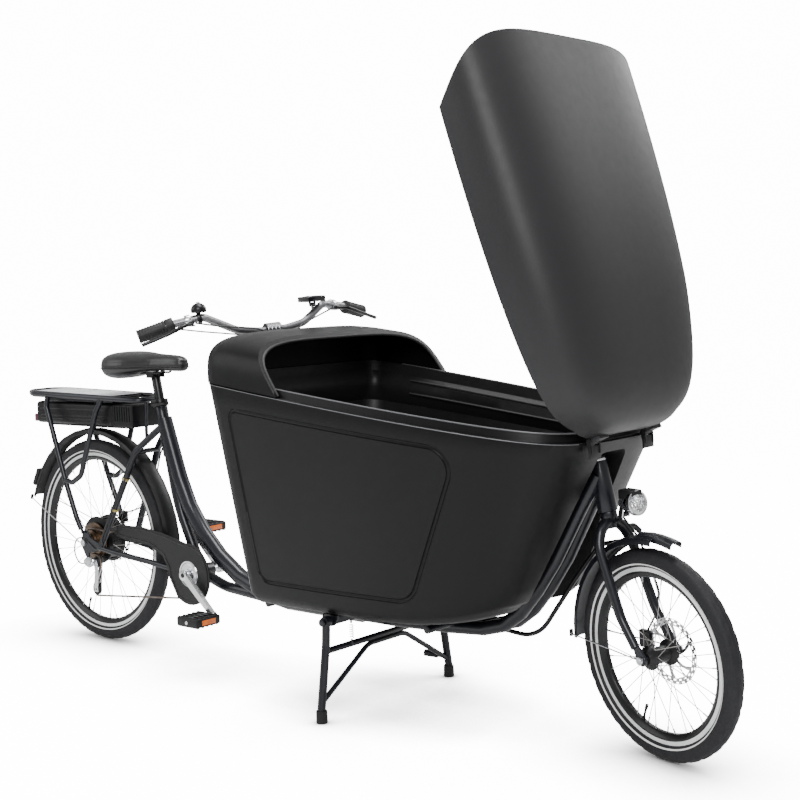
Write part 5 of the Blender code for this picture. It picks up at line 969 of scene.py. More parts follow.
def build_drive():
    y = -0.045
    ring = turned('chainring', [(0.0115, -0.0432), (0.0720, -0.0432), (CHAINRING_R, -0.0450), (0.0720, -0.0468), (0.0600, -0.0470),
                                (0.0300, -0.0475), (0.0290, -0.0612), (0.0115, -0.0612)], BBV, steps=24)
    give(ring, 'crankset', 'polished_alloy', 'chainring')
    # belt path round the sprockets: (centre, radius, turn) with the loop run from the top of the chainring to the rear
    wheels = [(Vector((BB[0], BB[2])), CHAIN_R, 1), (Vector((REAR.x, REAR.z)), 0.0435, 1),
              (Vector((JOCKEY_UP.x, JOCKEY_UP.z)), 0.0222, -1), (Vector((JOCKEY_LOW.x, JOCKEY_LOW.z)), 0.0222, 1)]

    def tangent(c0, r0, s0, c1, r1, s1):
        d = c1 - c0
        L = d.length
        base = math.atan2(d.y, d.x)
        # outward normal of the run, for a loop that turns anticlockwise (+1) or clockwise (-1)
        off = math.acos(max(-1.0, min(1.0, (s0 * r0 - s1 * r1) / L)))
        n = Vector((math.cos(base - off), math.sin(base - off)))
        return c0 + n * r0 * s0, c1 + n * r1 * s1
    runs = []
    for i in range(4):
        a, b = wheels[i], wheels[(i + 1) % 4]
        runs.append(tangent(*a, *b))
    pts = []
    for i in range(4):
        c, r, s = wheels[(i + 1) % 4]
        p_in, p_out = runs[i][1], runs[(i + 1) % 4][0]
        pts.append(runs[i][0])
        a0 = math.atan2(p_in.y - c.y, p_in.x - c.x)
        a1 = math.atan2(p_out.y - c.y, p_out.x - c.x)
        da = (a1 - a0) % (2 * math.pi) if s > 0 else -((a0 - a1) % (2 * math.pi))
        n = max(3, int(abs(da) / 0.32))
        for k in range(n + 1):
            t = a0 + da * k / n
            pts.append(Vector((c.x + r * math.cos(t), c.y + r * math.sin(t))))
    clean = []
    for q in pts:
        if not clean or (q - clean[-1]).length > 1e-4:
            clean.append(q)
    if (clean[0] - clean[-1]).length < 1e-4:
        clean.pop()
    global CHAIN_PATH
    CHAIN_PATH = clean
    n = len(clean)
    rings = []
    for i, q in enumerate(clean):
        t = (clean[(i + 1) % n] - clean[i - 1]).normalized()
        nn = Vector((-t.y, t.x))
        rings.append([(q.x + nn.x * e, y + w, q.y + nn.y * e) for e, w in ((0.0026, 0.0026), (0.0026, -0.0026), (-0.0026, -0.0026), (-0.0026, 0.0026))])
    rings.append(rings[0])
    bm = bmesh.new()
    rows = [[bm.verts.new(p) for p in ring_] for ring_ in rings]
    for a, b in zip(rows, rows[1:]):
        for i in range(4):
            bm.faces.new([a[i], a[(i + 1) % 4], b[(i + 1) % 4], b[i]])
    give(add('chain', bm), 'root', 'chain_steel', 'chain')

    # cranks
    def crank(name, s, sign, mat='polished_alloy'):
        y0 = 0.0625 * s if s > 0 else -0.0648
        y1, y2 = 0.0800 * s, 0.0920 * s
        tip = BBV + CR * sign
        d = CR.normalized() * sign
        nrm = Vector((-d.z, 0, d.x))
        pts = []
        c0, c1 = BBV, tip
        parts = [rod(name, BBV + Vector((0, y0, 0)), BBV + Vector((0, y1, 0)), 0.0165, 14),
                 rod('eye', tip + Vector((0, 0.0720 * s, 0)), tip + Vector((0, 0.0850 * s, 0)), 0.0125, 12)]
        bm = bmesh.new()
        vs = []
        for yy, (wa, wb) in ((0.0665 * s, (0.0130, 0.0095)), (0.0790 * s, (0.0105, 0.0075))):
            vs.append([bm.verts.new(BBV + nrm * wa + Vector((0, yy, 0))), bm.verts.new(BBV - nrm * wa + Vector((0, yy, 0))),
                       bm.verts.new(tip - nrm * wb + Vector((0, yy + 0.0055 * s, 0))), bm.verts.new(tip + nrm * wb + Vector((0, yy + 0.0055 * s, 0)))])
        a, b = vs
        bm.faces.new(a)
        bm.faces.new(b)
        for i in range(4):
            bm.faces.new([a[i], a[(i + 1) % 4], b[(i + 1) % 4], b[i]])
        parts.append(add('web', bm))
        parts.append(rod('pedal_pin', tip + Vector((0, 0.0750 * s, 0)), tip + Vector((0, 0.1850 * s, 0)), 0.0055, 10))
        if s > 0:
            parts.append(rod('spindle', BBV + Vector((0, 0.0700, 0)), BBV + Vector((0, -0.0642, 0)), 0.0110, 14))
        return union(name, parts)
    give(crank('crank_right', -1, 1), 'crankset', 'polished_alloy', 'crank_right')
    give(crank('crank_left', 1, -1), 'crankset', 'polished_alloy', 'crank_left')
    for s, sign, n in ((-1, 1, 'right'), (1, -1, 'left')):
        tip = BBV + CR * sign
        y0, y1 = sorted((0.0905 * s, 0.1830 * s))
        p = box('pedal_' + n, (tip.x - 0.0460, y0, tip.z - 0.0135), (tip.x + 0.0460, y1, tip.z + 0.0135), 0.005, 1)
        ya, yb = sorted((0.0980 * s, 0.1750 * s))
        wa = box('c', (tip.x - 0.0340, ya, tip.z - 0.03), (tip.x - 0.0120, yb, tip.z + 0.03))
        wb = box('c', (tip.x + 0.0120, ya, tip.z - 0.03), (tip.x + 0.0340, yb, tip.z + 0.03))
        hole = rod('c', tip + Vector((0, 0.05 * s, 0)), tip + Vector((0, 0.20 * s, 0)), 0.0064, 10)
        drop(hole)
        give(cut(p, [wa, wb], real=True), 'pedal_%s_body' % n, 'black_plastic', 'pedal_' + n)

    # chain guard: round cover with a long arm over the upper run
    cx, cz = BB[0], BB[2]
    out = arc(cx, cz, 0.0960, 96, -128, 18)
    out += [(0.400, 0.258), (0.396, 0.285), (0.372, 0.322), (0.310, 0.348), (0.180, 0.357), (0.150, 0.364), (0.140, 0.378),
            (0.152, 0.394), (0.180, 0.402), (0.270, 0.405), (0.372, 0.394)]
    g = plate('chain_guard', out, -0.0560, -0.0528)
    g = cut(g, [rod('c', (cx, -0.08, cz), (cx, -0.02, cz), 0.0325, 20)])
    give(g, 'root', 'black_plastic', 'chain_guard')

    # derailleur
    ju, jl = JOCKEY_UP, JOCKEY_LOW
    parts = [box('rear_derailleur', (0.000, -0.0740, 0.262), (0.020, -0.0600, 0.2852), 0.003, 1)]
    parts.append(tube('knuckle', bend([(0.006, -0.066, 0.278), (-0.016, -0.068, 0.268), (0.004, -0.0645, 0.254), (ju.x, -0.0620, ju.z - 0.004)], 0.01, 2), 0.0070, 8))
    d = (jl - ju)
    for ya, yb in ((-0.0535, -0.0520), (-0.0380, -0.0365)):
        parts.append(plate('cage', [(ju.x - 0.010, ju.z + 0.008), (ju.x + 0.010, ju.z + 0.008), (ju.x + 0.014, ju.z - 0.030),
                                    (jl.x + 0.010, jl.z + 0.010), (jl.x + 0.009, jl.z - 0.009), (jl.x - 0.009, jl.z - 0.009),
                                    (jl.x - 0.010, jl.z + 0.010), (ju.x - 0.004, ju.z - 0.030)], ya, yb))
    for j in (ju, jl):
        parts.append(rod('axle', (j.x, -0.0535, j.z), (j.x, -0.0365, j.z), 0.0030, 8))
    parts.append(rod('boss', (ju.x, -0.0640, ju.z - 0.002), (ju.x, -0.0528, ju.z - 0.002), 0.0060, 8))
    give(union('rear_derailleur', parts), 'root', 'steel', 'rear_derailleur')
    for j, n in ((ju, 'upper'), (jl, 'lower')):
        prof = [(0.0036, -0.0505), (0.0120, -0.0505), (0.0140, -0.0475), (0.0185, -0.0465), (0.0185, -0.0435), (0.0140, -0.0425),
                (0.0120, -0.0395), (0.0036, -0.0395)]
        give(turned('jockey_' + n, prof, Vector((j.x, 0, j.z)), steps=14), 'jockey_%s_body' % n, 'black_plastic', 'jockey_wheel_' + n)


def build_seat():
    post = rod("seatpost", ST - SEAT_DIR * 0.115, ST + SEAT_DIR * 0.078, 0.0148, 16)
    head = rod('head', SADDLE_PIVOT + Vector((0, -0.0190, 0)), SADDLE_PIVOT + Vector((0, 0.0190, 0)), 0.0080, 10)
    give(union('seatpost', [post, head]), 'seatpost_body', 'black_alloy', 'seatpost')
    # collar round the top of the seat tube
    a, b = ST - SEAT_DIR * 0.020, ST + SEAT_DIR * 0.0010
    col = rod('seat_clamp', a, b, 0.0245, 18)
    col = cut(col, [rod('c', a - SEAT_DIR * 0.02, b + SEAT_DIR * 0.02, 0.0201, 18)])
    ear = box('e', (0.322, -0.0300, 0.784), (0.347, -0.0225, 0.802), 0.002, 1)
    give(union('seat_clamp', [col, ear]), 'root', 'black_alloy', 'seat_clamp')
    p = CLAMP_LEVER
    lv = tube('seat_clamp_lever', bend([(0.335, -0.0360, 0.792), (0.352, -0.0375, 0.792), (0.386, -0.0300, 0.795)], 0.02, 3), 0.0042, 6)
    give(lv, 'seat_lever_body', 'black_alloy', 'seat_clamp_lever')

    # saddle: base shell with clamp, and the padded top
    sp = SADDLE_PIVOT
    Z0 = 0.901
    base = loft('saddle_base', [[(x - 0.008, y, Z0 + dz) for x, y in
                                 ((0.195, -0.085), (0.175, 0), (0.195, 0.085), (0.26, 0.078), (0.33, 0.040), (0.43, 0.020), (0.445, 0),
                                  (0.43, -0.020), (0.33, -0.040), (0.26, -0.078))] for dz in (0.0, 0.006)])
    parts = [base]
    for s in (-1, 1):
        parts.append(tube('rail', bend([(0.225, 0.026 * s, 0.904), (0.255, 0.0235 * s, 0.8885), (0.355, 0.0235 * s, 0.8885), (0.392, 0.012 * s, 0.904)], 0.015, 2), 0.0035, 6))
        y0, y1 = sorted((0.0198 * s, 0.0262 * s))
        parts.append(plate('cheek', [(sp.x - 0.013, sp.z - 0.008), (sp.x + 0.013, sp.z - 0.008), (sp.x + 0.013, 0.8905), (sp.x - 0.013, 0.8905)], y0, y1))
    give(union('saddle_base', parts), 'saddle_body', 'black_plastic', 'saddle_base')

    build_cushion()


def build_rack():
    z = 0.810
    loop = bend([(0.20, -0.072, z), (-0.235, -0.072, z), (-0.294, -0.045, z), (-0.294, 0.045, z), (-0.235, 0.072, z), (0.20, 0.072, z),
                 (0.285, 0.045, z - 0.004), (0.285, -0.045, z - 0.004), (0.20, -0.072, z)], [0.05, 0.035, 0.035, 0.05, 0.05, 0.03, 0.03], 2)[:-1]
    parts = [tube('rack_frame', loop, 0.0095, 12, cyclic=True)]
    parts.append(box('deck', (-0.235, -0.0660, z - 0.0010), (0.165, 0.0660, z + 0.0030)))
    for x in (-0.200, 0.130):
        parts.append(rod('cross', (x, -0.072, z - 0.001), (x, 0.072, z - 0.001), 0.0045, 6))
    for s in (-1, 1):
        parts.append(tube('leg', bend([(-0.160, 0.072 * s, z), (-0.160, 0.080 * s, 0.775), (-0.068, 0.0865 * s, 0.535), (-0.018, 0.0885 * s, 0.420),
                                       (0.000, 0.0845 * s, 0.378)], [0.015, 0.15, 0.06], 3), 0.0088, 12))
        parts.append(tube('loop', bend([(0.130, 0.072 * s, z), (0.105, 0.0800 * s, 0.765), (0.018, 0.0870 * s, 0.556),
                                        (-0.030, 0.0880 * s, 0.530), (-0.066, 0.0865 * s, 0.535)], [0.02, 0.035, 0.03], 3), 0.0088, 12))
        parts.append(rod('foot', (0.001, 0.0842 * s, 0.383), (0.001, 0.0802 * s, 0.3635), 0.0048, 8))
        y0, y1 = sorted((0.0425 * s, 0.0445 * s))
        parts.append(plate('side_rail', [(-0.215, z + 0.001), (0.150, z + 0.001), (0.150, 0.7925), (-0.215, 0.7925)], y0, y1))
    parts.append(tube('front_strut', bend([(0.284, -0.020, z - 0.004), (0.284, -0.018, z - 0.020), (0.275, -0.015, 0.70), (0.272, -0.012, 0.672)], 0.02, 2), 0.0055, 10))
    give(rack_tilt(union('rack_frame', parts)), 'root', 'frame_paint', 'rack_frame')
    # lamp on the rear face of the battery
    give(box('rear_light', (-0.3050, -0.0300, 0.7180), (-0.2625, 0.0300, 0.7440), 0.004, 1), 'battery_body', 'tail_red', 'rear_light')

    b = box('battery', (-0.262, -0.0520, 0.7170), (0.150, 0.0520, 0.7900), 0.012, 2)
    b2 = box('handle', (-0.268, -0.020, 0.750), (-0.258, 0.020, 0.772), 0.003, 1)
    give(union('battery', [b, b2]), 'battery_body', 'dark_plastic', 'battery')
    d = [box('battery_dock', (0.1525, -0.0540, 0.7160), (0.2560, 0.0540, 0.7890), 0.006, 1)]
    d = cut(d[0], [box('c', (0.168 + 0.012 * k, -0.070, 0.735), (0.172 + 0.012 * k, -0.048, 0.782)) for k in range(7)] +
            [box('c', (0.168 + 0.012 * k, 0.048, 0.735), (0.172 + 0.012 * k, 0.070, 0.782)) for k in range(7)], real=True)
    tray = box('tray', (-0.215, -0.030, 0.7095), (0.175, 0.030, 0.7162))
    web = box('web', (0.156, -0.030, 0.7100), (0.200, 0.030, 0.7240))
    give(union('battery_dock', [d, tray, web]), 'root', 'dark_plastic', 'battery_dock')


def build_cockpit():
    # column with its clamp at the top and the steering arm at the bottom
    parts = [rod('steering_column', COL_ARM - U * 0.004, CT - U * 0.006, 0.0128, 14)]
    parts.append(rod('collar', col_at(0.806), col_at(0.826), 0.0185, 14))
    parts.append(rod('clamp', CT + Vector((0, -0.024, 0)), CT + Vector((0, 0.024, 0)), 0.0190, 16))
    a = COL_ARM + Vector((0, STEER_ARM, 0))
    parts.append(rod('arm', COL_ARM + U * 0.0005, a + U * 0.0005, 0.0048, 8))
    parts.append(rod('eye', a - U * 0.0045, a + U * 0.0055, 0.0080, 10))
    col = union('steering_column', parts)
    col = cut(col, [rod('c', CT + Vector((0, -0.05, 0)), CT + Vector((0, 0.05, 0)), 0.0117, 16),
                    rod('c', a - U * 0.03, a + U * 0.03, 0.0036, 8)])
    give(col, 'column', 'black_alloy', 'steering_column')
    bar_path = bend(BAR_PTS, [0.20, 0.040, 0.07, 0.07, 0.07, 0.07, 0.040, 0.20], 2)
    q = DISPLAY_PIVOT
    foot = BAR_PTS[6].lerp(BAR_PTS[7], (q.y - BAR_PTS[6].y) / (BAR_PTS[7].y - BAR_PTS[6].y))
    bar = [tube('handlebar', bar_path, 0.0111, 8), rod('post', foot, q, 0.0045, 8),
           rod('hinge_eye', q + Vector((0, -0.0060, 0)), q + Vector((0, 0.0060, 0)), 0.0060, 10),
           rod('hinge_pin', q + Vector((0, -0.0100, 0)), q + Vector((0, 0.0100, 0)), 0.0022, 8)]
    give(union('handlebar', bar), 'column', 'bar_alloy', 'handlebar')

    def sleeve(name, ya, yb, r, bore=0.0122, sides=14):
        pa, d = on_bar(ya)
        pb, _ = on_bar(yb)
        ob = rod(name, pa, pb, r, sides)
        return cut(ob, [rod('c', pa - d * 0.004, pb + d * 0.004, bore, sides)])
    give(sleeve('grip_right', -0.2965, -0.3660, 0.0188, 0.0121, 28), 'column', 'grip_rubber', 'grip_right')
    give(sleeve('grip_left', 0.2920, 0.3660, 0.0188, 0.0121, 28), 'column', 'grip_rubber', 'grip_left')
    pa, d = on_bar(-0.2735)
    pb, _ = on_bar(-0.2945)
    sh = cut(rod('twist_shifter', pa, pb, 0.0205, 28), [rod('c', pa - d * 0.01, pb + d * 0.01, 0.0126, 16)])
    give(sh, 'shifter_body', 'grip_rubber', 'twist_shifter')
    for s, n, piv in ((-1, 'right', LEVER_R), (1, 'left', LEVER_L)):
        pa, d = on_bar(0.2290 * s)
        pb, _ = on_bar(0.2440 * s)
        m = rod('brake_mount_' + n, pa, pb, 0.0160, 14)
        arm = box('arm', (piv.x - 0.016, min(0.2290 * s, 0.2440 * s), piv.z - 0.0085), (piv.x + 0.006, max(0.2290 * s, 0.2440 * s), piv.z - 0.0045))
        arm2 = box('arm2', (piv.x - 0.016, min(0.2290 * s, 0.2440 * s), piv.z + 0.0045), (piv.x + 0.006, max(0.2290 * s, 0.2440 * s), piv.z + 0.0085))
        back = box('back', (piv.x - 0.020, min(0.2290 * s, 0.2440 * s), piv.z - 0.0085), (piv.x - 0.0120, max(0.2290 * s, 0.2440 * s), piv.z + 0.0085))
        pin = rod('pin', piv + Vector((0, 0, -0.0080)), piv + Vector((0, 0, 0.0080)), 0.0022, 8)
        m = union('brake_mount_' + n, [m, arm, arm2, back, pin])
        m = cut(m, [rod('c', pa - d * 0.02, pb + d * 0.02, 0.0122, 14)])
        give(m, 'column', 'black_alloy', 'brake_mount_' + n).data.materials[0] = MAT['polished_alloy']
        pts = bend([piv + Vector((0.000, 0, 0)), piv + Vector((0.016, 0.030 * s, -0.003)), piv + Vector((0.008, 0.075 * s, -0.021)),
                    piv + Vector((-0.020, 0.148 * s, -0.046))], [0.03, 0.1], 6)
        lv = [tube('brake_lever_' + n, pts, 0.0054, 14), rod('eye', piv + Vector((0, 0, -0.0038)), piv + Vector((0, 0, 0.0038)), 0.0062, 10)]
        lv = union('brake_lever_' + n, lv)
        lv = cut(lv, [rod('c', piv + Vector((0, 0, -0.02)), piv + Vector((0, 0, 0.02)), 0.0028, 8)])
        give(lv, 'brake_lever_%s_body' % n, 'black_alloy', 'brake_lever_' + n)

    # bell on the right of the bar
    p, d = on_bar(-0.206)
    ring = cut(rod('bell', p - d * 0.006, p + d * 0.006, 0.0160, 14), [tube('c', bar_path, 0.0118, 10)])
    dome = turned('dome', [(0, 0.0320), (0.0120, 0.0300), (0.0185, 0.0235), (0.0195, 0.0150), (0.0150, 0.0150), (0, 0.0150)], p, axis=(0, 0, 1), steps=14)
    stem = rod('stem', p + Vector((0, 0, 0.0135)), p + Vector((0, 0, 0.018)), 0.006, 8)
    give(union('bell', [ring, dome, stem]), 'column', 'black_alloy', 'bell')

    # display left of the clamp, on a tilting holder, with one push button
    q = DISPLAY_PIVOT
    dsp = [box('display', (q.x - 0.034, q.y - 0.030, q.z + 0.0085), (q.x + 0.030, q.y + 0.030, q.z + 0.0245), 0.003, 1)]
    for e in (-1, 1):
        y0, y1 = sorted((q.y + 0.0066 * e, q.y + 0.0092 * e))
        ear = plate('ear', arc(q.x, q.z, 0.0052, 0, -180, 6) + [(q.x - 0.0052, q.z + 0.0100), (q.x + 0.0052, q.z + 0.0100)], y0, y1)
        dsp.append(cut(ear, [rod('c', (q.x, y0 - 0.01, q.z), (q.x, y1 + 0.01, q.z), 0.0028, 8)]))
    dsp = union('display', dsp)
    dsp = cut(dsp, [box('c', (q.x - 0.0300, q.y - 0.0060, q.z + 0.0200), (q.x - 0.0200, q.y + 0.0060, q.z + 0.030))])
    give(dsp, 'display_body', 'screen_black', 'display')
    give(box('display_button', (q.x - 0.0292, q.y - 0.0052, q.z + 0.0216), (q.x - 0.0208, q.y + 0.0052, q.z + 0.0258)),
         'display_button_body', 'black_plastic', 'display_button')

    # tie rod: straight under the box, bent up in front to the fork arm
    a = COL_ARM + Vector((0, STEER_ARM, 0))
    b = HEAD_ARM + Vector((0, STEER_ARM, 0))
    path = bend([a - U * 0.0110 + Vector((0.0, 0, 0)), (a.x + 0.060, STEER_ARM, 0.2365), (1.20, STEER_ARM, 0.2335), (1.52, STEER_ARM, 0.2200),
                 (1.675, STEER_ARM, 0.2070), (1.795, STEER_ARM, 0.372), (1.872, STEER_ARM, 0.470), b - U * 0.004], [0.05, 0.3, 0.3, 0.10, 0.2, 0.06], 2)
    r = [tube('tie_rod', path, 0.0060, 8), rod('stud', a - U * 0.0130, a + U * 0.0085, 0.0028, 8),
         rod('socket', b - U * 0.010, b + U * 0.0045, 0.0085, 10)]
    give(union('tie_rod', r), 'rod_body', 'black_alloy', 'tie_rod')


def build_stand():
    px, _, pz = PIVOT
    legs = []
    for s in (-1, 1):
        legs.append(tube('leg', bend([(px, 0.2330 * s, pz), (px, 0.2375 * s, 0.200), (px, 0.2640 * s, 0.0350)], 0.2, 2), 0.0112, 8))
        legs.append(rod('spigot', (px, 0.2640 * s, 0.0400), (px, 0.2640 * s, 0.0225), 0.0108, 12))
        legs.append(rod('eye', (px, 0.2230 * s, pz), (px, 0.2430 * s, pz), 0.0140, 14))
    parts = [rod('stand_frame', (px, -0.2385, 0.1840), (px, 0.2385, 0.1840), 0.0085, 8)] + legs
    parts.append(tube('brace', bend([(px, -0.2600, 0.0520), (px, -0.075, 0.1690), (px, 0.075, 0.1690), (px, 0.2600, 0.0520)], 0.06, 2), 0.0070, 8))
    parts.append(rod('peg', (px, 0.2580, 0.0600), (px - 0.0700, 0.2420, 0.0640), 0.0070, 8))
    parts.append(rod('peg_sleeve', (px - 0.0300, 0.2512, 0.0617), (px - 0.0700, 0.2420, 0.0640), 0.0100, 10))
    parts.append(rod('spring_hook', (px + 0.011, -0.150, 0.1840), (px + 0.011, -0.150, 0.2000), 0.0028, 6))
    parts.append(rod('hook_root', (px, -0.150, 0.1840), (px + 0.0130, -0.150, 0.1850), 0.0045, 6))
    ob = union('stand_frame', parts)
    ob = cut(ob, [rod('c', (px, -0.30, pz), (px, 0.30, pz), 0.0067, 12)])
    give(ob, 'stand_body', 'frame_paint', 'stand_frame')
    for s, n in ((-1, 'right'), (1, 'left')):
        lo = Vector((px, 0.2675 * s, 0.0))
        prof = [(0, 0.0), (0.0145, 0.0), (0.0155, 0.003), (0.0148, 0.0320), (0.0122, 0.0320), (0.0122, 0.0215), (0, 0.0215)]
        foot = turned('stand_foot_' + n, prof, (px, 0.2640 * s, 0.0), axis=(0, 0, 1), steps=12)
        give(foot, 'stand_body', 'grip_rubber', 'stand_foot_' + n)
    # coil spring between the beam hook and the cross tube
    turns, nseg = 6, 8
    pts = []
    for k in range(turns * nseg + 1):
        t = 2 * math.pi * k / nseg
        pts.append((px + 0.011 + 0.0052 * math.cos(t), -0.150 + 0.0052 * math.sin(t), 0.2030 + 0.0370 * k / (turns * nseg)))
    give(tube('stand_spring', pts, 0.0011, 4), 'stand_body', 'steel', 'stand_spring')




# ------------------------------------------------------------------ finer forms for what shows most
def wire(name, pts, r, sides=8):
    """Light round wire through points."""
    bm = bmesh.new()
    pts = [Vector(p) for p in pts]
    prev = None
    side = None
    for i, p in enumerate(pts):
        t = (pts[min(i + 1, len(pts) - 1)] - pts[max(i - 1, 0)]).normalized()
        if side is None:
            side = t.cross(Vector((0, 0, 1)) if abs(t.z) < 0.9 else Vector((0, 1, 0))).normalized()
        side = (side - t * side.dot(t)).normalized()
        up = t.cross(side)
        row = [bm.verts.new(p + (side * math.cos(2 * math.pi * k / sides) + up * math.sin(2 * math.pi * k / sides)) * r) for k in range(sides)]
        if prev:
            for k in range(sides):
                bm.faces.new([prev[k], prev[(k + 1) % sides], row[(k + 1) % sides], row[k]])
        else:
            bm.faces.new(row)
        prev = row
    bm.faces.new(prev)
    return add(name, bm)


def slab(name, centre, normal, w, h, t, bevel=0.002, dome=0.0):
    """Rounded block: w across (y), h along the other direction, t along normal."""
    n = Vector(normal).normalized()
    y = Vector((0, 1, 0))
    u = y.cross(n).normalized()
    ob = box(name, (-w / 2, -h / 2, -t / 2), (w / 2, h / 2, t / 2), bevel, 3)
    m = Matrix(((y.x, u.x, n.x, centre[0]), (y.y, u.y, n.y, centre[1]), (y.z, u.z, n.z, centre[2]), (0, 0, 0, 1)))
    ob.data.transform(m)
    return ob


def rack_tilt(ob):
    """The carrier rises a little towards the rear."""
    for v in ob.data.vertices:
        w = min(1.0, max(0.0, (v.co.z - 0.790) / 0.016))
        v.co.z += w * 0.010 * (1 - (v.co.x + 0.29) / 0.44)
    return ob


def hug_tyre(ob, c, d):
    """Bring the crown of a guard closer to its tyre, none at the back."""
    for v in ob.data.vertices:
        p = v.co - c
        q = math.hypot(p.x, p.z)
        k = d * max(0.0, p.z / q)
        v.co.x -= p.x / q * k
        v.co.z -= p.z / q * k
    return ob


def two_tone(ob, second, test):
    ob.data.materials.append(MAT[second])
    for p in ob.data.polygons:
        if test(p):
            p.material_index = 1


def build_wheel(pre, centre, r, tube_r, bod, hub_profile, flanges, flange_r, n_spokes, seg):
    nphi, nseg = 36, (192 if r > 0.3 else 150)
    bm = bmesh.new()
    rows = []
    for j in range(nseg):
        a = 2 * math.pi * j / nseg
        row = []
        for k in range(nphi):
            phi = 2 * math.pi * (k + 0.5) / nphi
            q = tube_r
            if math.cos(phi) > 0.42:
                lane = abs(math.sin(phi)) > 0.45
                if (j + (2 if lane else 0)) % 4 == 0:
                    q -= 0.0014
                if k in (2, 33):
                    q -= 0.0018
            elif 0.0 < math.cos(phi) <= 0.42 and j % 4 < 2:
                q -= 0.0006
            rad = (r - tube_r) + q * math.cos(phi)
            row.append(bm.verts.new(centre + Vector((rad * math.cos(a), q * math.sin(phi), rad * math.sin(a)))))
        rows.append(row)
    for j in range(nseg):
        for k in range(nphi):
            f = bm.faces.new([rows[j][k], rows[j][(k + 1) % nphi], rows[(j + 1) % nseg][(k + 1) % nphi], rows[(j + 1) % nseg][k]])
            f.material_index = 1 if k in (11, 23) else 0
    me = bpy.data.meshes.new(pre)
    bmesh.ops.recalc_face_normals(bm, faces=bm.faces)
    bm.to_mesh(me)
    bm.free()
    t = bpy.data.objects.new(pre + '_tyre', me)
    COL.objects.link(t)
    idx = [p.material_index for p in me.polygons]
    give(t, bod, 'tyre_rubber', pre + '_tyre', angle=50)
    t.data.materials.append(MAT['white_line'])
    t.data.polygons.foreach_set('material_index', idx)

    ro = r - 2 * tube_r
    ri = ro - 0.0215
    prof = [(ro + 0.0048, -0.0115), (ro + 0.0052, -0.0125), (ro + 0.0044, -0.0134), (ri + 0.0162, -0.0134), (ri + 0.0115, -0.0134), (ri + 0.0105, -0.0128),
            (ri + 0.0030, -0.0082), (ri + 0.0004, -0.0050), (ri, 0.0), (ri + 0.0004, 0.0050), (ri + 0.0030, 0.0082), (ri + 0.0105, 0.0128),
            (ri + 0.0115, 0.0134), (ri + 0.0162, 0.0134), (ro + 0.0044, 0.0134), (ro + 0.0052, 0.0125), (ro + 0.0048, 0.0115), (ro - 0.004, 0.0080), (ro - 0.004, -0.0080)]
    rim = turned(pre + '_rim', prof, centre, steps=72)
    give(rim, bod, 'rim_alloy', pre + '_rim', angle=25)
    c = rest_matrix(bod) @ centre
    two_tone(rim, 'black_alloy', lambda p: (Vector(p.center) - c).length < ri + 0.0150)

    hub = [turned(pre + '_hub', hub_profile, centre, steps=32)]
    if r > 0.3:
        for k in range(18):
            a = 2 * math.pi * k / 18
            hub.append(slab('rib', centre + Vector((0.0712 * math.cos(a), 0.006, 0.0712 * math.sin(a))), (math.cos(a), 0, math.sin(a)), 0.030, 0.004, 0.004, 0.0008))
    give(union(pre + '_hub', hub), bod, 'black_alloy', pre + '_hub')
    n = 36
    sp, nip = [], []
    for k in range(n):
        a = 2 * math.pi * (k + 0.25) / n
        s = k % 2
        b = a + ((0.52 if flange_r < 0.05 else 0.22) * (1 if (k // 2) % 2 else -1))
        p0 = centre + Vector((flange_r * math.cos(b), flanges[s], flange_r * math.sin(b)))
        p1 = centre + Vector(((ri + 0.001) * math.cos(a), 0.003 * (1 if s else -1), (ri + 0.001) * math.sin(a)))
        d = (p1 - p0).normalized()
        sp.append(wire('s', [p0, p1], 0.00105, 6))
        nip.append(wire('n', [p1 - d * 0.013, p1 - d * 0.0125, p1], 0.0019, 8))
        nip.append(wire('h', [p0 - Vector((0, 0.0022, 0)), p0 + Vector((0, 0.0022, 0))], 0.0021, 8))
    extra(union('v', sp), bod, 'spoke_steel', pre + '_spokes')
    extra(union('v', nip), bod, 'polished_alloy', pre + '_nipples')
    a = math.radians(248)
    p = centre + Vector((ri * math.cos(a), 0, ri * math.sin(a)))
    d = Vector((-math.cos(a), 0, -math.sin(a)))
    extra(union('v', [wire('s', [p - d * 0.004, p + d * 0.034], 0.0030, 12), wire('s', [p + d * 0.030, p + d * 0.041], 0.0041, 12),
                      wire('s', [p, p + d * 0.005], 0.0048, 12)]), bod, 'black_alloy', pre + '_valve')


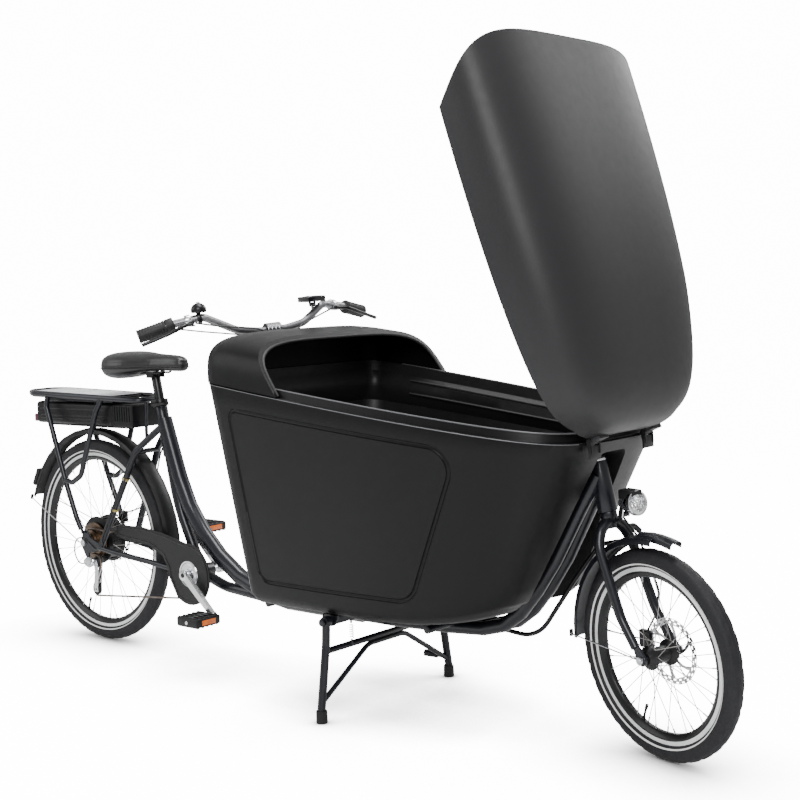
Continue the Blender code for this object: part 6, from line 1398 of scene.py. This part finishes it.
def build_rotor(name, centre, y, bod):
    bm = bmesh.new()
    rad = (0.0640, 0.0672, 0.0706, 0.0740, 0.0772, 0.0800)
    n = 120
    rows = []
    for i, q in enumerate(rad):
        row = []
        for j in range(n):
            a = 2 * math.pi * j / n
            w = 0.0009 * math.sin(12 * a) if i in (0, 5) else 0.0
            if i == 5:
                w = -abs(w)
            row.append(bm.verts.new(centre + Vector(((q + w) * math.cos(a), y, (q + w) * math.sin(a)))))
        rows.append(row)
    for i in range(len(rad) - 1):
        for j in range(n):
            hole = (i == 1 and (j % 5) in (0, 1)) or (i == 3 and (j % 5) in (2, 3))
            if not hole:
                bm.faces.new([rows[i][j], rows[i][(j + 1) % n], rows[i + 1][(j + 1) % n], rows[i + 1][j]])
    bmesh.ops.solidify(bm, geom=bm.faces[:], thickness=0.0020)
    parts = [add(name, bm), turned('core', [(0.0150, y), (0.0235, y), (0.0235, y + 0.0022), (0.0150, y + 0.0022)], centre, steps=32)]
    for k in range(6):
        a = 2 * math.pi * k / 6
        pts = [centre + Vector(((0.021 + 0.045 * t) * math.cos(a + 0.55 * t), y + 0.001, (0.021 + 0.045 * t) * math.sin(a + 0.55 * t))) for t in (0, 0.25, 0.5, 0.75, 1.0)]
        bm = bmesh.new()
        vr = []
        for i, p in enumerate(pts):
            t = (pts[min(i + 1, 4)] - pts[max(i - 1, 0)]).normalized()
            q = Vector((-t.z, 0, t.x)) * (0.0045 - 0.0012 * math.sin(math.pi * i / 4))
            vr.append([bm.verts.new(p + q + Vector((0, e, 0))) for e in (-0.0009, 0.0009)] + [bm.verts.new(p - q + Vector((0, e, 0))) for e in (0.0009, -0.0009)])
        for u, v in zip(vr, vr[1:]):
            for i in range(4):
                bm.faces.new([u[i], u[(i + 1) % 4], v[(i + 1) % 4], v[i]])
        bm.faces.new(vr[0])
        bm.faces.new(vr[-1])
        parts.append(add('arm', bm))
    for k in range(6):
        a = 2 * math.pi * (k + 0.5) / 6
        p = centre + Vector((0.0190 * math.cos(a), 0, 0.0190 * math.sin(a)))
        parts.append(wire('bolt', [p + Vector((0, y - 0.0006, 0)), p + Vector((0, y + 0.0040, 0))], 0.0030, 12))
    give(union(name, parts), bod, 'steel', name)


def inset_poly(pts, d):
    """Outline moved inwards by d, for an outline given in the x-z plane."""
    n = len(pts)
    area = sum(pts[i][0] * pts[(i + 1) % n][1] - pts[(i + 1) % n][0] * pts[i][1] for i in range(n))
    sgn = 1 if area > 0 else -1
    out = []
    for i in range(n):
        a, b, c = Vector(pts[i - 1]), Vector(pts[i]), Vector(pts[(i + 1) % n])
        u, v = (b - a).normalized(), (c - b).normalized()
        m = Vector((-(u.y + v.y), u.x + v.x)) * sgn
        m = m.normalized() if m.length > 1e-6 else Vector((-u.y, u.x)) * sgn
        k = 1 / max(0.5, m.dot(Vector((-u.y, u.x)) * sgn))
        out.append(tuple(b + m * d * k))
    return out


def build_extras():
    # guard stays, reflector
    for s in (-1, 1):
        extra(wire('v', [(-0.352, 0.0262 * s, 0.4540), (-0.345, 0.0330 * s, 0.4530), (-0.010, 0.0860 * s, 0.3350), (-0.002, 0.0860 * s, 0.3330)], 0.0019, 10),
              'root', 'polished_alloy', 'rear_guard_stay_' + ('right' if s < 0 else 'left'))
        g = FRONT + Vector((0.002, 0, 0.014)) + Vector((-0.2790, 0.0300 * s, -0.012))
        extra(wire('v', [g + Vector((0, 0, 0.004)), g + Vector((0.004, 0.006 * s, 0.004)), FRONT + Vector((-0.012, 0.0640 * s, 0.002)), FRONT + Vector((-0.004, 0.0640 * s, 0))], 0.0018, 10),
              'fork_body', 'polished_alloy', 'front_guard_stay_' + ('right' if s < 0 else 'left'))
        extra(slab('v', g + Vector((-0.002, 0, 0.004)), (-1, 0, 0), 0.010, 0.018, 0.006), 'fork_body', 'black_plastic', 'front_guard_clip_' + ('right' if s < 0 else 'left'))
        extra(slab('v', (-0.352, 0.0262 * s, 0.4540), (-1, 0, 0.3), 0.010, 0.018, 0.006), 'root', 'black_plastic', 'rear_guard_clip_' + ('right' if s < 0 else 'left'))
    a = math.radians(150)
    n = Vector((math.cos(a), 0, math.sin(a)))
    c = REAR + n * 0.3810
    extra(slab('v', c, n, 0.046, 0.064, 0.016, 0.004), 'root', 'black_plastic', 'reflector_housing')
    extra(slab('v', c + n * 0.0090, n, 0.038, 0.050, 0.006, 0.0028), 'root', 'reflector_red', 'rear_reflector')
    extra(slab('v', (-0.3060, 0, 0.731), (-1, 0, 0), 0.050, 0.016, 0.004, 0.0015), 'battery_body', 'reflector_red', 'rear_lamp_lens')
    # rack plate, straps of the deck and battery ribs
    z = 0.8165
    extra(rack_tilt(box('v', (-0.232, -0.0625, z), (0.162, 0.0625, z + 0.0022), 0.0010)), 'root', 'deck_pale', 'rack_plate')
    for k in range(3):
        x = -0.150 + 0.115 * k
        extra(rack_tilt(box('v', (x, -0.048, z + 0.0022), (x + 0.060, 0.048, z + 0.0034), 0.0005)), 'root', 'deck_pale', 'rack_plate_rib_%d' % k)
    for s in (-1, 1):
        for k, zz in enumerate((0.7330, 0.7440, 0.7660)):
            extra(box('v', (-0.235, min(0.0505 * s, 0.0532 * s), zz), (0.120, max(0.0505 * s, 0.0532 * s), zz + 0.0045), 0.0010), 'battery_body', 'black_alloy', 'battery_rib_%s_%d' % ('r' if s < 0 else 'l', k))
    extra(wire('v', [(0.060, -0.0520, 0.7550), (0.060, -0.0545, 0.7550)], 0.0070, 20), 'battery_body', 'steel', 'battery_lock')
    # pedal reflectors and treads
    for s, sign, nme in ((-1, 1, 'right'), (1, -1, 'left')):
        tip = BBV + CR * sign
        for e in (-1, 1):
            extra(slab('v', (tip.x + 0.0462 * e, 0.1370 * s, tip.z), (e, 0, 0), 0.052, 0.0150, 0.0030, 0.0010), 'pedal_%s_body' % nme, 'reflector_amber',
                  'pedal_%s_reflector_%s' % (nme, 'front' if e > 0 else 'rear'))
        for e in (-1, 1):
            for k in range(5):
                y = (0.100 + 0.018 * k) * s
                extra(box('v', (tip.x - 0.044, min(y, y + 0.006 * s), tip.z + (0.0128 if e > 0 else -0.0152)), (tip.x + 0.044, max(y, y + 0.006 * s), tip.z + (0.0152 if e > 0 else -0.0128)), 0.0008),
                      'pedal_%s_body' % nme, 'grip_rubber', 'pedal_%s_tread_%s%d' % (nme, 'a' if e > 0 else 'b', k))
    # chain guard relief and the silver ring in its opening
    cx, cz = BB[0], BB[2]
    out = arc(cx, cz, 0.0960, 96, -128, 40)
    out += [(0.400, 0.258), (0.396, 0.285), (0.372, 0.322), (0.310, 0.348), (0.180, 0.357), (0.150, 0.364), (0.140, 0.378),
            (0.152, 0.394), (0.180, 0.402), (0.270, 0.405), (0.372, 0.394)]
    inn = inset_poly(out, 0.0095)
    extra(wire('v', [Vector((x, -0.0562, q)) for x, q in inn] + [Vector((inn[0][0], -0.0562, inn[0][1]))], 0.0019, 8), 'root', 'black_plastic', 'chain_guard_rib')
    extra(turned('v', [(0.0360, -0.0572), (0.0400, -0.0580), (0.0415, -0.0562), (0.0360, -0.0555)], BBV, steps=32), 'root', 'polished_alloy', 'chain_guard_ring')
    extra(turned('v', [(0.0180, -0.0610), (0.0300, -0.0600), (0.0345, -0.0566), (0.0345, -0.0500), (0.0180, -0.0500)], BBV, steps=32), 'crankset', 'rim_alloy', 'crank_spider')
    for e, r_ in ((-0.0656, 0.0080),):
        extra(turned('v', [(0.0, -0.0830), (0.0060, -0.0826), (0.0075, -0.0806), (0.0075, -0.0790), (0.0, -0.0790)], BBV, steps=24), 'crankset', 'black_alloy', 'crank_bolt_cap')
    # hoses
    def hose(name, pts, bod, r=0.0026, rad=0.05):
        extra(wire('v', bend(pts, rad, 4), r, 10), bod, 'hose_rubber', name)
    for s, nme in ((-1, 'right'), (1, 'left')):
        piv = LEVER_R if s < 0 else LEVER_L
        a0 = piv + Vector((0.000, -0.010 * s, 0.000))
        hose('brake_hose_' + nme, [a0, a0 + Vector((0.020, -0.050 * s, -0.012)), CT + Vector((0.060, 0.060 * s, 0.008)), CT + Vector((0.045, 0.016 * s, -0.050)),
                                   col_at(0.860) + F * 0.020 + Vector((0, 0.010 * s, 0))], 'column', 0.0026, 0.04)
    pa, d = on_bar(-0.262)
    hose('gear_cable', [pa + Vector((0.010, 0, -0.018)), pa + Vector((0.030, 0.055, -0.030)), CT + Vector((0.036, -0.070, -0.010)), CT + Vector((0.024, -0.014, -0.030)),
                        col_at(0.850) + F * 0.018 + Vector((0, -0.012, 0))], 'column', 0.0024, 0.04)
    hose('derailleur_cable', [(0.110, -0.0700, 0.3180), (0.060, -0.0760, 0.3120), (0.000, -0.0740, 0.3500), (-0.052, -0.0720, 0.3420), (-0.066, -0.0700, 0.2900),
                              (-0.040, -0.0690, 0.2560), (-0.004, -0.0680, 0.2640)], 'root', 0.0024, 0.05)
    hose('rear_brake_hose', [(0.330, 0.030, 0.700), (0.245, 0.060, 0.620), (0.160, 0.0850, 0.460), (0.100, 0.0700, 0.430), (0.062, 0.0520, 0.418)], 'root', 0.0026, 0.06)
    hose('rear_cable_right', [(0.340, -0.028, 0.700), (0.262, -0.055, 0.630), (0.150, -0.0840, 0.430), (0.100, -0.0830, 0.350), (0.106, -0.0740, 0.322)], 'root', 0.0024, 0.06)
    for q, s in (((0.205, 0.0), -1), ((0.150, 0.0), -1), ((0.185, 0), 1)):
        k = (0.255 - q[0]) / (0.255 - 0.082)
        p = Vector((q[0], (0.044 + (0.0705 - 0.044) * k) * s, 0.645 + (0.327 - 0.645) * k))
        dd = Vector((0.082 - 0.255, (0.0705 - 0.044) * s, 0.327 - 0.645)).normalized()
        extra(wire('v', [p - dd * 0.0045, p + dd * 0.0045], 0.0126, 20), 'root', 'clip_yellow', 'hose_clip_%s_%d' % ('r' if s < 0 else 'l', int(q[0] * 1000)))
    hose('front_brake_hose', [head_at(0.560) + F * 0.024 + Vector((0, 0.020, 0)), head_at(0.500) + F * 0.020 + Vector((0, 0.060, 0)), Vector((FRONT.x - 0.070, 0.0760, 0.380)),
                              Vector((FRONT.x - 0.075, 0.0640, 0.320)), Vector((FRONT.x - 0.084, 0.0440, 0.284))], 'fork_body', 0.0026, 0.05)
    # lamp: lens and its ring
    lp = LAMP_PIVOT
    ax = Vector((0.046, 0, 0.006)).normalized()
    c = lp + Vector((0.047, 0, 0.0322))
    extra(turned('v', [(0.0, 0.0085), (0.0120, 0.0078), (0.0215, 0.0052), (0.0262, 0.0008), (0.0, 0.0)], c, axis=ax, steps=40), 'lamp_body', 'lamp_lens', 'headlamp_lens')
    extra(turned('v', [(0.0262, -0.004), (0.0298, -0.004), (0.0298, 0.0050), (0.0280, 0.0062), (0.0262, 0.0050)], c, axis=ax, steps=40), 'lamp_body', 'lamp_chrome', 'headlamp_ring')
    # hood front edge: a bevel bead whose grey is a painted highlight along the edge, and the seal; the rim's seam gets
    # a painted highlight line further down
    st = [(LID_LEN + 0.004, 0.134)]
    w = half_width(H.x + DR.x * st[0][0]) + 0.003
    arcp = arch(w - 0.0035, 0.134 - 0.0035, 96, HOOD_ARCH)
    extra(wire('v', [rim_pt(LID_LEN + 0.0075 + h * REAR_LEAN, y, h) for y, h in arcp], 0.0024, 10), 'root', 'highlight_and_screen_grey', 'hood_edge_highlight')
    arcq = arch(w - 0.0130, 0.134 - 0.0120, 96, HOOD_ARCH)
    extra(wire('v', [rim_pt(LID_LEN + 0.0070 + h * REAR_LEAN, y, h) for y, h in arcq], 0.0046, 10), 'root', 'seal_rubber', 'hood_seal')
    # beads along the tub rim, their grey a painted highlight on the lip
    ring = tub_ring(1.0, 0.0146, 0.0212)
    pts = [Vector(p) for p in ring]
    i0 = min(range(len(pts)), key=lambda i: (pts[i] - Vector((XR_TOP + 0.0146, -0.25, pts[i].z))).length)
    run = [p for p in pts if not (p.x > 1.995 and abs(p.y) < 0.15)]
    right = [p for p in run if p.y < -0.03 and p.x > XR_TOP + 0.09]
    left = [p for p in run if p.y > 0.03 and p.x > XR_TOP + 0.09]
    right.sort(key=lambda p: p.x)
    left.sort(key=lambda p: p.x)
    for nme, rr in (('right', right), ('left', left)):
        extra(wire('v', rr, 0.0018, 8), 'root', 'highlight_and_screen_grey', 'rim_highlight_bead_' + nme)
    # thin grey line just under the rim: a painted highlight on the seam
    low = [Vector(p) for p in tub_ring(0.9975, -0.0004)]
    for nme, s in (('right', -1), ('left', 1)):
        rr = sorted([p for p in low if p.y * s > 0.03 and p.x > XR_TOP + 0.01 and not (p.x > 1.99 and abs(p.y) < 0.15)], key=lambda p: p.x)
        extra(wire('v', rr, 0.0011, 8), 'root', 'highlight_and_screen_grey', 'rim_seam_highlight_' + nme)
    # ledges round the inside of the tub
    for lvl, ins, rad, nme in ((0.905, 0.0375, 0.0026, 'ledge_low'), (0.968, 0.0360, 0.0026, 'ledge_high')):
        ring_ = [Vector(p) for p in tub_ring(lvl, ins)]
        for side_, s in (('right', -1), ('left', 1)):
            rr = sorted([p for p in ring_ if p.y * s > 0.05 and p.x > XR_TOP + 0.16 and not (p.x > 1.93 and abs(p.y) < 0.20)], key=lambda p: p.x)
            if len(rr) > 3:
                extra(wire('v', rr, rad, 8), 'root', 'trim_dark', nme + '_' + side_)
    # grip ribs, stem bolts
    for s, nme in ((-1, 'right'), (1, 'left')):
        ys = [0.300 + 0.0075 * k for k in range(9)]
        rings = []
        for y in ys:
            p, d = on_bar(y * s)
            rings.append(wire('g', [p - d * 0.0018, p + d * 0.0018], 0.0196, 28))
        extra(union('v', rings), 'column', 'grip_rubber', 'grip_ribs_' + nme)
        p, d = on_bar(0.3660 * s)
        extra(wire('v', [p, p + d * 0.0030, p + d * 0.0042], 0.0200, 28), 'column', 'grip_rubber', 'bar_end_' + nme)
        p, d = on_bar(0.2965 * s)
        extra(wire('v', [p - d * 0.0006, p + d * 0.0045], 0.0205, 28), 'column', 'grip_rubber', 'grip_collar_' + nme)
    for s in (-1, 1):
        extra(wire('v', [CT + Vector((0.0165, 0.014 * s, -0.010)), CT + Vector((0.0225, 0.014 * s, -0.010))], 0.0040, 16), 'column', 'steel', 'clamp_bolt_' + ('right' if s < 0 else 'left'))
    extra(rod('v', CT - U * 0.030, CT - U * 0.013, 0.0165, 16), 'column', 'polished_alloy', 'stem_collar')
    extra(union('v', [wire('s', [CT + Vector((0, y - 0.0042, 0)), CT + Vector((0, y + 0.0042, 0))], 0.0208, 28) for y in (-0.018, -0.006, 0.006, 0.018)]
                + [wire('s', [CT + Vector((0, -0.0228, 0)), CT + Vector((0, 0.0228, 0))], 0.0200, 28)]), 'column', 'polished_alloy', 'bar_clamp_sleeve')
    # bell cover and screw, head cap ring
    pb_, db_ = on_bar(-0.206)
    extra(turned('v', [(0, 0.0425), (0.0090, 0.0412), (0.0170, 0.0362), (0.0218, 0.0280), (0.0226, 0.0200), (0.0205, 0.0150), (0, 0.0140)], pb_, axis=(0, 0, 1), steps=28),
          'column', 'black_alloy', 'bell_cover')
    extra(turned('v', [(0, 0.0460), (0.0050, 0.0455), (0.0062, 0.0425), (0, 0.0410)], pb_, axis=(0, 0, 1), steps=20), 'column', 'steel', 'bell_screw')
    extra(rod('v', head_at(0.6950), head_at(0.7005), 0.0212, 20), 'root', 'polished_alloy', 'head_cap_ring')
    # screen glass on the display
    q = DISPLAY_PIVOT
    extra(box('v', (q.x - 0.0170, q.y - 0.0240, q.z + 0.0242), (q.x + 0.0250, q.y + 0.0240, q.z + 0.0252), 0.0004), 'display_body', 'highlight_and_screen_grey', 'display_glass')


def build_cushion():
    """Padded top: a slightly smaller closed form blown up as cloth, then its piping."""
    st = [(0.126, 0.034, 0.026, 0.026), (0.138, 0.070, 0.036, 0.040), (0.168, 0.092, 0.043, 0.046), (0.215, 0.098, 0.045, 0.042),
          (0.262, 0.089, 0.043, 0.033), (0.305, 0.066, 0.040, 0.024), (0.345, 0.044, 0.036, 0.020), (0.395, 0.033, 0.034, 0.020),
          (0.440, 0.029, 0.031, 0.021), (0.463, 0.022, 0.024, 0.020), (0.472, 0.010, 0.012, 0.012)]
    rings = []
    for x, w, up, dn in refine(st, 3):
        ring = []
        x = 0.300 + (x - 0.300) * 0.985 - 0.008
        for k in range(28):
            t = 2 * math.pi * k / 28
            cy, sz = math.cos(t), math.sin(t)
            z = 0.915 + up * 0.90 * sz ** 0.8 if sz >= 0 else 0.915 - dn * abs(sz) ** 0.8
            ring.append((x, 0.965 * w * math.copysign(abs(cy) ** 0.75, cy), z))
        rings.append(ring)
    ob = loft('cushion', rings)
    m = ob.modifiers.new('re', 'REMESH')
    m.mode = 'VOXEL'
    m.voxel_size = 0.0050
    ob = bake(ob)
    rest = [v.co.copy() for v in ob.data.vertices]
    sc = bpy.context.scene
    low = [v.index for v in ob.data.vertices if v.co.z < 0.9040]
    vg = ob.vertex_groups.new(name='pin')
    vg.add(low, 1.0, 'REPLACE')
    c = ob.modifiers.new('cloth', 'CLOTH')
    c.settings.quality = 6
    c.settings.use_pressure = True
    c.settings.uniform_pressure_force = 4.0
    c.settings.tension_stiffness = 25
    c.settings.compression_stiffness = 25
    c.settings.bending_stiffness = 1.0
    c.settings.vertex_group_mass = 'pin'
    c.settings.effector_weights.gravity = 0.0
    c.point_cache.frame_start, c.point_cache.frame_end = 1, 20
    for f in range(1, 21):
        sc.frame_set(f)
    dg = bpy.context.evaluated_depsgraph_get()
    me = bpy.data.meshes.new_from_object(ob.evaluated_get(dg))
    moved = [v.co.copy() for v in me.vertices]
    ob.modifiers.remove(c)
    sc.frame_set(1)
    bpy.data.meshes.remove(me)
    cap = 0.0060
    for v, a, b in zip(ob.data.vertices, rest, moved):
        d = b - a
        v.co = a + (d if d.length < cap else d.normalized() * cap)
    # keep clear of the shell underneath and sink a stitched seam round the flank
    for v in ob.data.vertices:
        x, y, z = v.co
        flank = abs(z - 0.9235)
        if flank < 0.0045:
            n = Vector((x - 0.26, y * 1.4, 0))
            if n.length > 1e-4:
                v.co -= n.normalized() * 0.0022 * (1 - flank / 0.0045)
    s = ob.modifiers.new('sub', 'SUBSURF')
    s.levels = s.render_levels = 1
    ob = bake(ob)
    give(ob, 'saddle_body', 'saddle_vinyl', 'saddle_cushion', angle=80)
    # piping along the lower flank
    loop = []
    for k in range(96):
        t = 2 * math.pi * k / 96
        x = 0.300 + 0.168 * math.cos(t)
        st_x = (x + 0.0) 
        w = 0.0
        for (x0, w0, *_), (x1, w1, *_) in zip(st, st[1:]):
            if x0 <= x + 0.000 <= x1:
                w = w0 + (w1 - w0) * (x - x0) / (x1 - x0)
        loop.append((x - 0.008, w * 0.99 * math.copysign(min(1.0, abs(math.sin(t)) * 60), math.sin(t)), 0.9060))
    keep = [Vector(p) for p in loop if abs(p[1]) > 0.012]
    for nme, s_ in (('left', 1), ('right', -1)):
        run = sorted([p for p in keep if p.y * s_ > 0], key=lambda p: p.x)
        extra(wire('v', run, 0.0016, 8), 'saddle_body', 'black_plastic', 'saddle_piping_' + nme)



build_frame()
build_tub()
build_hood()
build_lid()
build_hinges()
build_rear_wheel()
build_front_wheel()
build_fork()
build_guards()
build_drive()
build_seat()
build_rack()
build_cockpit()
build_stand()
build_extras()

# ------------------------------------------------------------------ floor, light, camera
def stage_all():
    gz = -ORIGIN[2] - 0.001
    bm = bmesh.new()
    prof = [(-9.0, 0.0)] + [(5.0 + 3.0 * math.sin(math.radians(a)), 3.0 - 3.0 * math.cos(math.radians(a))) for a in range(0, 91, 6)] + [(8.0, 12.0)]
    rows = []
    view = Vector((math.cos(CAM_YAW), math.sin(CAM_YAW), 0))
    side = Vector((-view.y, view.x, 0))
    for w in (-16, 16):
        rows.append([bm.verts.new(view * x + side * w + Vector((0, 0, gz + z))) for x, z in prof])
    for i in range(len(prof) - 1):
        bm.faces.new([rows[0][i], rows[0][i + 1], rows[1][i + 1], rows[1][i]])
    me = bpy.data.meshes.new('floor')
    bm.to_mesh(me)
    bm.free()
    me.polygons.foreach_set('use_smooth', [True] * len(me.polygons))
    fl = bpy.data.objects.new('floor', me)
    COL.objects.link(fl)
    m = surf('floor_pale', (0.93, 0.93, 0.93), 0.28, 0, 60, 0.0, 0.01, 0.6, spec=0.35)
    b = m.node_tree.nodes['Principled BSDF']
    b.inputs['Emission Color'].default_value = (1, 1, 1, 1)
    nt = m.node_tree
    # the camera-only glow is scaled by ambient occlusion to the fifth power: a painted contact shadow on the floor
    # under the bike
    ao = nt.nodes.new('ShaderNodeAmbientOcclusion')
    ao.inputs['Distance'].default_value = 0.30
    lpth = nt.nodes.new('ShaderNodeLightPath')
    k1 = nt.nodes.new('ShaderNodeMath')
    k1.operation = 'MULTIPLY'
    pw = nt.nodes.new('ShaderNodeMath')
    pw.operation = 'POWER'
    pw.inputs[1].default_value = 5.0
    nt.links.new(ao.outputs['AO'], pw.inputs[0])
    nt.links.new(pw.outputs[0], k1.inputs[0])
    nt.links.new(lpth.outputs['Is Camera Ray'], k1.inputs[1])
    k2 = nt.nodes.new('ShaderNodeMath')
    k2.operation = 'MULTIPLY'
    k2.inputs[1].default_value = FLOOR_GLOW
    nt.links.new(k1.outputs[0], k2.inputs[0])
    nt.links.new(k2.outputs[0], b.inputs['Emission Strength'])
    me.materials.append(m)
    w = bpy.data.worlds.new('studio')
    w.use_nodes = True
    w.node_tree.nodes['Background'].inputs[0].default_value = (1, 1, 1, 1)
    wl = w.node_tree.nodes.new('ShaderNodeLightPath')
    wm = w.node_tree.nodes.new('ShaderNodeMapRange')
    wm.inputs['To Min'].default_value = WORLD
    wm.inputs['To Max'].default_value = FLOOR_GLOW
    w.node_tree.links.new(wl.outputs['Is Camera Ray'], wm.inputs['Value'])
    w.node_tree.links.new(wm.outputs['Result'], w.node_tree.nodes['Background'].inputs[1])
    bpy.context.scene.world = w

    def area(name, loc, target, size, size_y, power):
        l = bpy.data.lights.new(name, 'AREA')
        l.shape = 'RECTANGLE'
        l.size, l.size_y, l.energy = size, size_y, power
        o = bpy.data.objects.new(name, l)
        COL.objects.link(o)
        d = Vector(target) - Vector(loc)
        o.matrix_world = Matrix.Translation(loc) @ d.to_track_quat('-Z', 'Y').to_matrix().to_4x4()
    for a in LIGHTS:
        area(*a)

    cam = bpy.data.cameras.new('camera')
    cam.sensor_width = 36
    cam.lens = 1413.124 * 36 / 800
    cam.clip_end = 100
    co = bpy.data.objects.new('camera', cam)
    COL.objects.link(co)
    pit, roll = math.radians(-4.582), math.radians(-2.198)
    d = Vector((math.cos(pit) * math.cos(CAM_YAW), math.cos(pit) * math.sin(CAM_YAW), math.sin(pit)))
    right = d.cross(Vector((0, 0, 1))).normalized()
    up = right.cross(d)
    c, s = math.cos(roll), math.sin(roll)
    r2, u2 = c * right + s * up, -s * right + c * up
    p = Vector((3.804, -2.834, 1.128)) - Vector(ORIGIN)
    co.matrix_world = Matrix(((r2.x, u2.x, -d.x, p.x), (r2.y, u2.y, -d.y, p.y), (r2.z, u2.z, -d.z, p.z), (0, 0, 0, 1)))
    bpy.context.scene.camera = co


CAM_YAW = math.radians(131.125)
WORLD = 0.50
FLOOR_GLOW = 14.0
LIGHTS = [('key', (3.2, -4.2, 3.6), (0.2, 0, 0.4), 2.6, 2.6, 210.0), ('side', (-3.4, -3.2, 2.4), (0, 0, 0.2), 3.0, 3.0, 60.0),
          ('back', (0.5, 4.4, 3.4), (0.2, 0, 0.5), 3.0, 2.0, 110.0), ('top', (0.1, 0.2, 4.2), (0.1, 0, 0.3), 3.0, 1.6, 190.0)]

stage_all()
